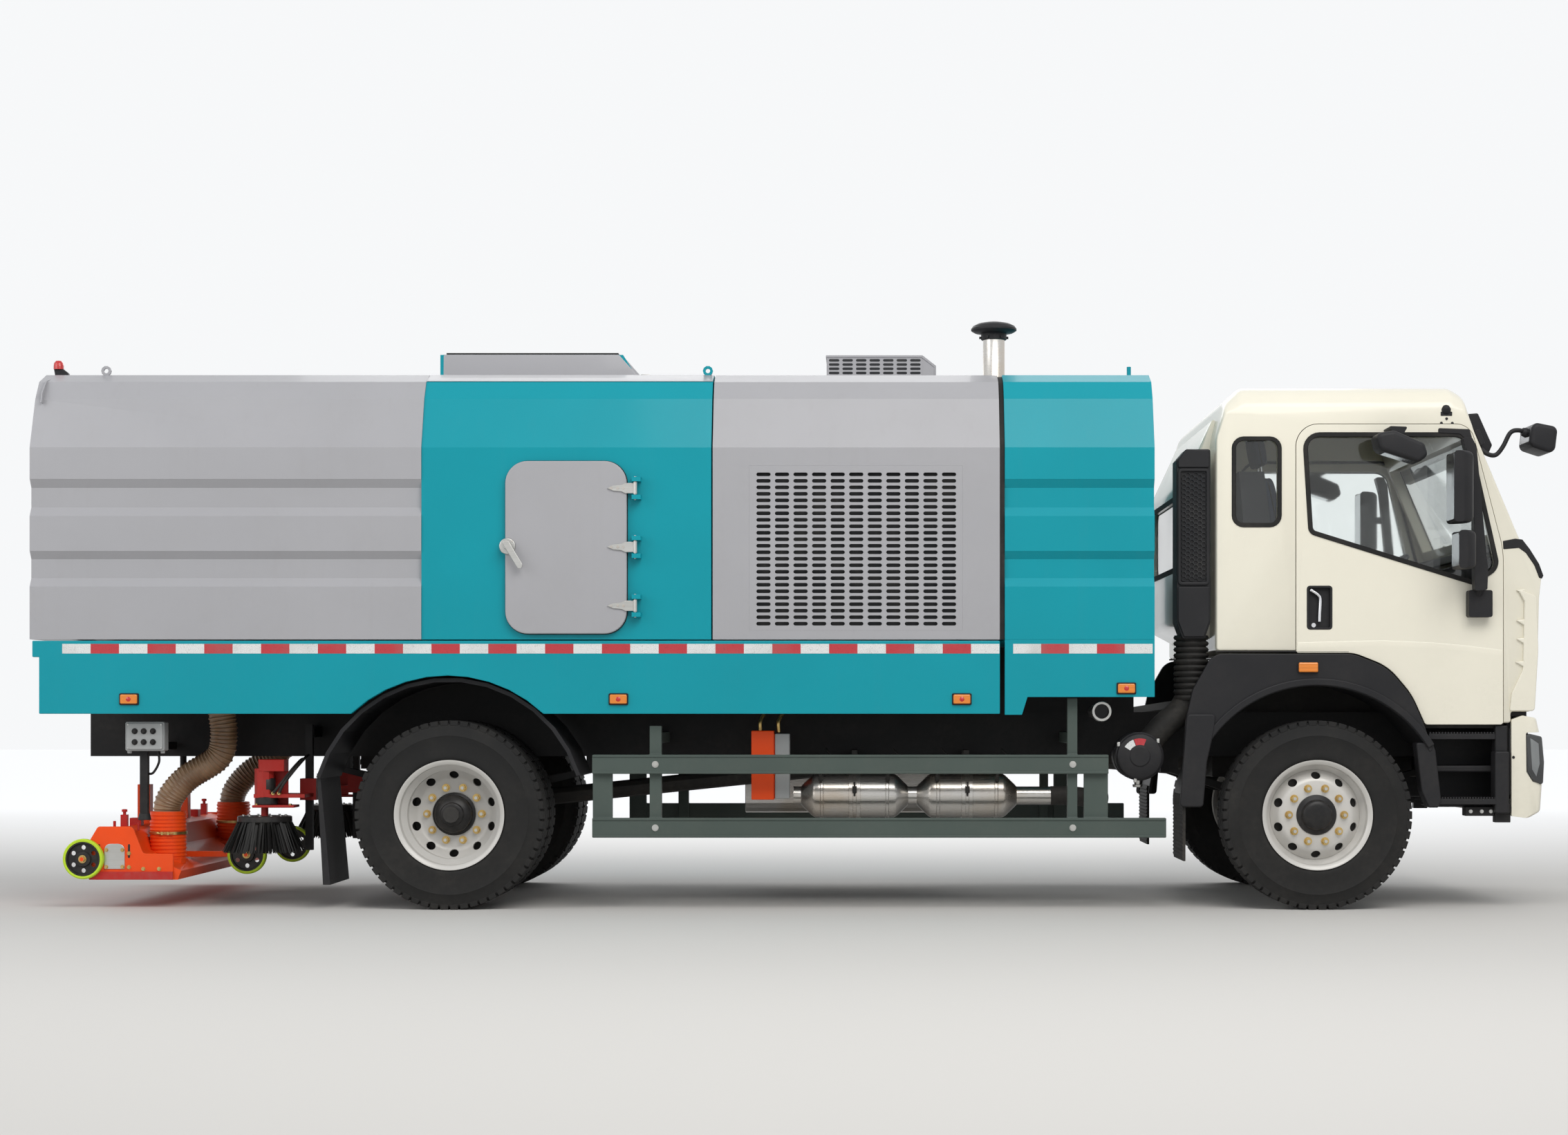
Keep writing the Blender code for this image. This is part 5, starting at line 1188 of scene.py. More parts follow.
# %% Slotted sheet
def slot_tree():
    """A sheet with round-ended slots in columns and rows."""
    sizes = {
        "Columns": "Int", "Rows": "Int", "Cell Width": "Float", "Cell Height": "Float",
        "Slot Length": "Float",
    }
    sizes.update(
        {
            "Slot Height": "Float", "Thickness": "Float", "Place": "Vector", "Turn": "Vector",
            "Material": "Material",
        }
    )
    given, add, join, close = new_tree("slotted sheet", sizes)
    edge = {"Width": given["Cell Width"], "Height": given["Cell Height"]}
    frame_line = add("GeometryNodeCurvePrimitiveQuadrilateral", edge, mode="RECTANGLE")[0]
    slot = {"Width": given["Slot Length"], "Height": given["Slot Height"]}
    square = add("GeometryNodeCurvePrimitiveQuadrilateral", slot, mode="RECTANGLE")[0]
    bend = add("ShaderNodeMath", {0: given["Slot Height"], 1: 0.499}, operation="MULTIPLY")[0]
    ends = {"Curve": square, "Radius": bend, "Count": 3, "Limit Radius": True}
    hole = add("GeometryNodeFilletCurve", ends, mode="POLY")[0]
    spans = []
    for label, size in (("Columns", "Cell Width"), ("Rows", "Cell Height")):
        gaps = add("ShaderNodeMath", {0: given[label], 1: 1.0}, operation="SUBTRACT")[0]
        spans.append(add("ShaderNodeMath", {0: gaps, 1: given[size]}, operation="MULTIPLY")[0])
    grid = {
        "Size X": spans[0], "Size Y": spans[1], "Vertices X": given["Columns"],
        "Vertices Y": given["Rows"],
    }
    points = add("GeometryNodeMeshGrid", grid)[0]
    return sheet_end(given, add, join, close, join(frame_line, hole), points)


SLOTS = slot_tree()
print("tree:", SLOTS.name)

# %% The grille of one side
def sided(side, near, far):
    """A span on the right or left side, low end first."""
    return tuple(sorted((side * near, side * far)))


def side_grille(name, side):
    """The bay's side grille: eleven columns of slots, its frame, and a dark sheet behind as painted shade.
    """
    turn = (math.radians(-90 * side), 0, 0)
    sizes = {"Columns": 11, "Rows": 24, "Cell_Width": 0.1, "Cell_Height": 0.035, "Slot_Length": 0.077}
    sizes.update({"Slot_Height": 0.020, "Thickness": 0.0038, "Turn": turn})
    place = (0.3265, side * (FLAT_SKIN_Y - 0.004), 1.9495)
    hidden = (f"side_grille_{name}",)
    grow(
        f"grille_{name}", SLOTS, "chassis", GRAY, hides=hidden, slot="gray_paint", Place=place, **sizes
    )
    edge = bmesh.new()
    inner, outer = rectangle(
        (-0.2235, 0.8765), (1.5295, 2.3695),
    ), rectangle((-0.2497, 0.8997), (1.5103, 2.3997))
    low, high = side * (FLAT_SKIN_Y - 0.004), side * (FLAT_SKIN_Y - 0.0002)
    rings = [
        [(u, y, v) for u, v in line]
        for y, line in ((low, inner), (low, outer), (high, outer), (high, inner))
    ]
    add_rings(edge, rings, closed=True)
    piece(f"grille_frame_{name}", edge, GRAY, "chassis")
    # Painted shade: a dark sheet behind the slots stands for the shaded inside of the bay
    screen = bmesh.new()
    add_box(
        screen, (-0.249, 0.899), sided(side, FLAT_SKIN_Y - 0.030, FLAT_SKIN_Y - 0.027), (1.512, 2.399),
    )
    piece(f"grille_screen_{name}", screen, DARK_MESH_AND_SHADE, "chassis")


# %% The vent on the roof
def roof_vent():
    """The louvred vent box on the bay's roof, with a dark box inside as painted shade."""
    sizes = {"Columns": 7, "Rows": 5, "Cell_Width": 0.0771, "Cell_Height": 0.024, "Slot_Length": 0.060}
    sizes.update({"Slot_Height": 0.015, "Thickness": 0.003})
    for name, side in SIDES:
        place, turn = (0.430, side * 0.4185, 3.025), (math.radians(-90 * side), 0, 0)
        grow(f"roof_vent_side_{name}", SLOTS, "chassis", GRAY, Place=place, Turn=turn, **sizes)
    # Painted shade: a dark box under the lid stands for the vent's shaded inside
    shadow = bmesh.new()
    add_box(shadow, (0.165, 0.70), (-0.4205, 0.4205), (2.968, 3.082))
    piece("roof_vent_screen", shadow, DARK_MESH_AND_SHADE, "chassis")
    lid = bmesh.new()
    add_prism(
        lid,
        [
            (0.152, 3.088), (0.152, 3.102), (0.702, 3.102), (0.779, 3.042), (0.779, 2.95),
            (0.768, 2.95), (0.768, 3.034), (0.698, 3.088),
        ],
        "y", (-0.424, 0.424),
    )
    piece("roof_vent_lid", lid, GRAY, "chassis", 0.002)


for name, side in SIDES:
    side_grille(name, side)
roof_vent()
tell("grilles and vent")

# %% [markdown]
# ## Reflective tape
# White and red lengths of tape run along both sills, so that the truck is seen at night. The tape
# is a film over small cells, which a Voronoi texture draws. Each colour is one row of thin blocks
# grown by a tree, and the two rows are set half a step apart.

# %% Tape film
def tape(name, colour):
    """Reflective tape: a honeycomb of small cells under a clear film."""
    material, shader = new_material(name, 0.25, coat=0.5)
    add, link = node_maker(material)
    place = add("TexCoord").outputs["Object"]
    cells = add("TexVoronoi")
    cells.feature = "DISTANCE_TO_EDGE"
    cells.inputs["Scale"].default_value = 130
    link(place, cells.inputs["Vector"])
    line = ramp(add, link, cells.outputs[0], 0.02, 0.08)
    grime = ramp(add, link, noise(add, link, place, 5, 6), 0.5, 0.8, (0.0, 0.35))
    base = blended(add, link, line, tuple(c * 0.72 for c in colour), colour)
    link(blended(add, link, grime, base, DUST), shader.inputs["Base Color"])
    return material


TAPE_WHITE = tape("white tape", (0.74, 0.75, 0.74))
TAPE_RED = tape("red tape", (0.50, 0.02, 0.03))
print("finishes:", [finish.name for finish in (TAPE_WHITE, TAPE_RED)])

# %% Rows of blocks
def row_tree():
    """Equal blocks in a row, as bars, teeth and lengths of tape are."""
    sizes = {
        "Count": "Int", "Start": "Vector", "Step": "Vector", "Size": "Vector", "Material": "Material",
    }
    given, add, join, close = new_tree("row of blocks", sizes)
    line = add(
        "GeometryNodeMeshLine",
        {"Count": given["Count"], "Start Location": given["Start"], "Offset": given["Step"]},
    )
    block = add("GeometryNodeMeshCube", {"Size": given["Size"]})
    return close(add("GeometryNodeInstanceOnPoints", {"Points": line[0], "Instance": block[0]})[0])


ROW = row_tree()
print("tree:", ROW.name)


def row(name, body, material, count, start, step, size, bevel=0.0):
    """Equal blocks in a row, with softened edges where asked."""
    obj = grow(name, ROW, body, material, Count=count, Start=start, Step=step, Size=size)
    if bevel:
        soften(obj, bevel)
    return obj


# %% The runs
TAPE_LENGTH = 0.152
TAPE_HEIGHT = 0.052
TAPE_Z = 1.412


def tape_run(name, side, start, end, face, body):
    """A run of reflective tape in equal white and red lengths."""
    count = round((end - start) / TAPE_LENGTH)
    step = (end - start) / count
    for colour, material in enumerate((TAPE_WHITE, TAPE_RED)):
        first = (start + step * (colour + 0.5), side * (face + 0.00055), TAPE_Z)
        label = f"{name}_{('white', 'red')[colour]}"
        row(
            label, body, material, (count + 1 - colour) // 2, first, (2 * step, 0, 0),
            (step, 0.0007, TAPE_HEIGHT),
        )


for name, side in SIDES:
    tape_run(f"tape_sill_{name}", side, -3.95, 1.098, BODY_HALF_WIDTH, "chassis")
    tape_run(f"tape_box_{name}", side, 1.172, 1.923, BODY_HALF_WIDTH - 0.001, "chassis")
tell("tape")

# %% [markdown]
# ## Side lamps
# Amber markers sit along each sill, on black bases with a red core. A moulded lens isn't even:
# fine prisms behind its face break the light, which a wave texture gives to both colour and bump.
# The base, the lens and the core are separate pieces, since each is of another stuff.

# %% Moulded lenses
def lens(name, colour, pitch=260.0):
    """A moulded lamp lens with fine prisms behind its face."""
    material, shader = new_material(name, 0.12, coat=0.6)
    add, link = node_maker(material)
    place = add("TexCoord").outputs["Object"]
    wave = add("TexWave")
    wave.inputs["Scale"].default_value = pitch / 6
    wave.bands_direction = "Z"
    link(place, wave.inputs["Vector"])
    shade = blended(add, link, wave.outputs["Fac"], tuple(c * 0.6 for c in colour), colour)
    link(shade, shader.inputs["Base Color"])
    bump = add("Bump")
    bump.inputs["Strength"].default_value = 0.4
    bump.inputs["Distance"].default_value = 0.001
    link(wave.outputs["Fac"], bump.inputs["Height"])
    link(bump.outputs[0], shader.inputs["Normal"])
    shader.inputs["Emission Color"].default_value = (*colour, 1)
    shader.inputs["Emission Strength"].default_value = 0.08
    return material


AMBER = lens("amber lens", (0.85, 0.24, 0.01))
RED_LENS = lens("red lens", (0.60, 0.012, 0.01))
print("finishes:", [finish.name for finish in (AMBER, RED_LENS)])

# %% One lamp
def side_lamp(name, side, x, z, face, body):
    """An amber side marker: black base, lens and red core."""
    base = bmesh.new()
    add_prism(
        base, rounded(rectangle((x - 0.053, x + 0.053), (z - 0.032, z + 0.032)), 0.008), "y",
        sided(side, face, face + 0.008),
    )
    piece(f"lamp_base_{name}", base, BLACK, body, 0.002)
    glow = bmesh.new()
    add_prism(
        glow, rounded(rectangle((x - 0.046, x + 0.046), (z - 0.025, z + 0.025)), 0.008), "y",
        sided(side, face + 0.006, face + 0.020),
    )
    piece(f"lamp_lens_{name}", glow, AMBER, body, 0.005)
    core = bmesh.new()
    add_rod(core, (x, side * (face + 0.0195), z), (x, side * (face + 0.0215), z), 0.014, 0.011)
    piece(f"lamp_core_{name}", core, RED_LENS, body)


# %% All side lamps
SIDE_LAMPS = ((-3.589, 1.14), (-0.954, 1.14), (0.895, 1.14), (1.781, 1.198))
for name, side in SIDES:
    for i, (x, z) in enumerate(SIDE_LAMPS):
        side_lamp(f"{name}_{i}", side, x, z, BODY_HALF_WIDTH - 0.001 * (x > 1.1), "chassis")
tell("side lamps")

# %% [markdown]
# ## Service hatch
# The round-cornered hatch gives access to the hopper. It hangs on three strap hinges at its front
# and closes with a lever. The leaf stands a few millimetres off the panel, and a seal shows in
# the gap. All of it rides on the hatch's own body, so it swings as one.

# %% A ring along an outline
def add_band(shape, outline, width, axis, span):
    """A flat ring that follows an outline: from it to width outside it, over a span of the axis."""
    low, high = span
    outer = moved_out(outline, width)
    rings = [
        [flat_point(axis, u, v, low) for u, v in outline],
        [flat_point(axis, u, v, low) for u, v in outer],
        [flat_point(axis, u, v, high) for u, v in outer],
        [flat_point(axis, u, v, high) for u, v in outline],
    ]
    add_rings(shape, rings, closed=True)


# %% Leaf and seal
def hatch_leaf():
    """The round-cornered leaf and the seal behind it."""
    leaf = bmesh.new()
    outline = rounded(rectangle((-1.561, -0.908), (1.492, 2.421)), 0.12, 10)
    add_prism(leaf, outline, "y", (-1.278, -1.248))
    piece(
        "service_leaf", leaf, GRAY, "service_door", 0.005, hides=("service_door",),
        segments=3,
    )
    seal = bmesh.new()
    add_band(seal, moved_out(outline, -0.012), 0.016, "y", (-1.2475, -1.2435))
    piece("service_seal", seal, SEAL, "service_door")


# %% Places of hinges and latch
HINGE_X = -0.861
HINGE_Y = -1.284
HINGE_LEVELS = (2.274, 1.958, 1.642)
LATCH_X = -1.549
LATCH_Z = 1.962

# %% Hinges
def hatch_hinges():
    """Three strap hinges with their screws and pins."""
    straps = bmesh.new()
    for z in HINGE_LEVELS:
        strap = [
            (-0.87, z - 0.028), (-0.915, z - 0.028), (-0.935, z - 0.018), (-0.98, z - 0.014),
            (-1.012, z),
        ]
        strap += [(-0.98, z + 0.014), (-0.935, z + 0.018), (-0.915, z + 0.028), (-0.87, z + 0.028)]
        add_prism(straps, strap, "y", (-1.286, -1.278))
        add_rod(straps, (HINGE_X, HINGE_Y, z - 0.0335), (HINGE_X, HINGE_Y, z + 0.0335), 0.0115)
    piece("service_hinges", straps, ZINC, "service_door", 0.0015)
    spots = [(x, -1.286, z) for z in HINGE_LEVELS for x in (-0.925, -0.955, -0.99)]
    bolts("service_hinge_screws", spots, "-y", "service_door", STEEL, 0.006, 0.004, 12)
    pins = bmesh.new()
    for z in HINGE_LEVELS:
        add_rod(pins, (HINGE_X, HINGE_Y, z - 0.063), (HINGE_X, HINGE_Y, z + 0.063), 0.0075)
    piece("service_pins", pins, ZINC, "service_door")


# %% Latch
def hatch_latch():
    """The lever latch on its round plate."""
    latch = bmesh.new()
    add_rod(latch, (LATCH_X, -1.278, LATCH_Z), (LATCH_X, -1.288, LATCH_Z), 0.046, 0.042, 32)
    add_rod(latch, (LATCH_X, -1.287, LATCH_Z), (LATCH_X, -1.322, LATCH_Z), 0.020, 0.018, 24)
    lever = [
        (-1.572, 1.978), (-1.560, 1.992), (-1.536, 1.986), (-1.462, 1.862), (-1.466, 1.842),
        (-1.486, 1.838),
    ]
    add_prism(latch, rounded(lever, 0.008, 3), "y", (-1.3265, -1.315))
    piece("service_latch", latch, ZINC, "service_door", 0.002)
    spots = [(LATCH_X + dx, -1.286, LATCH_Z + dz) for dx in (-0.026, 0.026) for dz in (-0.026, 0.026)]
    bolts("service_latch_screws", spots, "-y", "service_door", STEEL, 0.005, 0.004, 12)


hatch_leaf()
hatch_hinges()
hatch_latch()
tell("service hatch")

# %% [markdown]
# ## Rear end
# The rear isn't seen in the side view, so it is kept plain: lamp clusters on hanging plates, a
# closing plate at each top corner, three shallow ribs in the door and two small red lamps on the
# roof. The corner plates ride on the hopper and the ribs on the door, because the door swings
# away from the plates.

# %% White lens
WHITE_LENS = lens("white lens", (0.80, 0.80, 0.78))
print("finish:", WHITE_LENS.name)

# %% Lamp clusters and corner plates
def rear_lamp_cluster(name, side):
    """A hanging plate with a stop, a turn and a reverse lens."""
    plate = bmesh.new()
    add_box(plate, (-3.9405, -3.9345), sided(side, 0.78, 1.18), (1.11, 1.43))
    piece(f"rear_lamp_plate_{name}", plate, BLACK, "chassis", 0.001)
    for material, low, high, label in (
        (RED_LENS, 0.96, 1.16, "stop"),
        (AMBER, 0.88, 0.955, "turn"),
        (WHITE_LENS, 0.80, 0.875, "reverse"),
    ):
        glow = bmesh.new()
        outline = rounded([(y, z) for y, z in rectangle(sided(side, low, high), (1.13, 1.26))], 0.012)
        add_prism(glow, outline, "x", (-3.975, -3.940))
        piece(f"rear_{label}_{name}", glow, material, "chassis", 0.006)


def rear_corner(name, side):
    """The closing plate at the body's top rear corner."""
    corner = bmesh.new()
    line = [(0.826, 2.895), (0.826, 2.745), (1.19, 2.745), (1.172, 2.80), (1.10, 2.872), (0.99, 2.905)]
    add_prism(corner, [(side * y, z) for y, z in line], "x", (-4.088, -4.080))
    piece(f"rear_corner_{name}", corner, GRAY, "hopper", 0.002)


# %% Ribs and roof lamps
def rear_door_ribs():
    """Three upright ribs pressed in the rear door."""
    for i, y in enumerate((-0.6, 0.0, 0.6)):
        rib = bmesh.new()
        add_prism(
            rib,
            [
                (y - 0.05, 1.60), (y - 0.035, 1.585), (y + 0.035, 1.585), (y + 0.05, 1.60),
                (y + 0.05, 2.70), (y + 0.035, 2.715), (y - 0.035, 2.715), (y - 0.05, 2.70),
            ],
            "x", (-4.1255, -4.1252),
        )
        piece(f"rear_door_rib_{i}", rib, GRAY, "rear_door")


def roof_beacons():
    """A small red lamp on each rear corner of the roof, on a slanted foot."""
    for name, side in SIDES:
        beacon = bmesh.new()
        add_lathe(
            beacon, [(0, 0.05), (0.016, 0.047), (0.026, 0.034), (0.028, 0.018), (0.028, 0.0), (0, 0)],
            (-4.085, side * 0.86, 2.965), (0, 0, 1), 24,
        )
        piece(f"roof_beacon_{name}", beacon, RED_LENS, "hopper")
        foot = bmesh.new()
        add_prism(
            foot, [(-4.10, 2.922), (-4.02, 2.922), (-4.03, 2.945), (-4.06, 2.968), (-4.108, 2.968)],
            "y", sided(side, 0.845, 0.875),
        )
        piece(f"roof_beacon_foot_{name}", foot, BLACK, "hopper", 0.003)


# %% The whole rear
for name, side in SIDES:
    rear_lamp_cluster(name, side)
    rear_corner(name, side)
rear_door_ribs()
roof_beacons()
tell("rear end")

# %% [markdown]
# ## Cab skin
# The cab is one cream pressing with rounded edges all over. Its side outline is skinned across
# the truck, and near each side the roof's edge and the corners are turned in, so that the roof
# rolls into the side. Door openings, windows, the screen and at last the inside are cut out with
# Booleans, one after the other, because one large cut can fail where faces nearly touch.

# %% Cream paint
CREAM = surface(
    "cream paint", (0.81, 0.775, 0.655), 0.26, coat=0.45, dust=0.03, low=(0.3, 1.5, 0.07), mottle=0.012,
)
print("finish:", CREAM.name)

# %% Outlines
CAB_CORNERS = [
    (2.28, 1.40, 0.02),
    (3.03, 1.40, 0.2),
    (3.215, 1.326, 0.3),
    (3.343, 1.172, 0.4),
    (3.416, 1.01, 0.02),
    (3.885, 1.01, 0.016),
    (3.885, 1.072, 0.014),
    (4.005, 1.072, 0.03),
    (4.03, 1.30, 0.3),
    (4.04, 1.69, 0.3),
    (4.053, 1.81, 0.05),
    (3.934, 2.008, 0.06),
    (3.68, 2.613, 0.2),
    (3.635, 2.80, 0.07),
    (3.56, 2.845, 0.06),
    (2.42, 2.845, 0.08),
    (2.33, 2.76, 0.08),
    (2.28, 2.55, 0.2),
]
CAB_INSIDE = [
    (2.34, 1.46), (3.06, 1.46), (3.25, 1.37), (3.39, 1.20), (3.445, 1.07), (3.93, 1.13), (3.97, 1.30),
    (3.98, 1.69), (3.985, 1.80),
]
CAB_INSIDE += [(3.875, 1.99), (3.62, 2.60), (3.58, 2.785), (2.44, 2.785), (2.38, 2.72), (2.34, 2.54)]
print("cab outline:", len(rounded(CAB_CORNERS, 0.05, 6)), "points")

# %% Openings
DOOR_CORNERS = [
    (2.715, 1.392, 0.012),
    (3.03, 1.392, 0.2),
    (3.215, 1.319, 0.3),
    (3.343, 1.166, 0.4),
    (3.416, 1.003, 0.02),
    (3.838, 1.003, 0.015),
    (3.838, 1.95, 0.5),
    (3.66, 2.634, 0.10),
    (2.715, 2.634, 0.12),
]
DOOR_WINDOW = [
    (2.80, 2.054, 0.03), (3.68, 1.779, 0.04), (3.80, 1.86, 0.06), (3.64, 2.57, 0.09),
    (2.768, 2.57, 0.07),
]
QUARTER_WINDOW = [(2.385, 2.094), (2.617, 2.094), (2.617, 2.548), (2.385, 2.548)]
DOOR_SKIN_Y = CAB_HALF_WIDTH + 0.005

# %% One ring of the skin
def cab_ring(outline, y):
    """The cab's side outline at one width, with the roof's edge and the corners turned in near the side."""
    crown = max(0.0, (abs(y) - 0.98) / 0.15)
    height = math.sqrt(max(0.0, 1 - crown * crown * 0.86))
    turn = max(0.0, (abs(y) - CAB_HALF_WIDTH + 0.04) / 0.04)
    ring = moved_out(outline, -0.010 * (1 - math.sqrt(max(0.0, 1 - turn * turn))))
    return [(x, y, z if z < 2.66 else 2.66 + (z - 2.66) * height) for x, z in ring]


# %% The pressing
def cab_skin():
    """The cream pressing with its openings cut, hollow inside."""
    outline = rounded(CAB_CORNERS, 0.05, 6)
    half = [0.0, 0.5, 0.85, 0.98, 1.02, 1.055, 1.08, 1.095, 1.107, 1.117, 1.124, 1.128, 1.13]
    places = [-y for y in reversed(half)] + half[1:]
    shape = bmesh.new()
    add_rings(shape, [cab_ring(outline, y) for y in places])
    skin = piece("cab_skin", shape, CREAM, "cab", hides=("cab_shell",))
    openings = bmesh.new()
    for side in (-1, 1):
        add_prism(
            openings, moved_out(rounded(DOOR_CORNERS, 0.05, 8), 0.0038), "y", sided(side, 1.05, 1.30),
        )
        add_prism(openings, rounded(QUARTER_WINDOW, 0.045), "y", sided(side, 1.0, 1.3))
    add_box(openings, (2.9, 3.955), (-0.50, 0.50), (0.9, 1.40))
    cut(skin, openings)
    screen = bmesh.new()
    add_prism(screen, [(3.55, 2.06), (4.2, 2.06), (4.2, 2.56), (3.55, 2.56)], "y", (-1.0, 1.0))
    cut(skin, screen)
    rear = bmesh.new()
    add_box(rear, (2.2, 2.36), (-0.82, 0.82), (1.56, 2.60))
    cut(skin, rear)
    hollow = bmesh.new()
    add_prism(hollow, CAB_INSIDE, "y", (-1.07, 1.07))
    cut(skin, hollow)
    soften(skin, 0.003)


cab_skin()
tell("cab skin")

# %% [markdown]
# ## Rear wall of the cab
# Behind the seats the wall bulges back, with a wide window. It is a second skinned shape with
# softly inset ends, hollowed and cut like the first. Glass is a thin pane with the colour taken
# almost out of it, and faint smears in its roughness keep it from looking like an empty hole.

# %% Glass
def glass(name, colour, roughness=0.03, transmission=0.9):
    """Clear glass with faint smears."""
    material, shader = new_material(name, roughness)
    shader.inputs["Transmission Weight"].default_value = transmission
    shader.inputs["IOR"].default_value = 1.45
    shader.inputs["Base Color"].default_value = (*colour, 1)
    add, link = node_maker(material)
    place = add("TexCoord").outputs["Object"]
    smears = ramp(add, link, noise(add, link, place, 2.2, 5), 0.35, 0.75, (roughness, roughness + 0.08))
    link(smears, shader.inputs["Roughness"])
    return material


WINDOW = glass("window glass", (0.93, 0.96, 0.95), 0.0, 1.0)
print("finish:", WINDOW.name)

# %% The bulge
def rear_wall_bulge():
    """The wall that bulges back behind the seats, hollow, with its window cut."""
    profile = rounded([(2.31, 1.46), (2.12, 1.56, 0.06), (2.12, 2.32, 0.10), (2.31, 2.72)], 0.01)
    inner = [(2.36, 1.52), (2.16, 1.60), (2.16, 2.29), (2.36, 2.66)]
    half = [0.0, 0.80, 0.83, 0.85, 0.86]
    inset = [0.0, 0.0, 0.008, 0.022, 0.042]
    rings = []
    for y, depth in list(
        zip([-v for v in reversed(half)], reversed(inset))
    ) + list(zip(half[1:], inset[1:])):
        rings.append([(x + depth if x < 2.2 else x, y, z) for x, z in profile])
    shape = bmesh.new()
    add_rings(shape, rings)
    bulge = piece("cab_rear_bulge", shape, CREAM, "cab")
    hollow = bmesh.new()
    add_prism(hollow, inner, "y", (-0.82, 0.82))
    cut(bulge, hollow)
    opening = bmesh.new()
    add_prism(opening, rounded(rectangle((-0.60, 0.60), (1.88, 2.26)), 0.06), "x", (2.0, 2.25))
    cut(bulge, opening)


# %% Its window
def rear_window():
    """The rear pane and its gasket."""
    pane = bmesh.new()
    add_prism(pane, rounded(rectangle((-0.61, 0.61), (1.87, 2.27)), 0.06), "x", (2.135, 2.140))
    piece("rear_glass", pane, WINDOW, "cab")
    gasket = bmesh.new()
    add_band(
        gasket, rounded(rectangle((-0.595, 0.595), (1.885, 2.255)), 0.06), 0.03, "x", (2.114, 2.122),
    )
    piece("rear_gasket", gasket, SEAL, "cab", 0.003)


rear_wall_bulge()
rear_window()
tell("rear wall")

# %% [markdown]
# ## Windscreen, wipers and visor
# The screen leans between the cowl and the roof, inside a black painted edge. Two points give its
# foot and its top, and every line of the pane, the edge and the wipers is worked out from them,
# so all of it leans alike. The visor is a thick curved blade on three brackets.

# %% The pane
def windscreen_pane():
    """The pane between the roof and the cowl, and its black edge."""
    low, high = Vector((3.952, 1.985)), Vector((3.672, 2.645))
    along = (high - low).normalized()
    out = Vector((along.y, -along.x))
    pane = bmesh.new()
    line = [low + out * 0.002, high + out * 0.002, high - out * 0.004, low - out * 0.004]
    add_prism(pane, [tuple(p) for p in line], "y", (-1.03, 1.03))
    piece("windscreen", pane, WINDOW, "cab")
    edge = bmesh.new()
    frames = (
        (-1.06, -0.99, 0.0, 1.0), (0.99, 1.06, 0.0, 1.0), (-0.99, 0.99, 0.0, 0.07),
        (-0.99, 0.99, 0.91, 1.0),
    )
    for start, end, first, last in frames:
        a, b = low.lerp(high, first), low.lerp(high, last)
        line = [a + out * 0.004, b + out * 0.004, b - out * 0.005, a - out * 0.005]
        add_prism(edge, [tuple(p) for p in line], "y", (start, end))
    piece("windscreen_edge", edge, SEAL, "cab", 0.002)


# %% Wipers
def screen_wipers():
    """Two wipers parked along the foot of the screen."""
    low, high = Vector((3.952, 1.985)), Vector((3.672, 2.645))
    along = (high - low).normalized()
    out = Vector((along.y, -along.x))
    wipers = bmesh.new()
    for y in (-0.62, 0.30):
        start = low + out * 0.02 + along * 0.02
        end = low + out * 0.012 + along * 0.10
        add_rod(wipers, (start.x, y, start.y), (end.x, y + 0.44, end.y), 0.008, sides=10)
        tip = low + out * 0.010 + along * 0.06
        add_rod(wipers, (tip.x, y + 0.10, tip.y), (tip.x, y + 0.72, tip.y + 0.01), 0.006, sides=8)
        add_rod(
            wipers, (start.x - 0.03, y, start.y - 0.03), (start.x + 0.01, y, start.y + 0.01), 0.016,
            sides=12,
        )
    piece("wipers", wipers, BLACK, "cab")


# %% Visor
def sun_shade():
    """The visor over the screen, on three brackets."""
    visor = bmesh.new()
    blade = rounded(
        [(3.66, 2.70), (3.724, 2.705), (3.802, 2.53), (3.783, 2.486), (3.745, 2.493), (3.70, 2.57)],
        0.012,
    )
    add_prism(visor, blade, "y", (-1.04, 1.04))
    piece("sun_visor", visor, BLACK, "cab", 0.008, segments=3)
    brackets = bmesh.new()
    for y in (-0.75, 0.0, 0.75):
        add_box(brackets, (3.62, 3.70), (y - 0.02, y + 0.02), (2.665, 2.69))
    piece("visor_brackets", brackets, BLACK, "cab", 0.003)


windscreen_pane()
screen_wipers()
sun_shade()
tell("windscreen")

# %% [markdown]
# ## Cab front
# Under the screen runs a black cowl, and below it five bars make the grille. At each corner a
# raised panel with four small fins turns the air round the cab. The fins are thin wedges across
# the panel's face: small, but their shadows draw the corner in the side view.

# %% Cowl
def cowl_panel():
    """The black panel at the foot of the windscreen, run round to the doors."""
    shape = bmesh.new()
    line = [
        (3.838, 2.0), (3.905, 2.013), (3.944, 2.008), (3.985, 1.955), (4.035, 1.875), (4.058, 1.812),
        (4.050, 1.795),
    ]
    line += [(4.034, 1.80), (4.008, 1.868), (3.962, 1.935), (3.925, 1.962), (3.84, 1.955)]
    add_prism(shape, rounded(line, 0.004, 3), "y", (-1.134, 1.134))
    piece("cowl", shape, BLACK, "cab", 0.006, segments=3)


# %% Grille and feet
def front_grille():
    """The grille's five bars."""
    row(
        "front_grille_bars", "cab", BLACK, 5, (4.023, 0, 1.22), (0, 0, 0.09), (0.046, 1.44, 0.06),
        0.008,
    )


def front_feet():
    """The two blocks that the cab's front rests on."""
    foot = bmesh.new()
    for side in (-1, 1):
        add_box(foot, (3.842, 3.978), sided(side, 0.80, 1.085), (1.045, 1.10))
    piece("cab_front_foot", foot, BLACK, "cab", 0.004)


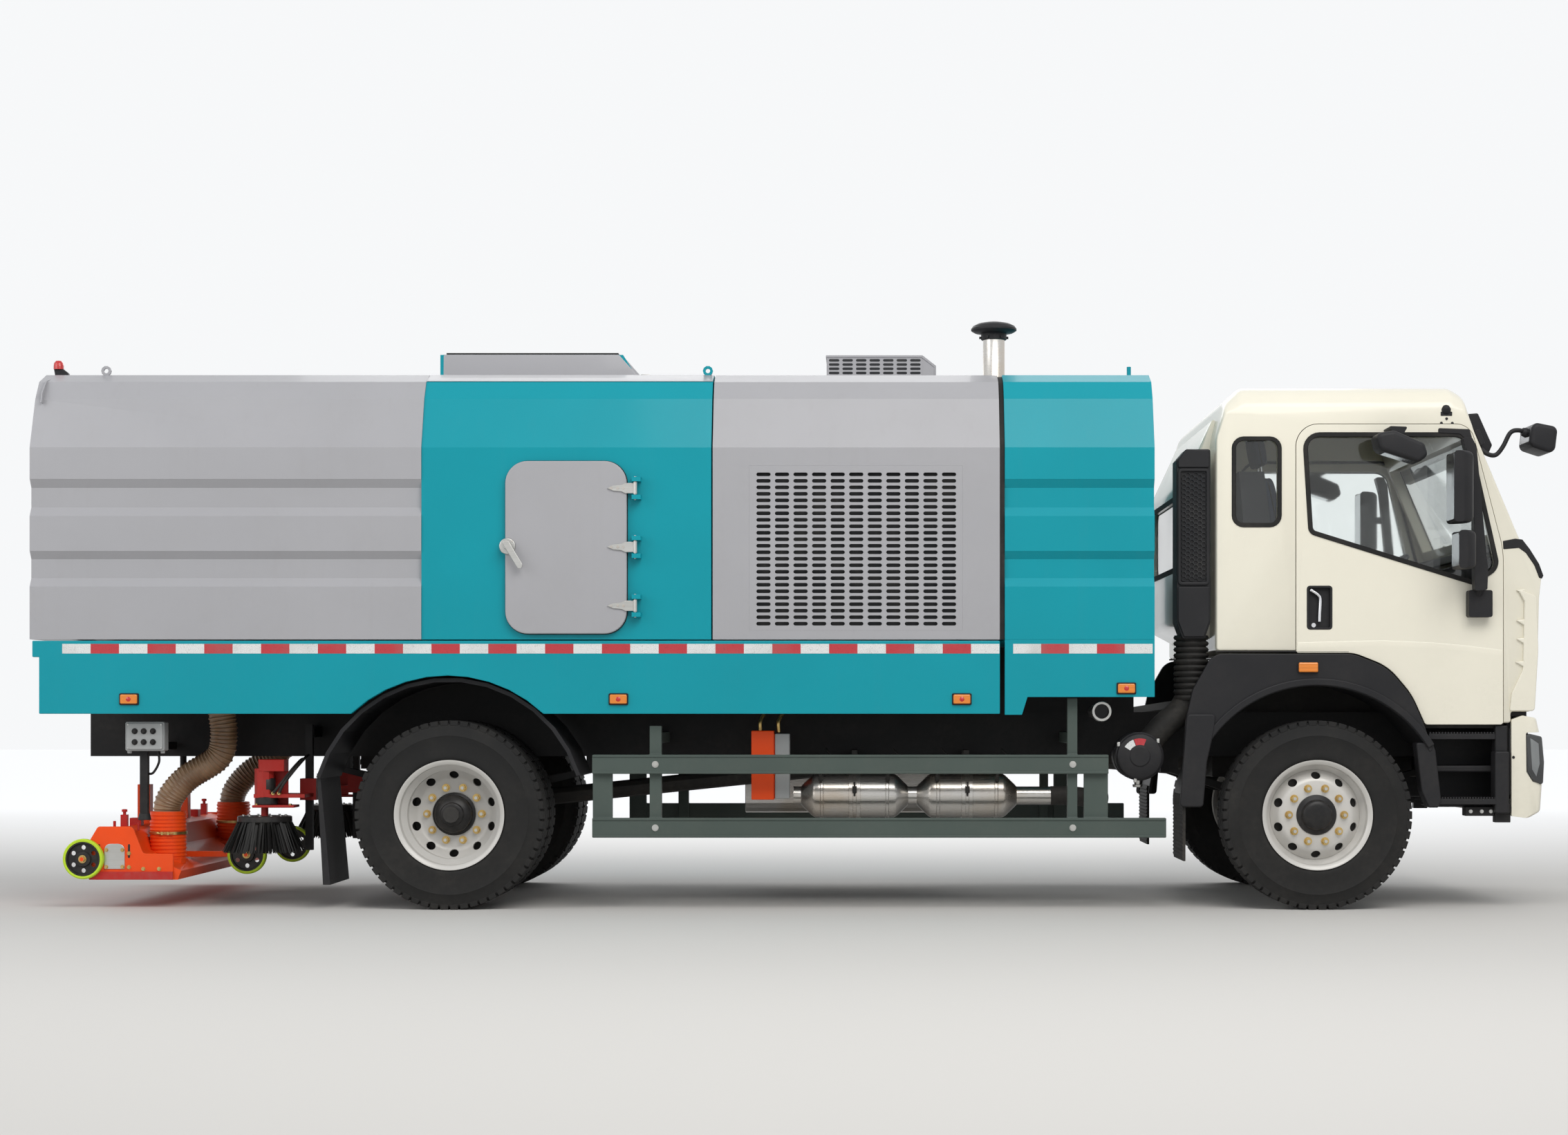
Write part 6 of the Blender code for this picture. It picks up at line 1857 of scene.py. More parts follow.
# %% Corner panels
def corner_panel(name, side):
    """The raised panel on the cab's front corner with its four air fins."""
    shape = bmesh.new()
    line = [
        (3.912, 1.742, 0.01), (4.018, 1.70, 0.02), (4.028, 1.41, 0.5), (4.008, 1.076, 0.02),
        (3.872, 1.076, 0.01),
    ]
    line += [(3.884, 1.174, 0.03), (3.945, 1.30, 0.08), (3.951, 1.672, 0.01)]
    add_prism(shape, rounded(line, 0.01), "y", sided(side, 1.10, 1.146))
    for z, reach in ((1.733, 0.045), (1.569, 0.045), (1.469, 0.045), (1.343, 0.050)):
        fin = [(3.952 - reach, z), (3.956, z + 0.006), (3.956, z - 0.032)]
        add_prism(shape, fin, "y", sided(side, 1.128, 1.144))
    piece(f"corner_panel_{name}", shape, CREAM, "cab", 0.006, segments=3)


cowl_panel()
front_grille()
front_feet()
for name, side in SIDES:
    corner_panel(name, side)
tell("cab front")

# %% [markdown]
# ## Cab sides
# Behind each door is a small fixed window in a rubber gasket. A seal shows as a dark line in the
# gap round the door, and a marker lamp with three plugs sits at the roof's edge. Gaskets are
# rings that follow the window's own outline, so they fit it at any size.

# %% Smooth paths and tubes
def smooth_path(knots, steps=6):
    """Points on a smooth curve through the knots."""
    knots = [Vector(knot) for knot in knots]
    padded = [2 * knots[0] - knots[1], *knots, 2 * knots[-1] - knots[-2]]
    points = []
    for a, b, c, d in zip(padded, padded[1:], padded[2:], padded[3:]):
        for i in range(steps):
            t = i / steps
            points.append(
                0.5 * (
                    2 * b + (c - a) * t + (
                        2 * a - 5 * b + 4 * c - d
                    ) * t**2 + (3 * b - a - 3 * c + d) * t**3
                )
            )
    return points + [knots[-1]]


def add_sweep(shape, path, radii, sides=16):
    """A round tube along a path; radii is one number or one for each point."""
    path = [Vector(point) for point in path]
    if isinstance(radii, (int, float)):
        radii = [radii] * len(path)
    tangents = [
        (path[min(i + 1, len(path) - 1)] - path[max(i - 1, 0)]).normalized()
        for i in range(len(path))
    ]
    across, _ = basis(tangents[0])
    rings = []
    for spot, tangent, radius in zip(path, tangents, radii):
        across = (across - tangent * across.dot(tangent)).normalized()
        up = tangent.cross(across)
        turns = [2 * math.pi * i / sides for i in range(sides)]
        rings.append([spot + radius * (math.cos(t) * across + math.sin(t) * up) for t in turns])
    add_rings(shape, rings)


# %% Quarter window
def quarter_window(name, side):
    """The small window behind the door, with its gasket."""
    outline = rounded(QUARTER_WINDOW, 0.045)
    gasket = bmesh.new()
    add_band(gasket, moved_out(outline, -0.004), 0.024, "y", sided(side, 1.124, 1.136))
    piece(f"quarter_gasket_{name}", gasket, SEAL, "cab", 0.004)
    pane = bmesh.new()
    add_prism(pane, moved_out(outline, 0.008), "y", sided(side, 1.106, 1.110))
    piece(f"quarter_glass_{name}", pane, WINDOW, "cab")


# %% Seals
def body_seals(name, side):
    """The seal that shows in the door's gap, and the one under the cab's side."""
    backing = bmesh.new()
    door_line = rounded(DOOR_CORNERS, 0.05, 8)
    add_band(backing, moved_out(door_line, -0.012), 0.032, "y", sided(side, 1.076, 1.084))
    piece(f"door_seal_{name}", backing, SEAL, "cab")
    seals = bmesh.new()
    line = [(2.283, 1.398), (3.0, 1.398)]
    add_sweep(seals, [(x, side * 1.1305, z) for x, z in line], 0.005, 8)
    piece(f"cab_foot_seal_{name}", seals, SEAL, "cab")


# %% Roof marker
def roof_marker(name, side):
    """The marker lamp on the roof's edge and three plugs beside it."""
    marker = bmesh.new()
    add_lathe(
        marker, [(0, 0.035), (0.016, 0.031), (0.026, 0.016), (0.028, 0.0), (0, 0)],
        (3.53, side * 1.118, 2.706), (0, side * 0.6, 0.8), 24,
    )
    add_box(marker, (3.50, 3.562), sided(side, 1.09, 1.134), (2.680, 2.702))
    piece(f"roof_marker_{name}", marker, BLACK, "cab", 0.002)
    spots = ((3.504, 2.640), (3.532, 2.664), (3.563, 2.640))
    axis = "+y" if side > 0 else "-y"
    bolts(
        f"roof_plugs_{name}", [(x, side * 1.124, z) for x, z in spots], axis, "cab", BLACK, 0.0075,
        0.009, 12,
    )


for name, side in SIDES:
    quarter_window(name, side)
    body_seals(name, side)
    roof_marker(name, side)
tell("cab sides")

# %% [markdown]
# ## Cab doors
# Each door is a leaf of 50 mm with its window cut through and a pocket for the handle. The leaf
# follows the opening's outline, a few millimetres smaller all round, which leaves an even gap. A
# soft ledge is pressed in low down. Everything on the door rides on the door's body.

# %% Leaf
def door_leaf(name, side):
    """The leaf with its window and handle pocket cut."""
    body = f"cab_door_{name}"
    outline = rounded(DOOR_CORNERS, 0.05, 8)
    window = rounded(DOOR_WINDOW, 0.05, 6)
    leaf = bmesh.new()
    add_prism(leaf, outline, "y", sided(side, DOOR_SKIN_Y - 0.05, DOOR_SKIN_Y))
    panel = piece(f"door_leaf_{name}", leaf, CREAM, body, hides=(body,))
    hole = bmesh.new()
    add_prism(hole, window, "y", sided(side, 1.0, 1.3))
    cut(panel, hole)
    pocket = bmesh.new()
    plate = rounded(rectangle((2.772, 2.911), (1.518, 1.757)), 0.018)
    add_prism(pocket, moved_out(plate, -0.004), "y", sided(side, DOOR_SKIN_Y - 0.032, 1.3))
    cut(panel, pocket)
    soften(panel, 0.003, 3)


# %% Window
def door_window(name, side):
    """The black gasket and the pane."""
    body = f"cab_door_{name}"
    window = rounded(DOOR_WINDOW, 0.05, 6)
    gasket = bmesh.new()
    add_band(
        gasket, moved_out(window, -0.006), 0.026, "y",
        sided(side, DOOR_SKIN_Y - 0.004, DOOR_SKIN_Y + 0.007),
    )
    piece(f"door_gasket_{name}", gasket, SEAL, body, 0.004)
    pane = bmesh.new()
    add_prism(
        pane, moved_out(window, 0.010), "y", sided(side, DOOR_SKIN_Y - 0.030, DOOR_SKIN_Y - 0.026),
    )
    piece(f"door_glass_{name}", pane, WINDOW, body)


# %% Ledge
def wedge_line(shape, points, side, face, out, height):
    """A soft pressed ledge along a (x, z) path on a side face."""
    rings = []
    for x, z in points:
        rings.append(
            [(x, side * face, z), (x, side * (face + out), z - 0.005), (x, side * face, z - height)]
        )
    add_rings(shape, rings)


def door_ledge(name, side):
    """The pressed ledge low on the door."""
    body = f"cab_door_{name}"
    ledge = bmesh.new()
    line = [
        (2.722, 1.450), (2.95, 1.456), (3.185, 1.4617), (3.45, 1.450), (3.65, 1.432), (3.832, 1.409),
    ]
    wedge_line(ledge, line, side, DOOR_SKIN_Y - 0.0005, 0.0022, 0.045)
    piece(f"door_ledge_{name}", ledge, CREAM, body)


# %% Handle
def door_handle(name, side):
    """The black cup, the grip and the key barrel."""
    body = f"cab_door_{name}"
    plate = rounded(rectangle((2.772, 2.911), (1.518, 1.757)), 0.018)
    cup = bmesh.new()
    add_band(
        cup, moved_out(plate, -0.012), 0.012, "y", sided(side, DOOR_SKIN_Y - 0.03, DOOR_SKIN_Y + 0.003),
    )
    add_prism(cup, moved_out(plate, -0.006), "y", sided(side, DOOR_SKIN_Y - 0.031, DOOR_SKIN_Y - 0.024))
    piece(f"handle_cup_{name}", cup, BLACK, body, 0.002)
    grip = bmesh.new()
    y = side * (DOOR_SKIN_Y - 0.006)
    route = smooth_path(
        [(2.797, y, 1.733), (2.836, y, 1.706), (2.846, y, 1.680), (2.843, y, 1.60), (2.842, y, 1.562)],
        5,
    )
    add_sweep(grip, route, 0.0095, 12)
    add_rod(grip, (2.842, y, 1.575), (2.842, y - side * 0.02, 1.575), 0.009, sides=12)
    add_rod(grip, (2.80, y, 1.731), (2.80, y - side * 0.02, 1.731), 0.009, sides=12)
    add_rod(
        grip, (2.812, side * (DOOR_SKIN_Y - 0.026), 1.543),
        (2.812, side * (DOOR_SKIN_Y - 0.015), 1.543), 0.012, sides=20,
    )
    piece(f"door_handle_{name}", grip, CHROME, body)


# %% Trim
def door_corner_trim(name, side):
    """The black trim in the window's top corner."""
    body = f"cab_door_{name}"
    trim = bmesh.new()
    corner = [
        (3.485, 2.612), (3.655, 2.606), (3.70, 2.44), (3.665, 2.44), (3.640, 2.545), (3.60, 2.578),
        (3.485, 2.584),
    ]
    add_prism(
        trim, rounded(corner, 0.008, 3), "y", sided(side, DOOR_SKIN_Y - 0.002, DOOR_SKIN_Y + 0.010),
    )
    piece(f"door_corner_trim_{name}", trim, BLACK, body, 0.004)


for name, side in SIDES:
    door_leaf(name, side)
    door_window(name, side)
    door_ledge(name, side)
    door_handle(name, side)
    door_corner_trim(name, side)
tell("doors")

# %% [markdown]
# ## Side mirrors
# A tall arm on the door carries a large and a wide-angle mirror, and a kerb mirror looks down
# from over the window. A mirror's housing has a bowed back and rolled edges. The pillow helper
# rolls the edges of any outline, and a bowed head is skinned from outlines whose depth follows
# half a circle.

# %% Mirror glass
MIRROR = brushed("mirror glass", (0.30, 0.31, 0.33), 0.10, (0.27, 0.28, 0.3), (1, 1, 1))
print("finish:", MIRROR.name)

# %% Rolled and bowed housings
def add_pillow(shape, outline, side, near, far, radius):
    """An outline grown across the truck with its near and far edges rolled over."""
    steps = [math.radians(90 * i / 5) for i in range(6)]
    ends = [(near + radius * (1 - math.sin(t)), radius * (1 - math.cos(t))) for t in reversed(steps)]
    ends += [(far - radius * (1 - math.sin(t)), radius * (1 - math.cos(t))) for t in steps]
    rings = [[(u, side * y, v) for u, v in moved_out(outline, -inset)] for y, inset in ends]
    add_rings(shape, rings)


def mirror_head(shape, glass, x, y, z, side):
    """A mirror housing with a bowed back, and its glass on the rear face."""
    near, far = side * y[0], side * y[1]
    middle = (near + far) / 2
    rings = []
    steps = 8
    for i in range(steps + 1):
        t = i / steps
        bow = math.sqrt(max(0.0, 1 - (2 * t - 1) ** 2))
        yy = near + (far - near) * t
        depth = (x[1] - x[0]) * (0.45 + 0.55 * bow)
        outline = rounded(rectangle((x[0], x[0] + depth), z), min(0.03, depth * 0.3), 4)
        rings.append([(u, yy, v) for u, v in outline])
    add_rings(shape, rings)
    pane = rounded(
        rectangle(
            tuple(sorted((near + (middle - near) * 0.08, far + (middle - far) * 0.08))),
            (z[0] + 0.015, z[1] - 0.015),
        ),
        0.02,
    )
    add_prism(glass, pane, "x", (x[0] - 0.002, x[0] + 0.001))


# %% Arm and heads
def side_mirrors(name, side):
    """The tall arm with two heads on its bracket, and the kerb mirror over the window."""
    body = f"cab_door_{name}"
    shape = bmesh.new()
    glass_face = bmesh.new()
    face = DOOR_SKIN_Y
    foot = rounded(rectangle((3.636, 3.764), (1.584, 1.73)), 0.012)
    add_prism(shape, foot, "y", sided(side, face, face + 0.075))
    arm = [
        (3.588, 2.548), (3.640, 2.548), (3.664, 2.50), (3.700, 2.10), (3.726, 1.83), (3.722, 1.728),
        (3.655, 1.722),
    ]
    arm += [(3.652, 1.80), (3.650, 2.10), (3.618, 2.44)]
    add_prism(shape, rounded(arm, 0.012, 4), "y", sided(side, 1.20, 1.27))
    add_rod(shape, (3.69, side * (face + 0.05), 1.70), (3.69, side * 1.235, 1.76), 0.024)
    mirror_head(shape, glass_face, (3.505, 3.625), (1.25, 1.455), (2.083, 2.462), side)
    mirror_head(shape, glass_face, (3.535, 3.640), (1.25, 1.440), (1.837, 2.040), side)
    for z in (2.28, 1.94):
        add_rod(shape, (3.655, side * 1.235, z), (3.590, side * 1.30, z), 0.024, 0.020)
    foot = rounded([(3.186, 2.606), (3.285, 2.602), (3.262, 2.560), (3.205, 2.562)], 0.006, 3)
    add_prism(shape, foot, "y", sided(side, face, 1.31))
    head = [
        (3.098, 2.560, 0.03), (3.20, 2.574, 0.03), (3.36, 2.505, 0.03), (3.378, 2.440, 0.03),
        (3.33, 2.403, 0.03), (3.12, 2.470, 0.04),
    ]
    add_pillow(shape, rounded(head, 0.03, 8), side, 1.205, 1.40, 0.022)
    piece(
        f"mirror_set_{name}", shape, BLACK, body, 0.003, hides=(f"door_mirrors_{name}",),
    )
    piece(f"mirror_glass_{name}", glass_face, MIRROR, body)


# %% Kerb mirror's glass
def kerb_mirror_glass(name, side):
    """The glass under the kerb mirror."""
    body = f"cab_door_{name}"
    under = bmesh.new()
    line = [(3.150, 2.4575), (3.300, 2.4103), (3.301, 2.414), (3.151, 2.461)]
    add_prism(under, line, "y", sided(side, 1.24, 1.365))
    piece(f"kerb_mirror_glass_{name}", under, MIRROR, body)


for name, side in SIDES:
    side_mirrors(name, side)
    kerb_mirror_glass(name, side)
tell("side mirrors")

# %% [markdown]
# ## Front mirror
# One more mirror reaches out over the windscreen's corner on a thin bent tube, so that the driver
# sees the ground before the bumper. The tube is a smooth path through a few given points,
# swept with a circle, since a bent tube has no simpler rule.

# %% Arm, head and glass
def front_mirror():
    """The bent arm, the mirror's head, its foot and its glass."""
    shape = bmesh.new()
    route = smooth_path(
        [
            (3.715, -1.08, 2.52), (3.755, -1.10, 2.478), (3.805, -1.10, 2.470), (3.845, -1.10, 2.515),
            (3.885, -1.10, 2.590), (3.93, -1.10, 2.604), (3.985, -1.09, 2.590),
        ],
        6,
    )
    add_sweep(shape, route, 0.0125, 14)
    add_rod(shape, (3.95, -1.095, 2.598), (3.985, -1.09, 2.588), 0.022, 0.030)
    head = [(3.978, 2.640, 0.035), (4.118, 2.612, 0.035), (4.100, 2.462, 0.035), (3.962, 2.508, 0.035)]
    add_pillow(shape, rounded(head, 0.03, 8), -1, 0.95, 1.22, 0.022)
    foot = rounded([(3.686, 2.60), (3.7196, 2.52), (3.745, 2.53), (3.712, 2.61)], 0.005, 3)
    add_prism(shape, foot, "y", (-1.12, -1.05))
    piece("front_mirror_set", shape, BLACK, "cab", 0.002, hides=("front_mirror",))
    pane = bmesh.new()
    add_prism(
        pane, [(3.9640, 2.535), (3.9735, 2.605), (3.9765, 2.605), (3.9670, 2.535)], "y",
        (-1.185, -0.985),
    )
    piece("front_mirror_glass", pane, MIRROR, "cab")


front_mirror()
tell("front mirror")

# %% [markdown]
# ## Headlamps
# Each lamp wraps round the bumper's corner: a dark housing, two bright rings and a clear cover
# over both. Layers make a lamp look deep, so each is a solid of its own and the cover is real
# glass. One glossy block would look painted on.

# %% Reflector, cover and shade
REFLECTOR = brushed("lamp reflector", (0.85, 0.86, 0.88), 0.14, (0.7, 0.7, 0.72))
CLEAR = glass("lamp glass", (0.80, 0.83, 0.85), 0.02, 0.95)
BOX_GRAY = surface("switch box plastic", (0.36, 0.37, 0.37), 0.45, dust=0.15, low=(0.4, 1.2, 0.10))
print("finishes:", [finish.name for finish in (REFLECTOR, CLEAR, BOX_GRAY)])

# %% Housing and reflectors
HEADLAMP_CORNERS = [
    (3.968, 0.953), (4.046, 0.935), (4.058, 0.80), (4.052, 0.675), (4.0, 0.70), (3.972, 0.75),
]


def headlamp_bowls(name, side):
    """The dark housing and its two reflector rings."""
    housing = bmesh.new()
    line = rounded(HEADLAMP_CORNERS, 0.012)
    add_prism(housing, line, "y", sided(side, 0.74, 1.134))
    piece(f"headlamp_housing_{name}", housing, CAP_AND_SHADE, "chassis", 0.004)
    bowls = bmesh.new()
    for y, z in ((0.84, 0.82), (0.97, 0.82)):
        add_lathe(
            bowls, [(0.015, 0.0), (0.055, 0.012), (0.058, 0.012), (0.058, 0.0)], (4.052, side * y, z),
            (1, 0, 0), 32,
        )
    piece(f"headlamp_reflectors_{name}", bowls, REFLECTOR, "chassis", 0.002)


# %% Shade and cover
def headlamp_cover(name, side):
    """The gray shade at the side and the clear cover."""
    line = rounded(HEADLAMP_CORNERS, 0.012)
    shade = bmesh.new()
    add_prism(
        shade, [(3.985, 0.93), (4.030, 0.90), (4.036, 0.79), (4.018, 0.72), (3.995, 0.76)], "y",
        sided(side, 1.133, 1.1365),
    )
    piece(f"headlamp_shade_{name}", shade, BOX_GRAY, "chassis", 0.002)
    cover = bmesh.new()
    outer = moved_out(line, 0.003)
    add_prism(cover, outer, "y", sided(side, 0.735, 1.140))
    piece(f"headlamp_cover_{name}", cover, CLEAR, "chassis", 0.008)


for name, side in SIDES:
    headlamp_bowls(name, side)
    headlamp_cover(name, side)
tell("headlamps")

# %% [markdown]
# ## Bumper
# The bumper is a deep cream shell with rounded ends, open behind, with a barred opening in the
# middle and a lamp at each end. It stays with the chassis when the cab tilts. It is skinned
# across like the cab, hollowed and cut, and a beam behind holds it to the frame.

# %% Shell
def bumper_shell():
    """The bumper's shell with rounded ends, hollow, with its openings cut."""
    profile = [
        (3.885, 0.505, 0.01), (3.99, 0.495, 0.03), (4.052, 0.53, 0.03), (4.064, 0.70, 0.2),
        (4.052, 0.94, 0.03),
    ]
    profile += [(4.030, 1.040, 0.02), (3.945, 1.052, 0.01), (3.885, 1.030, 0.01)]
    outline = rounded(profile, 0.02, 5)
    rings = []
    for y in (-1.13, -1.126, -1.115, -1.095, -1.06, 1.06, 1.095, 1.115, 1.126, 1.13):
        turn = max(0.0, (abs(y) - 1.06) / 0.07)
        inset = 0.03 * (1 - math.sqrt(max(0.0, 1 - turn * turn)))
        rings.append([(x - (inset if x > 3.95 else 0), y, z) for x, z in outline])
    shape = bmesh.new()
    add_rings(shape, rings)
    shell = piece("bumper_shell", shape, CREAM, "chassis", hides=("front_bumper",))
    inside = bmesh.new()
    hollow = [(3.80, 0.53), (4.01, 0.53), (4.03, 0.70), (4.02, 0.93), (4.0, 1.02), (3.80, 1.02)]
    add_prism(inside, hollow, "y", (-1.105, 1.105))
    cut(shell, inside)
    lamps = bmesh.new()
    for side in (-1, 1):
        line = [(3.963, 0.959), (4.2, 0.965), (4.2, 0.66), (4.0, 0.692), (3.966, 0.745)]
        add_prism(lamps, rounded(line, 0.01), "y", sided(side, 0.73, 1.3))
    add_prism(lamps, rounded(rectangle((-0.52, 0.52), (0.60, 0.88)), 0.03), "x", (4.0, 4.2))
    cut(shell, lamps)
    soften(shell, 0.003)


# %% Bars
def bumper_grille():
    """Five bars before a dark back plate."""
    row(
        "bumper_bars", "chassis", BLACK, 5, (4.0325, 0, 0.64), (0, 0, 0.0575), (0.025, 1.08, 0.028),
        0.003,
    )
    mesh_bars = bmesh.new()
    add_box(mesh_bars, (4.00, 4.02), (-0.55, 0.55), (0.58, 0.90))
    piece("bumper_mesh", mesh_bars, BLACK, "chassis", 0.003)


# %% Beam
def bumper_beam():
    """The beam and brackets behind the shell."""
    beam = bmesh.new()
    for side in (-1, 1):
        add_box(beam, (3.70, 4.02), sided(side, 0.485, 0.53), (0.85, 0.93))
        add_rod(beam, (3.895, side * 1.130, 0.825), (3.895, side * 1.1345, 0.825), 0.008, sides=12)
    add_box(beam, (3.875, 3.90), (-1.10, 1.10), (0.62, 0.98))
    add_box(beam, (3.868, 3.985), (-1.085, 1.085), (0.93, 1.036))
    piece("bumper_beam", beam, BLACK, "chassis", 0.003)


bumper_shell()
bumper_grille()
bumper_beam()
tell("bumper")

# %% [markdown]
# ## Front fenders
# A wide black arch of moulded plastic covers each steered wheel, with a lip round the opening, a
# liner over the tyre and a ribbed flap behind. The opening is an arc about the axle's centre, so
# the gap to the tyre is even. The rest of the outline is corner points with a radius each.

# %% Arcs in the side plane
def arc_line(centre, radius, start, end, count):
    """Points on an arc in the side plane, angles in degrees from +X up."""
    turns = [math.radians(start + (end - start) * i / (count - 1)) for i in range(count)]
    return [(centre[0] + radius * math.cos(t), centre[1] + radius * math.sin(t)) for t in turns]


# %% Arch and lip
def fender_arch(name, side):
    """The flared face of the arch and the lip round its opening."""
    centre = (FRONT_AXLE_X, TYRE_RADIUS)
    outer = [(3.456, 0.860, 0.02), (3.408, 0.992, 0.3), (3.335, 1.160, 0.4), (3.207, 1.312, 0.3)]
    outer += [(3.02, 1.386, 0.2), (2.262, 1.388, 0.10)]
    outer += [(2.150, 1.190, 0.08), (2.112, 1.02, 0.04), (2.086, 0.556, 0.015)]
    opening = arc_line(centre, 0.70, 176, 30, 40)
    line = opening + [p for p in rounded(outer, 0.02, 8)]
    face = bmesh.new()
    add_prism(face, line, "y", sided(side, 1.122, 1.160))
    hidden = (f"front_fender_{name}",)
    piece(
        f"fender_face_{name}", face, BLACK, "chassis", 0.010, hides=hidden,
        segments=3,
    )
    lip = bmesh.new()
    band = arc_line(centre, 0.703, 176, 31, 40) + arc_line(centre, 0.742, 31, 176, 40)
    add_prism(lip, band, "y", sided(side, 1.150, 1.172))
    piece(f"fender_lip_{name}", lip, BLACK, "chassis", 0.006, segments=3)


# %% Liner and foot
def fender_liner(name, side):
    """The liner over the tyre."""
    centre = (FRONT_AXLE_X, TYRE_RADIUS)
    liner = bmesh.new()
    band = arc_line(centre, 0.705, 175, 31, 36) + arc_line(centre, 0.722, 31, 175, 36)
    add_prism(liner, band, "y", sided(side, 0.66, 1.135))
    piece(f"fender_liner_{name}", liner, BLACK, "chassis", 0.003)


def fender_foot(name, side):
    """The raised foot behind the wheel."""
    rear = bmesh.new()
    step_line = [
        (2.078, 0.556), (2.118, 1.06), (2.275, 1.06), (2.262, 0.96), (2.226, 0.80), (2.206, 0.556),
    ]
    add_prism(rear, rounded(step_line, 0.02, 4), "y", sided(side, 1.150, 1.176))
    piece(f"fender_foot_{name}", rear, BLACK, "chassis", 0.008, segments=3)


# %% Flap
def fender_flap(name, side):
    """The ribbed rubber flap."""
    flap = bmesh.new()
    teeth = [(2.100, 0.62)]
    for i in range(16):
        z = 0.60 - i * 0.021
        teeth += [(2.094, z), (2.099, z - 0.0105)]
    teeth += [(2.100, 0.262), (2.112, 0.262), (2.113, 0.62)]
    add_prism(flap, teeth, "y", sided(side, 0.70, 1.150))
    piece(f"front_flap_{name}", flap, SEAL, "chassis")


# %% Lamp
def fender_lamp(name, side):
    """The amber marker on the arch."""
    base = bmesh.new()
    spot = rounded(rectangle((2.716, 2.832), (1.281, 1.345)), 0.012)
    add_prism(base, spot, "y", sided(side, 1.158, 1.166))
    piece(f"fender_lamp_base_{name}", base, BLACK, "chassis", 0.002)
    glow = bmesh.new()
    add_prism(glow, moved_out(spot, -0.006), "y", sided(side, 1.164, 1.186))
    piece(f"fender_lamp_{name}", glow, AMBER, "chassis", 0.007, segments=3)


for name, side in SIDES:
    fender_arch(name, side)
    fender_liner(name, side)
    fender_foot(name, side)
    fender_flap(name, side)
    fender_lamp(name, side)
tell("front fenders")

# %% [markdown]
# ## Entry steps
# Two steps lead up to each door, between side walls of black plastic. The treads have rows of
# teeth for wet boots. The teeth are one small block repeated by the row tree, which keeps them
# countable: 22 to a tread.

# %% Walls
def step_walls(name, side):
    """The side walls, floors and stay that carry the steps."""
    walls = bmesh.new()
    rear_wall = [
        (3.362, 0.905), (3.452, 0.905), (3.468, 0.86), (3.50, 0.585), (3.482, 0.552), (3.430, 0.552),
        (3.392, 0.64),
    ]
    add_prism(walls, rounded(rear_wall, 0.012, 4), "y", sided(side, 1.04, 1.156))
    add_prism(
        walls, rounded(rectangle((3.792, 3.868), (0.520, 0.858)), 0.012), "y", sided(side, 1.04, 1.150),
    )
    add_prism(
        walls, rounded(rectangle((3.80, 3.868), (0.852, 0.998)), 0.008), "y", sided(side, 1.02, 1.120),
    )
    add_box(walls, (3.472, 3.868), sided(side, 0.74, 0.80), (0.552, 0.985))
    add_box(walls, (3.472, 3.868), sided(side, 0.80, 1.02), (0.742, 0.778))
    add_box(walls, (3.472, 3.86), sided(side, 0.76, 1.05), (0.552, 0.575))
    add_box(walls, (3.52, 3.62), sided(side, 0.49, 0.76), (0.84, 0.93))
    piece(f"step_walls_{name}", walls, BLACK, "chassis", 0.008)


# %% Treads
def step_treads(name, side):
    """Two treads, each with a row of teeth and a front lip."""
    tread = bmesh.new()
    for z, near, far, low, high in ((0.953, 0.86, 1.115, 3.44, 3.80), (0.600, 0.86, 1.148, 3.47, 3.80)):
        add_box(tread, (low, high), sided(side, near, far), (z - 0.028, z))
        step = (high - low) / 22
        first = (low + step / 2, side * (far - 0.0445), z + 0.003)
        row(
            f"step_teeth_{name}_{round(z * 1000)}", "chassis", BLACK, 22, first, (step, 0, 0),
            (0.009, 0.081, 0.012),
        )
        add_box(tread, (low, high), sided(side, far - 0.003, far + 0.002), (z - 0.030, z - 0.006))
    piece(f"step_treads_{name}", tread, BLACK, "chassis", 0.0015)


# %% Hook
def step_hook(name, side):
    """The dark hook under the steps and its bolts."""
    hook = bmesh.new()
    add_box(hook, (3.64, 3.80), sided(side, 1.02, 1.10), (0.505, 0.556))
    add_rod(hook, (3.865, side * 1.04, 0.545), (3.865, side * 1.12, 0.545), 0.028)
    add_box(hook, (3.80, 3.885), sided(side, 1.05, 1.11), (0.470, 0.545))
    piece(f"step_hook_{name}", hook, FRAME, "chassis", 0.004)
    spots = [(x, side * 1.10, 0.530) for x in (3.67, 3.73, 3.78)]
    bolts(f"step_hook_bolts_{name}", spots, "+y" if side > 0 else "-y", "chassis", ZINC, 0.008, 0.006)


for name, side in SIDES:
    step_walls(name, side)
    step_treads(name, side)
    step_hook(name, side)
tell("entry steps")

# %% [markdown]
# ## Air intake column
# Clean air is drawn in high up behind the cab, through a honeycomb, and led down a rubber bellows
# to a round cleaner. The honeycomb is a grid of six-sided cells with every second column half a
# cell up, and the bellows is a tube with a bead at every pitch. Both are trees, since both
# repeat.

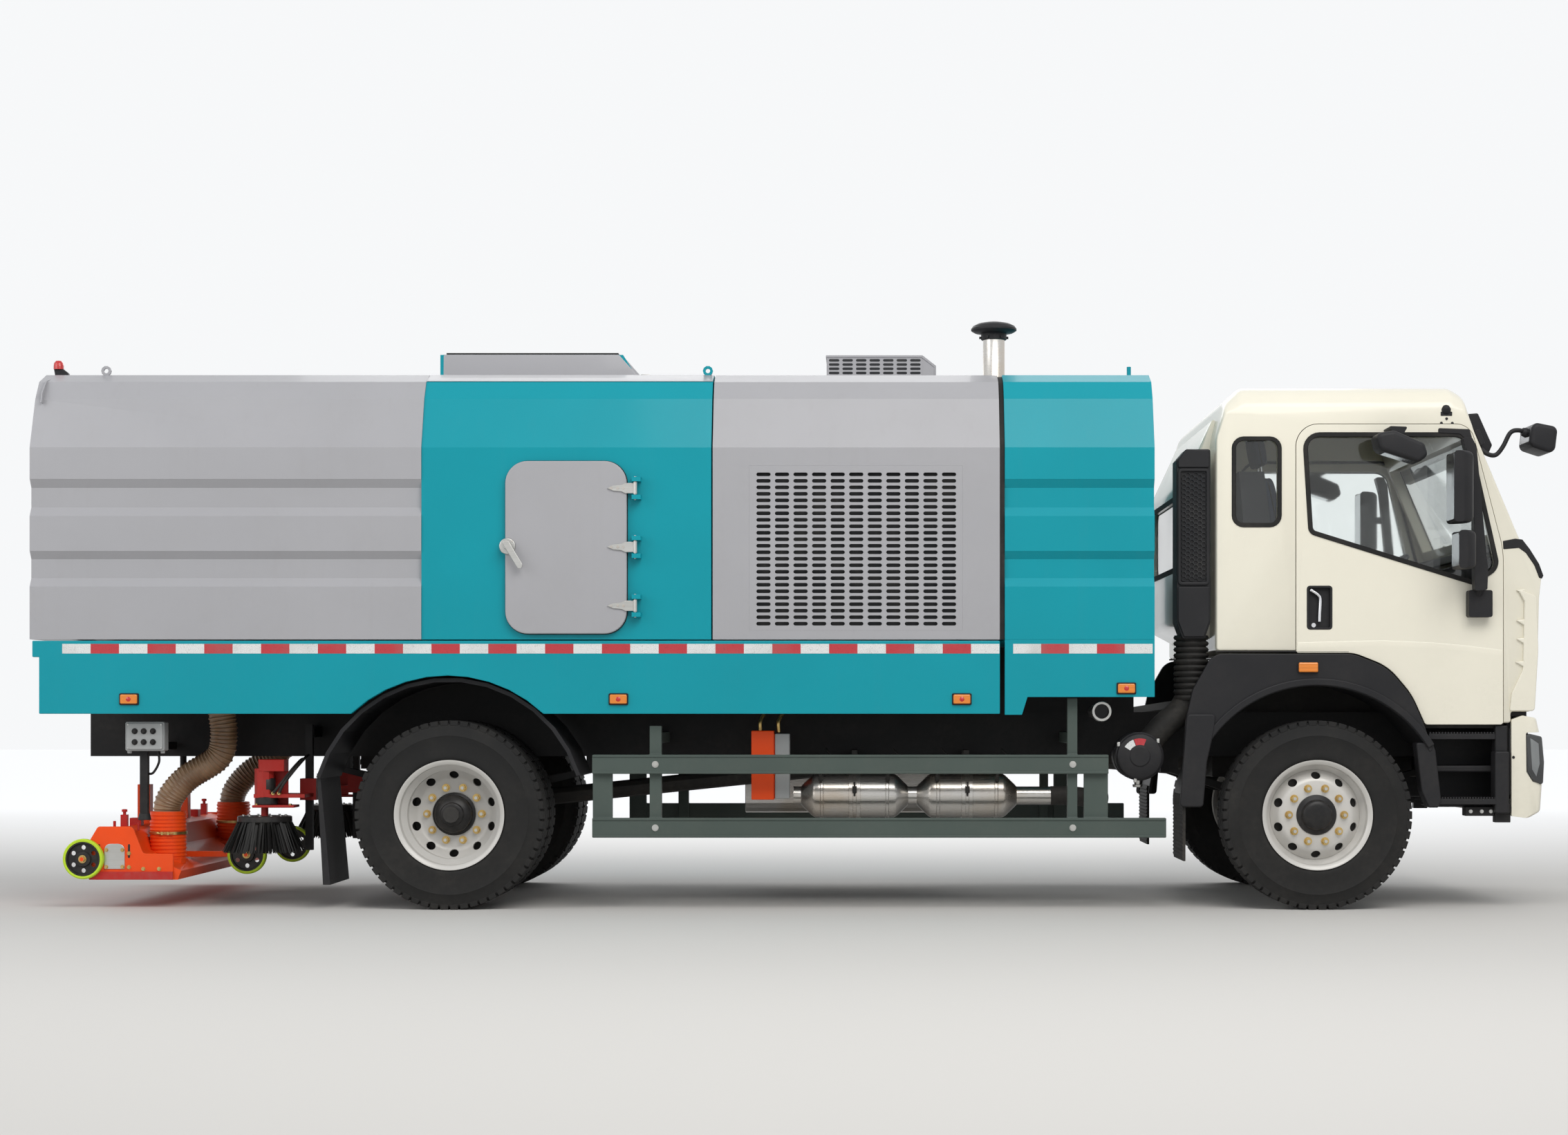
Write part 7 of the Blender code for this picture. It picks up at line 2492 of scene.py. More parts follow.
# %% Six-sided cells
def cell_tree():
    """A sheet of six-sided cells, every second column set half a cell up."""
    sizes = {"Columns": "Int", "Rows": "Int", "Size": "Float", "Wall": "Float", "Thickness": "Float"}
    sizes.update({"Place": "Vector", "Turn": "Vector", "Material": "Material"})
    given, add, join, close = new_tree("six-sided cells", sizes)
    inner = add("ShaderNodeMath", {0: given["Size"], 1: given["Wall"]}, operation="SUBTRACT")[0]
    rims = [
        add("GeometryNodeCurvePrimitiveCircle", {"Resolution": 6, "Radius": r})[0]
        for r in (given["Size"], inner)
    ]
    spans = []
    for label, share in (("Columns", 1.5), ("Rows", math.sqrt(3))):
        gaps = add("ShaderNodeMath", {0: given[label], 1: 1.0}, operation="SUBTRACT")[0]
        step = add("ShaderNodeMath", {0: given["Size"], 1: share}, operation="MULTIPLY")[0]
        spans.append(add("ShaderNodeMath", {0: gaps, 1: step}, operation="MULTIPLY")[0])
    grid = {
        "Size X": spans[0], "Size Y": spans[1], "Vertices X": given["Columns"],
        "Vertices Y": given["Rows"],
    }
    points = add("GeometryNodeMeshGrid", grid)[0]
    column = add(
        "ShaderNodeMath", {0: add("GeometryNodeInputIndex")[0], 1: given["Rows"]}, operation="DIVIDE",
    )[0]
    whole = add("ShaderNodeMath", {0: column}, operation="FLOOR")[0]
    odd = add("ShaderNodeMath", {0: whole, 1: 2.0}, operation="MODULO")[0]
    half = add("ShaderNodeMath", {0: odd, 1: math.sqrt(3) / 2}, operation="MULTIPLY")[0]
    rise = add("ShaderNodeMath", {0: half, 1: given["Size"]}, operation="MULTIPLY")[0]
    shifted = {"Geometry": points, "Offset": add("ShaderNodeCombineXYZ", {"Y": rise})[0]}
    return sheet_end(given, add, join, close, join(*rims), add("GeometryNodeSetPosition", shifted)[0])


CELLS = cell_tree()
print("tree:", CELLS.name)

# %% Ribbed tubes
def rib_tree():
    """A tube along a path with a round rib at every pitch."""
    sizes = {
        "Path": "Geometry", "Pitch": "Float", "Radius": "Float", "Rib": "Float", "Material": "Material",
    }
    given, add, join, close = new_tree("ribbed tube", sizes)
    curve = add("GeometryNodeMeshToCurve", {0: given["Path"]})[0]
    circle = add("GeometryNodeCurvePrimitiveCircle", {"Resolution": 40, "Radius": given["Radius"]})[0]
    tube = add(
        "GeometryNodeCurveToMesh", {"Curve": curve, "Profile Curve": circle, "Fill Caps": True},
    )[0]
    bead = add("GeometryNodeCurvePrimitiveCircle", {"Resolution": 6, "Radius": given["Rib"]})[0]
    ring = add("GeometryNodeCurveToMesh", {"Curve": circle, "Profile Curve": bead})[0]
    spots = add("GeometryNodeCurveToPoints", {"Curve": curve, "Length": given["Pitch"]}, mode="LENGTH")
    ribs = {"Points": spots[0], "Instance": ring, "Rotation": spots["Rotation"]}
    return close(join(tube, add("GeometryNodeInstanceOnPoints", ribs)[0]))


RIBS = rib_tree()
print("tree:", RIBS.name)


def ribbed(name, path, body, material, pitch, radius, rib, **more):
    """A ribbed tube along a path."""
    base = spots_mesh(name, path, [(i, i + 1) for i in range(len(path) - 1)])
    return grow(name, RIBS, body, material, base, Pitch=pitch, Radius=radius, Rib=rib, **more)


# %% Column
def intake_column():
    """The tall column with its raised frame."""
    shape = bmesh.new()
    column = [
        (2.10, 1.47), (2.222, 1.47), (2.253, 1.56), (2.253, 2.501), (2.12, 2.501), (2.068, 2.44),
        (2.068, 1.56),
    ]
    add_prism(shape, rounded(column, 0.014, 4), "y", (-1.108, -0.92))
    face = rectangle((2.092, 2.229), (1.778, 2.378))
    add_band(shape, rounded(face, 0.006, 3), 0.018, "y", (-1.120, -1.106))
    add_prism(
        shape,
        rounded(
            [(2.120, 2.50), (2.075, 2.437), (2.075, 2.40), (2.246, 2.40), (2.246, 2.495)], 0.008, 3,
        ),
        "y", (-1.120, -1.106),
    )
    add_prism(
        shape,
        rounded(
            [
                (2.108, 1.48), (2.218, 1.48), (2.246, 1.565), (2.246, 1.752), (2.075, 1.752),
                (2.075, 1.565),
            ],
            0.008, 3,
        ),
        "y", (-1.120, -1.106),
    )
    hidden = ("air_intake",)
    piece("intake_column", shape, BLACK, "chassis", 0.005, hides=hidden, segments=3)


# %% Honeycomb, bellows and pipe
def intake_honeycomb():
    """The six-sided cells in the column's mouth."""
    sizes = {"Columns": 6, "Rows": 23, "Size": 0.0145, "Wall": 0.0022, "Thickness": 0.009}
    place = {"Place": (2.161, -1.1075, 2.072), "Turn": (math.radians(90), 0, 0)}
    grow("intake_honeycomb", CELLS, "chassis", DARK_MESH_AND_SHADE, **sizes, **place)


def intake_pipe():
    """The bellows and the bent pipe down to the cleaner."""
    upright = [(2.16, -1.0, 1.15 + 0.0328 * i) for i in range(11)]
    ribbed("intake_bellows", upright, "chassis", SEAL, 0.0328, 0.083, 0.014)
    bellows = bmesh.new()
    pipe = smooth_path(
        [(1.915, -1.0, 0.88), (2.00, -1.0, 0.985), (2.10, -1.0, 1.075), (2.155, -1.0, 1.17)], 6,
    )
    add_sweep(bellows, pipe, 0.072, 24)
    piece("intake_pipe", bellows, SEAL, "chassis")


intake_column()
intake_honeycomb()
intake_pipe()
tell("intake")

# %% [markdown]
# ## Air cleaner and filler
# The cleaner is a drum lying across the truck, with a stepped cap, a bead where cap and drum
# meet, and clips round it. Beside it is an open filler tube. The drum is a turned profile, and
# the gauge in its cap is two sectors of a ring, each in its colour.

# %% Places of the cleaner and filler
CLEANER_X = 1.865
CLEANER_Z = 0.83
FILLER_X = 1.662
FILLER_Z = 1.074

# %% Drum
def air_cleaner():
    """The round cleaner with its cap's steps and bead."""
    drum = bmesh.new()
    profile = [
        (0, 1.16), (0.052, 1.160), (0.056, 1.154), (0.108, 1.150), (0.121, 1.142), (0.124, 1.128),
        (0.132, 1.122),
    ]
    profile += [
        (0.132, 1.104), (0.125, 1.100), (0.125, 0.99), (0.130, 0.985), (0.130, 0.97), (0.125, 0.965),
    ]
    profile += [(0.125, 0.815), (0.108, 0.80), (0, 0.80)]
    add_lathe(drum, profile, (CLEANER_X, 0, CLEANER_Z), (0, -1, 0), 64)
    add_box(drum, (1.825, 1.905), (-0.82, -0.49), (0.84, 0.92))
    piece("air_cleaner", drum, BLACK, "chassis", 0.002)


# %% Drain, clips and gauge
def cleaner_fittings():
    """The drain, the clips and the two colours of the gauge."""
    fittings = bmesh.new()
    add_rod(fittings, (CLEANER_X, -1.02, 0.715), (CLEANER_X, -1.02, 0.672), 0.022, 0.018, 6)
    add_rod(fittings, (CLEANER_X, -1.02, 0.675), (CLEANER_X, -1.02, 0.660), 0.028, 0.026, 24)
    for turn in (40, 150, 260):
        a = math.radians(turn)
        x, z = CLEANER_X + 0.131 * math.cos(a), CLEANER_Z + 0.131 * math.sin(a)
        add_box(fittings, (x - 0.008, x + 0.008), (-1.132, -1.095), (z - 0.012, z + 0.012))
    piece("cleaner_clips", fittings, ZINC, "chassis", 0.002)
    for label, material, start, end in (("white", TAPE_WHITE, 112, 148), ("red", TAPE_RED, 70, 110)):
        gauge = bmesh.new()
        sector = arc_line(
            (CLEANER_X, CLEANER_Z), 0.098, start, end, 14,
        ) + arc_line((CLEANER_X, CLEANER_Z), 0.050, end, start, 14)
        add_prism(gauge, sector, "y", (-1.1535, -1.150))
        piece(f"cleaner_gauge_{label}", gauge, material, "chassis")


# %% Filler tube
def filler_tube():
    """The filler tube beside the cleaner, its open mouth filled by a black disc of painted shade."""
    ring = bmesh.new()
    add_lathe(
        ring,
        [(0.036, 1.10), (0.040, 1.108), (0.052, 1.108), (0.056, 1.10), (0.056, 1.06), (0.036, 1.06)],
        (FILLER_X, 0, FILLER_Z), (0, -1, 0), 40,
    )
    add_rod(ring, (FILLER_X, -1.065, FILLER_Z), (FILLER_X, -0.60, FILLER_Z), 0.036)
    piece("filler_ring", ring, ZINC, "chassis")
    # Painted shade: a black disc in the mouth stands for the tube's shaded inside
    hollow = bmesh.new()
    add_rod(hollow, (FILLER_X, -1.085, FILLER_Z), (FILLER_X, -1.08, FILLER_Z), 0.0355)
    piece("filler_inside", hollow, CAP_AND_SHADE, "chassis")


air_cleaner()
cleaner_fittings()
filler_tube()
tell("cleaner and filler")

# %% [markdown]
# ## Exhaust canisters
# Two stainless canisters hang in line under the frame, with rolled seams, a clamp in the middle
# of each and a sensor with its wire at every end. One long turned profile makes both with the
# neck between them, so no joint can open, and its seams come from a loop over the same few steps.

# %% Places of the canisters
CANISTER_Y = -0.86
CANISTER_Z = 0.609
CANISTER_ENDS = ((0.017, 0.616), (0.656, 1.215))

# %% Canisters
def canister_pair():
    """The two canisters in line, with seams and clamp bands."""
    y, z = CANISTER_Y, CANISTER_Z
    profile = [(0, -0.02), (0.050, -0.02)]
    for low, high in CANISTER_ENDS:
        middle = (low + high) / 2
        profile += [
            (0.050, low + 0.004), (0.060, low + 0.012), (0.112, low + 0.066), (0.121, low + 0.082),
        ]
        for seam_x in (low + 0.12, high - 0.12):
            profile += [
                (0.121, seam_x - 0.010), (0.1245, seam_x - 0.007), (0.1245, seam_x + 0.007),
                (0.121, seam_x + 0.010),
            ]
            if seam_x < middle:
                profile += [(0.121, middle - 0.032), (0.128, middle - 0.030), (0.128, middle - 0.010)]
                profile += [(0.124, middle - 0.008), (0.124, middle + 0.008), (0.128, middle + 0.010)]
                profile += [(0.128, middle + 0.030), (0.121, middle + 0.032)]
        profile += [
            (0.121, high - 0.082), (0.112, high - 0.066), (0.060, high - 0.012), (0.050, high - 0.004),
        ]
    profile += [(0.050, 1.42), (0, 1.42)]
    shape = bmesh.new()
    add_lathe(shape, profile, (0, y, z), (1, 0, 0), 64)
    piece("canisters", shape, STEEL, "chassis", hides=("exhaust_canisters",))


# %% Clamps and wires
def canister_clamps():
    """The clamp bolts, straps, sensors and their wires."""
    y, z = CANISTER_Y, CANISTER_Z
    clamps = bmesh.new()
    for middle in (0.3165, 0.9355):
        add_box(clamps, (middle - 0.012, middle + 0.012), (y - 0.150, y - 0.110), (z + 0.02, z + 0.055))
        add_rod(clamps, (middle, y - 0.14, z + 0.0), (middle, y - 0.14, z + 0.08), 0.005, sides=10)
        add_box(clamps, (middle - 0.015, middle + 0.015), (y, -0.49), (z + 0.08, 0.86))
    for x in (0.13, 0.50, 0.77, 1.10):
        add_rod(clamps, (x, y - 0.10, z + 0.085), (x, y - 0.125, z + 0.115), 0.012, 0.010, 6)
        wire = smooth_path(
            [
                (x, y - 0.122, z + 0.112), (x + 0.02, y - 0.14, z + 0.15),
                (x + 0.06, y - 0.08, z + 0.21), (x + 0.03, y + 0.05, z + 0.26),
            ],
            5,
        )
        add_sweep(clamps, wire, 0.004, 8)
    piece("canister_clamps", clamps, CAST, "chassis", 0.001)


# %% Pipe
def canister_pipe():
    """The pipe that leaves the front canister."""
    y, z = CANISTER_Y, CANISTER_Z
    tail = bmesh.new()
    add_sweep(
        tail,
        smooth_path(
            [(1.40, y, z), (1.50, y, z), (1.60, y + 0.03, z - 0.01), (1.70, y + 0.08, z - 0.02)], 5,
        ),
        0.052, 24,
    )
    piece("canister_pipe", tail, CAST, "chassis")


canister_pair()
canister_clamps()
canister_pipe()
tell("canisters")

# %% [markdown]
# ## Stack
# The auxiliary engine's stack stands through the bay's roof with a collar, and a mushroom cap
# keeps the rain out. Both are turned profiles about one upright axis, and six small bolts round
# the cap's neck are placed by their angle.

# %% Tube
STACK_X = 1.099
STACK_Y = -0.60


def stack_tube():
    """The stainless tube and its collar."""
    centre = (STACK_X, STACK_Y, 0)
    tube_shape = bmesh.new()
    profile = [
        (0, 2.931), (0.10, 2.931), (0.10, 2.943), (0.066, 2.945), (0.061, 2.952), (0.061, 3.190),
        (0, 3.190),
    ]
    add_lathe(tube_shape, profile, centre, (0, 0, 1), 56)
    piece("stack_tube", tube_shape, STEEL, "chassis", hides=("exhaust_stack",))


# %% Cap
def stack_cap():
    """The rain cap with six bolts."""
    centre = (STACK_X, STACK_Y, 0)
    cap = bmesh.new()
    profile = [
        (0, 3.266), (0.040, 3.264), (0.090, 3.254), (0.118, 3.240), (0.124, 3.230), (0.128, 3.226),
        (0.128, 3.216),
    ]
    profile += [
        (0.122, 3.212), (0.108, 3.204), (0.078, 3.200), (0.072, 3.196), (0.072, 3.166), (0.066, 3.162),
        (0, 3.162),
    ]
    add_lathe(cap, profile, centre, (0, 0, 1), 56)
    for turn in range(6):
        a = math.radians(60 * turn)
        out = Vector((math.cos(a), math.sin(a), 0))
        add_rod(
            cap, Vector((STACK_X, STACK_Y, 3.176)) + out * 0.070,
            Vector((STACK_X, STACK_Y, 3.176)) + out * 0.082, 0.007, sides=10,
        )
    piece("stack_cap", cap, BLACK, "chassis")


stack_tube()
stack_cap()
tell("stack")

# %% [markdown]
# ## Switch box
# A gray box with six round buttons hangs on a post behind the rear wheel, where the operator
# stands to work the nozzle and brushes. Each button is a flat ring with a smaller one on it,
# which reads as a push button even when it is small in the view.

# %% Box
def switch_box():
    """The box and its raised front."""
    box_shape = bmesh.new()
    line = rounded(rectangle((-3.638, -3.426), (0.860, 1.018)), 0.010)
    add_prism(box_shape, line, "y", (-1.148, -1.06))
    add_prism(
        box_shape, rounded(rectangle((-3.630, -3.434), (0.868, 1.010)), 0.008), "y", (-1.156, -1.147),
    )
    for x in (-3.622, -3.442):
        add_rod(box_shape, (x, -1.12, 0.846), (x, -1.12, 0.864), 0.012, sides=16)
    piece(
        "switch_box", box_shape, BOX_GRAY, "chassis", 0.003, hides=("control_box",),
    )


# %% Buttons and screws
def switch_buttons():
    """Six buttons, and a screw in each corner."""
    buttons = bmesh.new()
    screws = bmesh.new()
    for x in (-3.585, -3.536, -3.486):
        for z in (0.908, 0.967):
            add_rod(buttons, (x, -1.155, z), (x, -1.162, z), 0.0165, 0.0155, 28)
            add_rod(buttons, (x, -1.160, z), (x, -1.172, z), 0.0105, 0.0095, 24)
    for x in (-3.622, -3.442):
        for z in (0.876, 1.002):
            add_rod(screws, (x, -1.155, z), (x, -1.159, z), 0.005, 0.004, 16)
    piece("switch_buttons", buttons, CAP_AND_SHADE, "chassis", 0.001)
    piece("switch_screws", screws, ZINC, "chassis")


# %% Post and cable
def switch_post():
    """The post, the arm and the cable."""
    post = bmesh.new()
    add_box(post, (-3.572, -3.528), (-1.105, -1.065), (0.483, 0.862))
    add_rod(post, (-3.55, -1.085, 0.483), (-3.55, -1.085, 0.52), 0.036, 0.028, 24)
    add_box(post, (-3.574, -3.526), (-1.09, -0.49), (0.860, 0.902))
    cable = smooth_path(
        [(-3.47, -1.11, 0.862), (-3.465, -1.11, 0.80), (-3.50, -1.10, 0.74), (-3.545, -1.06, 0.735)], 6,
    )
    add_sweep(post, cable, 0.0065, 10)
    piece("switch_post", post, FRAME, "chassis", 0.003)


switch_box()
switch_buttons()
switch_post()
tell("switch box")

# %% [markdown]
# ## Suction hoses
# A wide brown hose leads from each duct down to the nozzle. Its wall is a soft plastic with a
# stiff helix, a little light passes through, and dirt stains it inside. The path is a smooth
# curve through given points, and the ribbed tree puts a bead at every pitch. A bump alone
# would leave the outline straight. The top end is fixed, and the foot slides in the cuff when the
# nozzle goes down.

# %% Hose wall
def hose_finish():
    """Translucent brown hose wall with a darker helix, stained inside."""
    material, shader = new_material("brown hose", 0.42, coat=0.15)
    add, link = node_maker(material)
    place = add("TexCoord").outputs["Object"]
    stain = ramp(add, link, noise(add, link, place, 7, 6), 0.35, 0.7)
    link(
        blended(add, link, stain, (0.20, 0.115, 0.06), (0.42, 0.27, 0.155)),
        shader.inputs["Base Color"],
    )
    shader.inputs["Subsurface Weight"].default_value = 0.25
    shader.inputs["Subsurface Radius"].default_value = (0.02, 0.012, 0.006)
    return material


HOSE = hose_finish()
print("finish:", HOSE.name)

# %% Where the hoses run
HOSE_Y = 0.78
HOSE_FOOT_X = -3.50
HOSE_TOP_X = -3.20
print("a hose leans", round(HOSE_TOP_X - HOSE_FOOT_X, 3), "m")

# %% Hose and its clamp
def hose(name, side):
    """The ribbed hose along its bend from the duct down to the nozzle's cuff."""
    y = side * HOSE_Y
    knots = [
        (HOSE_FOOT_X, y, 0.345), (HOSE_FOOT_X, y, 0.45), (HOSE_FOOT_X, y, 0.57), (-3.40, y, 0.70),
        (-3.22, y, 0.82),
    ]
    knots += [(-3.19, y, 0.95), (HOSE_TOP_X, y, 1.045), (HOSE_TOP_X, y, 1.082)]
    path = smooth_path(knots, 8)
    hidden = (f"suction_hose_{name}",)
    ribbed(f"hose_{name}", path, "chassis", HOSE, 0.0205, 0.0705, 0.0062, hides=hidden, slot="hose")
    clamp = bmesh.new()
    add_lathe(
        clamp, [(0.076, -0.012), (0.093, -0.012), (0.094, 0.012), (0.076, 0.012)],
        (HOSE_TOP_X, y, 1.080), (0, 0, 1), 48,
    )
    piece(f"hose_top_clamp_{name}", clamp, ZINC, "chassis")


for name, side in SIDES:
    hose(name, side)
tell("hoses")

# %% [markdown]
# ## Cuffs
# At its foot each hose stands in a red rubber sleeve with twelve ribs, held by a band clamp with
# its screw. The sleeve is a hollow turned profile. It rides on the nozzle and leaves room for the
# hose inside, so that neither cuts into the other as the nozzle moves.

# %% Sleeve
def cuff_sleeve(name, side):
    """The red sleeve with its twelve ribs."""
    y = side * HOSE_Y
    shape = bmesh.new()
    profile = [(0.0905, 0.255), (0.0965, 0.257)]
    for i in range(12):
        z = 0.268 + i * 0.0205
        profile += [(0.0965, z), (0.1010, z + 0.004), (0.1010, z + 0.010), (0.0965, z + 0.014)]
    profile += [(0.0965, 0.518), (0.0905, 0.520)]
    add_lathe(shape, profile, (HOSE_FOOT_X, y, 0), (0, 0, 1), 56)
    piece(f"cuff_{name}", shape, ORANGE, "nozzle")


# %% Band
def cuff_band(name, side):
    """The band clamp with its screw."""
    y = side * HOSE_Y
    band = bmesh.new()
    add_lathe(
        band, [(0.1012, 0.392), (0.1040, 0.392), (0.1040, 0.408), (0.1012, 0.408)], (HOSE_FOOT_X, y, 0),
        (0, 0, 1), 56,
    )
    out = side * 0.106
    add_rod(band, (-3.535, y + out, 0.400), (-3.445, y + out, 0.400), 0.005, sides=12)
    add_rod(band, (-3.535, y + out, 0.400), (-3.522, y + out, 0.400), 0.010, sides=6)
    add_box(
        band, (-3.512, -3.500),
        (min(y + out - 0.008, y + out + 0.008), max(y + out - 0.008, y + out + 0.008)), (0.391, 0.409),
    )
    add_box(
        band, (-3.478, -3.466),
        (min(y + out - 0.008, y + out + 0.008), max(y + out - 0.008, y + out + 0.008)), (0.391, 0.409),
    )
    piece(f"cuff_band_{name}", band, BRASS, "nozzle", 0.001)


for name, side in SIDES:
    cuff_sleeve(name, side)
    cuff_band(name, side)
tell("cuffs")

# %% [markdown]
# ## Nozzle ends
# The suction nozzle is a full-width box close to the ground, and its ends carry bolted plates,
# slots for adjustment, a rubber skirt and screws on the sloping deck. These are what the eye
# finds first on it, so each is a real solid on the painted box.

# %% Red plastic
RED = surface("red plastic", (0.50, 0.012, 0.010), 0.38, dust=0.16, low=(0.1, 0.9, 0.16))
print("finish:", RED.name)

# %% The nozzle's end face
NOZZLE_FACE_Y = 1.05
print("nozzle width:", 2 * NOZZLE_FACE_Y, "m")

# %% End plates
def nozzle_cheek(name, side):
    """The end plate and the small plate on it."""
    face = NOZZLE_FACE_Y
    cheek = bmesh.new()
    line = [
        (-3.868, 0.196, 0.008), (-3.868, 0.352, 0.01), (-3.812, 0.446, 0.02), (-3.622, 0.446, 0.03),
        (-3.566, 0.298, 0.02),
    ]
    line += [(-3.402, 0.298, 0.008), (-3.402, 0.196, 0.008)]
    add_prism(cheek, rounded(line, 0.01), "y", sided(side, face - 0.002, face + 0.010))
    piece(f"nozzle_cheek_{name}", cheek, ORANGE, "nozzle", 0.003)
    plate = bmesh.new()
    line = [
        (-3.777, 0.214, 0.006), (-3.777, 0.352, 0.035), (-3.665, 0.352, 0.035), (-3.665, 0.214, 0.006),
    ]
    add_prism(plate, rounded(line, 0.01), "y", sided(side, face + 0.009, face + 0.014))
    piece(f"nozzle_plate_{name}", plate, ZINC, "nozzle", 0.0015)


# %% Bolts and slots
def nozzle_bolts(name, side):
    """The bolts of both plates, and the slots that they slide in."""
    face = NOZZLE_FACE_Y
    axis = "+y" if side > 0 else "-y"
    spots = [(x, side * (face + 0.014), z) for x in (-3.765, -3.677) for z in (0.318, 0.226)]
    low_row = (
        (-3.852, 0.222), (-3.806, 0.224), (-3.806, 0.300), (-3.642, 0.300), (-3.642, 0.224),
        (-3.564, 0.215),
    )
    spots += [(x, side * (face + 0.010), z) for x, z in (*low_row, (-3.478, 0.215))]
    bolts(f"nozzle_bolts_{name}", spots, axis, "nozzle", BRASS, 0.0085, 0.009)
    slots = bmesh.new()
    for x in (-3.806, -3.642):
        add_prism(
            slots, rounded(rectangle((x - 0.006, x + 0.006), (0.274, 0.350)), 0.0058, 4), "y",
            sided(side, face + 0.0098, face + 0.0106),
        )
    piece(f"nozzle_slots_{name}", slots, SEAL, "nozzle")


# %% Skirt and adjusters
def nozzle_skirt(name, side):
    """The red skirt under the end plate."""
    face = NOZZLE_FACE_Y
    skirt = bmesh.new()
    line = [(-3.866, 0.200), (-3.858, 0.156), (-3.40, 0.156), (-3.402, 0.200)]
    add_prism(skirt, line, "y", sided(side, face + 0.0105, face + 0.020))
    piece(f"nozzle_skirt_{name}", skirt, RED, "nozzle", 0.002)


def nozzle_adjusters(name, side):
    """The screws and lugs on the sloping deck."""
    adjuster = bmesh.new()
    add_box(adjuster, (-3.742, -3.678), sided(side, 0.62, 0.68), (0.430, 0.478))
    add_rod(adjuster, (-3.71, side * 0.90, 0.43), (-3.71, side * 0.90, 0.535), 0.009, sides=12)
    add_box(adjuster, (-3.728, -3.692), sided(side, 0.882, 0.918), (0.43, 0.505))
    add_rod(adjuster, (-3.71, side * 0.90, 0.520), (-3.71, side * 0.90, 0.534), 0.016, sides=6)
    add_rod(adjuster, (-3.765, side * 0.90, 0.43), (-3.765, side * 0.90, 0.47), 0.008, sides=12)
    add_rod(adjuster, (-3.62, side * 0.95, 0.42), (-3.62, side * 0.95, 0.462), 0.006, sides=12)
    piece(f"nozzle_adjuster_{name}", adjuster, RED, "nozzle", 0.001)


for name, side in SIDES:
    nozzle_cheek(name, side)
    nozzle_bolts(name, side)
    nozzle_skirt(name, side)
    nozzle_adjusters(name, side)
tell("nozzle ends")

# %% [markdown]
# ## Castor wheels of the nozzle
# The nozzle rolls on four small wheels with bright lime tyres on black hubs, each with six round
# holes and a brass-coloured nut. Tyre and hub are turned profiles on the wheel's own body, and
# the nut belongs to the nozzle, since the axle doesn't turn.

# %% Lime rubber
LIME = surface("lime rubber", (0.52, 0.74, 0.030), 0.55, dust=0.08, low=(0.1, 0.6, 0.08))
print("finish:", LIME.name)

# %% Places of the castors
CASTOR_Z = 0.27
REAR_CASTOR = (-3.885, 1.072)
FRONT_CASTOR = (-3.10, 0.60)

# %% One wheel
def gear_wheel(name, body, x, distance, side, node):
    """A lime-tyred castor wheel: dark hub with round holes, brass-coloured axle nut."""
    centre = Vector((x, side * distance, CASTOR_Z))
    rim_shape = bmesh.new()
    profile = [
        (0.094, -0.012), (0.103, -0.014), (0.1085, -0.010), (0.110, -0.002), (0.110, 0.014),
        (0.1085, 0.022),
    ]
    profile += [(0.103, 0.026), (0.094, 0.024)]
    add_lathe(rim_shape, profile, centre, (0, side, 0), 72)
    piece(f"wheel_{name}", rim_shape, LIME, body, hides=(node,))
    hub = bmesh.new()
    profile = [
        (0.013, -0.008), (0.040, -0.008), (0.044, -0.002), (0.082, -0.002), (0.086, -0.010),
        (0.0945, -0.010),
    ]
    profile += [
        (0.0945, 0.022), (0.086, 0.022), (0.082, 0.008), (0.044, 0.008), (0.040, 0.024), (0.013, 0.026),
    ]
    add_lathe(hub, profile, centre, (0, side, 0), 64)
    disc = piece(f"hub_{name}", hub, CAP_AND_SHADE, body)
    holes = bmesh.new()
    for i in range(6):
        turn = 2 * math.pi * (i + 0.5) / 6
        spot = centre + Vector((math.cos(turn) * 0.063, 0, math.sin(turn) * 0.063))
        add_rod(holes, spot - Vector((0, 0.05, 0)), spot + Vector((0, 0.05, 0)), 0.0125, sides=20)
    cut(disc, holes)
    nut = bmesh.new()
    add_rod(
        nut, centre + Vector((0, side * 0.026, 0)), centre + Vector((0, side * 0.030, 0)), 0.022,
        sides=24,
    )
    add_rod(
        nut, centre + Vector((0, side * 0.030, 0)), centre + Vector((0, side * 0.044, 0)), 0.0165,
        0.0155, 6,
    )
    piece(f"axle_nut_{name}", nut, BRASS, "nozzle")


for name, side in SIDES:
    rear, front = f"nozzle_wheel_rear_{name}", f"nozzle_wheel_front_{name}"
    gear_wheel(f"rear_{name}", rear, *REAR_CASTOR, side, rear)
    gear_wheel(f"front_{name}", front, *FRONT_CASTOR, side, front)
tell("castor wheels")

# %% [markdown]
# ## Side brushes
# Each brush is a disc with hundreds of stiff black strands that flare out to the ground. Hair
# curves suit thin soft strands, and a solid cone looks like a bell. The tree turns each strand's
# place by the golden angle, which spreads them evenly, and scatters its lean a little by a fixed
# seed.

# %% Places of the brushes
BRUSH_X = -2.93
BRUSH_Y = 0.93
BRUSH_TOP_Z = 0.50
GOLDEN_ANGLE = 2.39996

# %% Strands
BRISTLE = surface("bristles", (0.012, 0.012, 0.012), 0.5, dust=0.06, low=(0.0, 0.6, 0.06))


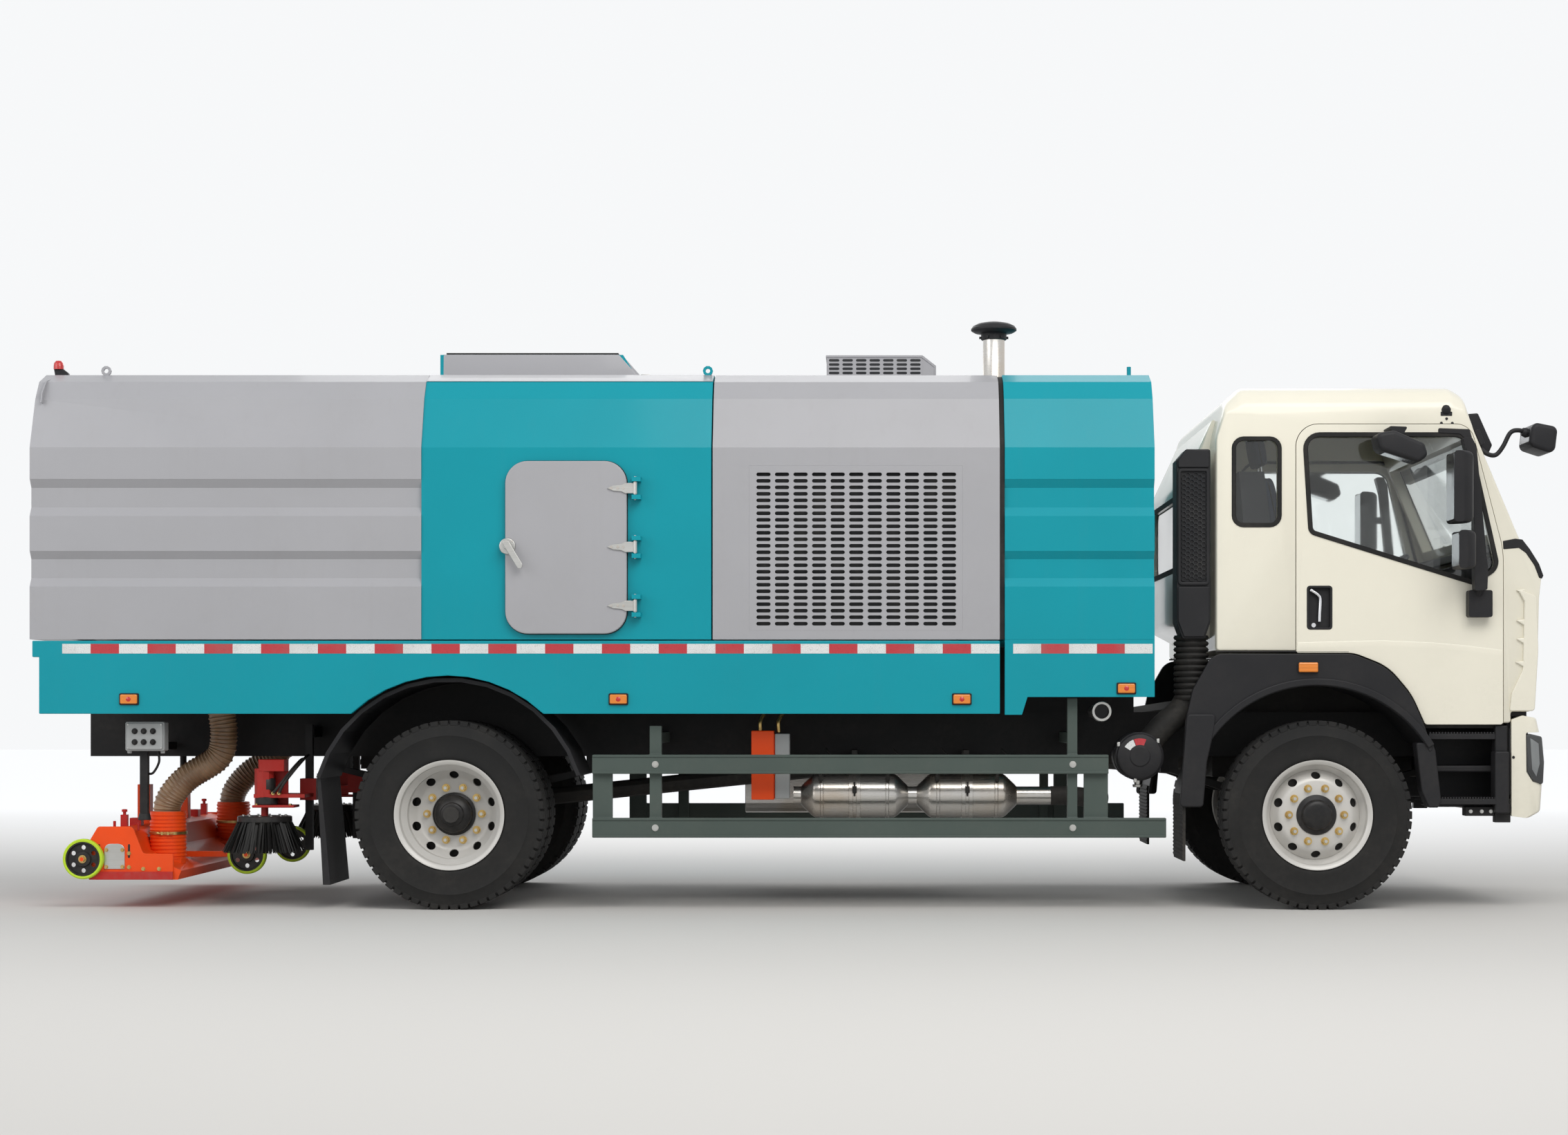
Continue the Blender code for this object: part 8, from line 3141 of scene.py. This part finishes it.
def bristle_tree():
    """Strands that leave a disc at scattered radii and flare outwards; the seed keeps the scatter."""
    sizes = {
        "Count": "Int", "Inner": "Float", "Outer": "Float", "Flare": "Float", "Drop": "Float",
        "Strand": "Float",
    }
    given, add, join, close = new_tree(
        "bristles", {**sizes, "Seed": "Int", "Place": "Vector", "Material": "Material"},
    )
    index = add("GeometryNodeInputIndex")[0]
    turn = add("ShaderNodeMath", {0: index, 1: GOLDEN_ANGLE}, operation="MULTIPLY")[0]
    spread = {2: given["Inner"], 3: given["Outer"], "Seed": given["Seed"]}
    radius = add("FunctionNodeRandomValue", spread, data_type="FLOAT")[1]
    out = add("ShaderNodeCombineXYZ", {
        "X": add("ShaderNodeMath", {0: turn}, operation="COSINE")[0],
        "Y": add("ShaderNodeMath", {0: turn}, operation="SINE")[0],
    })[0]
    start = add("ShaderNodeVectorMath", {0: out, "Scale": radius}, operation="SCALE")[0]
    points = add("GeometryNodePoints", {"Count": given["Count"], "Position": start})[0]
    share = add("ShaderNodeMath", {0: radius, 1: given["Outer"]}, operation="DIVIDE")[0]
    lean = add("ShaderNodeMath", {0: share, 1: given["Flare"]}, operation="MULTIPLY")[0]
    down = add("ShaderNodeMath", {0: given["Drop"], 1: -1.0}, operation="MULTIPLY")[0]
    aside = add("ShaderNodeVectorMath", {0: out, "Scale": lean}, operation="SCALE")[0]
    course = add(
        "ShaderNodeVectorMath", {0: aside, 1: add("ShaderNodeCombineXYZ", {"Z": down})[0]},
        operation="ADD",
    )[0]
    scatter = {0: (-0.012, -0.012, -0.006), 1: (0.012, 0.012, 0.006), "Seed": given["Seed"]}
    noise_vector = add("FunctionNodeRandomValue", scatter, data_type="FLOAT_VECTOR")[0]
    strand_line = add("ShaderNodeVectorMath", {0: course, 1: noise_vector}, operation="ADD")[0]
    length = add("ShaderNodeVectorMath", {0: strand_line}, operation="LENGTH")[1]
    rotation = add("FunctionNodeAlignRotationToVector", {"Vector": strand_line}, axis="Z")[0]
    strand = {"Vertices": 3, "Radius Top": 0.0022, "Radius Bottom": given["Strand"], "Depth": 1.0}
    cone = add("GeometryNodeMeshCone", strand)[0]
    stretch = add("ShaderNodeCombineXYZ", {"X": 1.0, "Y": 1.0, "Z": length})[0]
    spots = {"Points": points, "Instance": cone, "Rotation": rotation, "Scale": stretch}
    grown = add("GeometryNodeInstanceOnPoints", spots)[0]
    return close(add("GeometryNodeTransform", {0: grown, "Translation": given["Place"]})[0])


BRISTLES = bristle_tree()
print("tree:", BRISTLES.name)

# %% Disc and strands
def side_brush(name, side):
    """Tufts of black strands that flare from a dark disc."""
    body = f"side_brush_{name}"
    x, y, top = BRUSH_X, side * BRUSH_Y, BRUSH_TOP_Z
    disc = bmesh.new()
    profile = [
        (0.021, 0.0), (0.140, 0.0), (0.148, -0.004), (0.149, -0.030), (0.142, -0.038), (0.10, -0.048),
        (0.021, -0.05),
    ]
    add_lathe(disc, profile, (x, y, top), (0, 0, 1), 64)
    piece(f"brush_disc_{name}", disc, CAP_AND_SHADE, body, hides=(body,))
    spots = circle_at((x, y, top), (0, 0, 1), 0.118, 12)
    bolts(f"brush_disc_bolts_{name}", spots, "+z", body, ZINC, 0.007, 0.006)
    sizes = {
        "Count": 640, "Inner": 0.075, "Outer": 0.143, "Flare": 0.088, "Drop": 0.172, "Strand": 0.0052,
    }
    grow(f"bristles_{name}", BRISTLES, body, BRISTLE, Seed=7, Place=(x, y, top - 0.025), **sizes)


for name, side in SIDES:
    side_brush(name, side)
tell("side brushes")

# %% [markdown]
# ## Brush drives
# An oil motor on a red bracket turns each brush, with two hose ends and two lines that bend away
# to the frame. They ride on the brush's carriage, which goes down with the brush. The lines end
# free above the carriage, because a line fixed to the frame would tear when it moves.

# %% Motor and bracket
def brush_drive(name, side):
    """The black motor and its red bracket."""
    body = f"brush_carriage_{name}"
    x, y = BRUSH_X, side * BRUSH_Y
    motor = bmesh.new()
    profile = [
        (0, 0.562), (0.062, 0.562), (0.062, 0.600), (0.046, 0.606), (0.046, 0.640), (0.050, 0.645),
        (0.050, 0.700),
    ]
    profile += [(0.042, 0.712), (0, 0.714)]
    add_lathe(motor, profile, (x + 0.01, y, 0), (0, 0, 1), 32)
    piece(f"brush_motor_{name}", motor, CAP_AND_SHADE, body, 0.002)
    plate = bmesh.new()
    add_box(plate, (x - 0.055, x + 0.175), sided(side, 0.85, 1.0), (0.546, 0.560))
    add_box(plate, (x - 0.020, x + 0.118), sided(side, 0.865, 0.880), (0.56, 0.81))
    add_box(plate, (x - 0.020, x + 0.118), sided(side, 0.870, 0.985), (0.745, 0.81))
    piece(f"brush_bracket_{name}", plate, MOTOR, body, 0.003)


# %% Fittings
def brush_fittings(name, side):
    """The hose ends, the shaft and the bracket's bolts."""
    body = f"brush_carriage_{name}"
    x, y = BRUSH_X, side * BRUSH_Y
    fittings = bmesh.new()
    for dx in (0.058, 0.090):
        add_rod(fittings, (x + dx, side * 0.955, 0.625), (x + dx, side * 0.985, 0.625), 0.011, sides=6)
        add_rod(fittings, (x + dx, side * 0.985, 0.625), (x + dx, side * 0.997, 0.625), 0.008, sides=12)
    add_rod(fittings, (x, y, 0.500), (x, y, 0.546), 0.016, sides=16)
    piece(f"brush_fittings_{name}", fittings, BRASS, body)
    spots = [(x + dx, side * 0.975, 0.560) for dx in (-0.035, 0.15)]
    bolts(f"brush_bracket_bolts_{name}", spots, "+z", body, BRASS, 0.009, 0.008)


# %% Lines
def brush_lines(name, side):
    """Two oil lines that bend up and inwards."""
    body = f"brush_carriage_{name}"
    x, y = BRUSH_X, side * BRUSH_Y
    spots = [(x + dx, side * 0.975, 0.560) for dx in (-0.035, 0.15)]
    lines = bmesh.new()
    for dx, lift in ((0.058, 0.0), (0.090, 0.02)):
        start = (x + dx, side * 0.99, 0.625)
        route = [
            start, (x + dx + 0.03, side * 0.995, 0.66 + lift),
            (x + dx + 0.09, side * 0.96, 0.745 + lift),
        ]
        route += [(x + dx + 0.12, side * 0.86, 0.80 + lift), (x + dx + 0.12, side * 0.78, 0.81 + lift)]
        add_sweep(lines, smooth_path(route, 6), 0.008, 10)
    piece(f"brush_lines_{name}", lines, SEAL, body)


for name, side in SIDES:
    brush_drive(name, side)
    brush_fittings(name, side)
    brush_lines(name, side)
tell("brush drives")

# %% [markdown]
# ## Seats
# Two seats show through the windows. A cushion isn't a rounded box: its faces swell in the
# middle, its edges roll over, its sides pull in between the corners, and sewn channels sink into
# the front. Each of these is one term in a formula that moves the points of a finely divided
# cube. A cloth simulation would give folds as well, but they would be too small to see through
# the glass. Piping follows the same outline.

# %% Seat cloth
CLOTH = surface(
    "seat cloth", (0.035, 0.045, 0.075), 0.9, dust=0.04, low=(0.5, 1.0, 0.0), grain=(700, 0.003),
)
print("finish:", CLOTH.name)

# %% A crowned pad
def add_pad(shape, centre, sizes, lean, channels=()):
    """A crowned pad: faces swell, edges roll over, sides pull in, and sewn channels sink in the front."""
    bmesh.ops.create_cube(shape, size=2.0)
    bmesh.ops.subdivide_edges(shape, edges=shape.edges[:], cuts=19, use_grid_fill=True)
    turn = Matrix.Rotation(math.radians(lean), 3, "Y")
    for vert in shape.verts:
        u, v, w = vert.co
        rolled = (abs(u) ** 6 + abs(v) ** 6 + abs(w) ** 6) ** (-1 / 6)
        u, v, w = u * rolled, v * rolled, w * rolled
        x = u * sizes[0] * (1 - 0.06 * (1 - v * v))
        y = v * sizes[1] * (1 - 0.05 * (1 - u * u))
        z = w * sizes[2] * (0.78 + 0.22 * (1 - u * u) * (1 - v * v))
        for channel in channels:
            z -= 0.010 * math.exp(-(((y + centre[1] - channel) / 0.012) ** 2)) * (w > 0.5)
        vert.co = Vector(centre) + turn @ Vector((x, y, z))


# %% One seat
def seat(name, side):
    """One seat: cushion, back and head rest as pads with piped edges, and the rest's posts."""
    y = side * 0.62
    parts = (
        ("seat_cushion", (2.82, y, 1.862), (0.255, 0.255, 0.052), 0, (-0.15, 0.15)),
        ("seat_back", (2.650, y, 2.130), (0.255, 0.245, 0.050), 78, (-0.14, 0.14)),
        ("head_rest", (2.572, y, 2.535), (0.095, 0.135, 0.045), 80, ()),
    )
    for label, centre, sizes, lean, channels in parts:
        pad = bmesh.new()
        add_pad(pad, centre, sizes, lean, [y + channel for channel in channels])
        piece(f"{label}_{name}", pad, CLOTH, "cab")
        seam = bmesh.new()
        turn = Matrix.Rotation(math.radians(lean), 3, "Y")
        line = []
        for i in range(49):
            t = 2 * math.pi * i / 48
            u, v = math.cos(t), math.sin(t)
            rolled = (abs(u) ** 6 + abs(v) ** 6) ** (-1 / 6)
            u, v = u * rolled, v * rolled
            x, across = u * sizes[0] * (1 - 0.06 * (1 - v * v)), v * sizes[1] * (1 - 0.05 * (1 - u * u))
            line.append(Vector(centre) + turn @ Vector((x, across, 0)))
        add_sweep(seam, line, 0.004, 8)
        piece(f"{label}_piping_{name}", seam, SEAL, "cab")
    posts = bmesh.new()
    for dy in (-0.06, 0.06):
        add_rod(posts, (2.600, y + dy, 2.36), (2.585, y + dy, 2.50), 0.007, sides=12)
    piece(f"head_rest_posts_{name}", posts, CHROME, "cab")


for name, side in SIDES:
    seat(name, side)
tell("seats")

# %% [markdown]
# ## Guards and valve block
# The side guards keep people and cycles from the wheels. Their rails have rolled edges and bolts
# at the posts. Beside them sits an orange valve block with a gray cover and two brass-coloured
# lines. Small pieces like these make a plain frame look like one that works.

# %% Guard bolts and rolled edges
def guard_bolts(name, side):
    """The bolts where the guard's rails meet its posts."""
    spots = [(x, side * 1.2002, z) for x in (-0.76, 1.497) for z in (0.788, 0.445)]
    bolts(f"guard_bolts_{name}", spots, "+y" if side > 0 else "-y", "chassis", ZINC, 0.014, 0.010)


def guard_lips(name, side):
    """The rolled edges of both rails."""
    lips = bmesh.new()
    for low, high, end in ((0.736, 0.84, 1.69), (0.391, 0.498, 2.0)):
        add_box(lips, (-1.10, end), sided(side, 1.1985, 1.2045), (high - 0.014, high - 0.001))
        add_box(lips, (-1.10, end), sided(side, 1.1985, 1.2045), (low + 0.001, low + 0.014))
    piece(f"guard_lips_{name}", lips, GUARD, "chassis", 0.003)


# %% Valve cover and lines
def valve_trim():
    """The gray cover and lines beside the orange valve block."""
    cover = bmesh.new()
    add_prism(cover, rounded(rectangle((-0.118, -0.038), (0.598, 0.952)), 0.006), "y", (-1.052, -0.90))
    piece("valve_cover", cover, BOX_GRAY, "chassis", 0.004)
    lines = bmesh.new()
    for x in (-0.20, -0.10):
        route = [(x, -0.98, 0.96), (x, -0.98, 1.02), (x + 0.02, -0.94, 1.06), (x + 0.03, -0.86, 1.09)]
        add_sweep(lines, smooth_path(route, 5), 0.011, 12)
    piece("valve_lines", lines, BRASS, "chassis")


for name, side in SIDES:
    guard_bolts(name, side)
    guard_lips(name, side)
valve_trim()
tell("guards and valves")

# %% [markdown]
# ## Floor
# The floor catches the truck's shadow and runs on into the white background. A sudden horizon
# would cut the picture in two, so its far part glows up to the background's white along +Y, and
# the near part stays plain.

# %% Floor
def floor():
    """The ground, with a glow that grows behind the truck."""
    mesh = bpy.data.meshes.new("floor")
    mesh.from_pydata([(-60, -40, 0), (60, -40, 0), (60, 60, 0), (-60, 60, 0)], [], [(0, 1, 2, 3)])
    material, shader = new_material("floor", 0.85)
    shader.inputs["Base Color"].default_value = (0.62, 0.605, 0.58, 1)
    add, link = node_maker(material)
    split = add("SeparateXYZ")
    link(add("TexCoord").outputs["Object"], split.inputs[0])
    shader.inputs["Emission Color"].default_value = (0.95, 0.97, 1.0, 1)
    link(ramp(add, link, split.outputs[1], 1.5, 14.0, (0.0, 0.62)), shader.inputs["Emission Strength"])
    mesh.materials.append(material)
    obj = bpy.data.objects.new("floor", mesh)
    bpy.context.scene.collection.objects.link(obj)


floor()
print("floor laid")
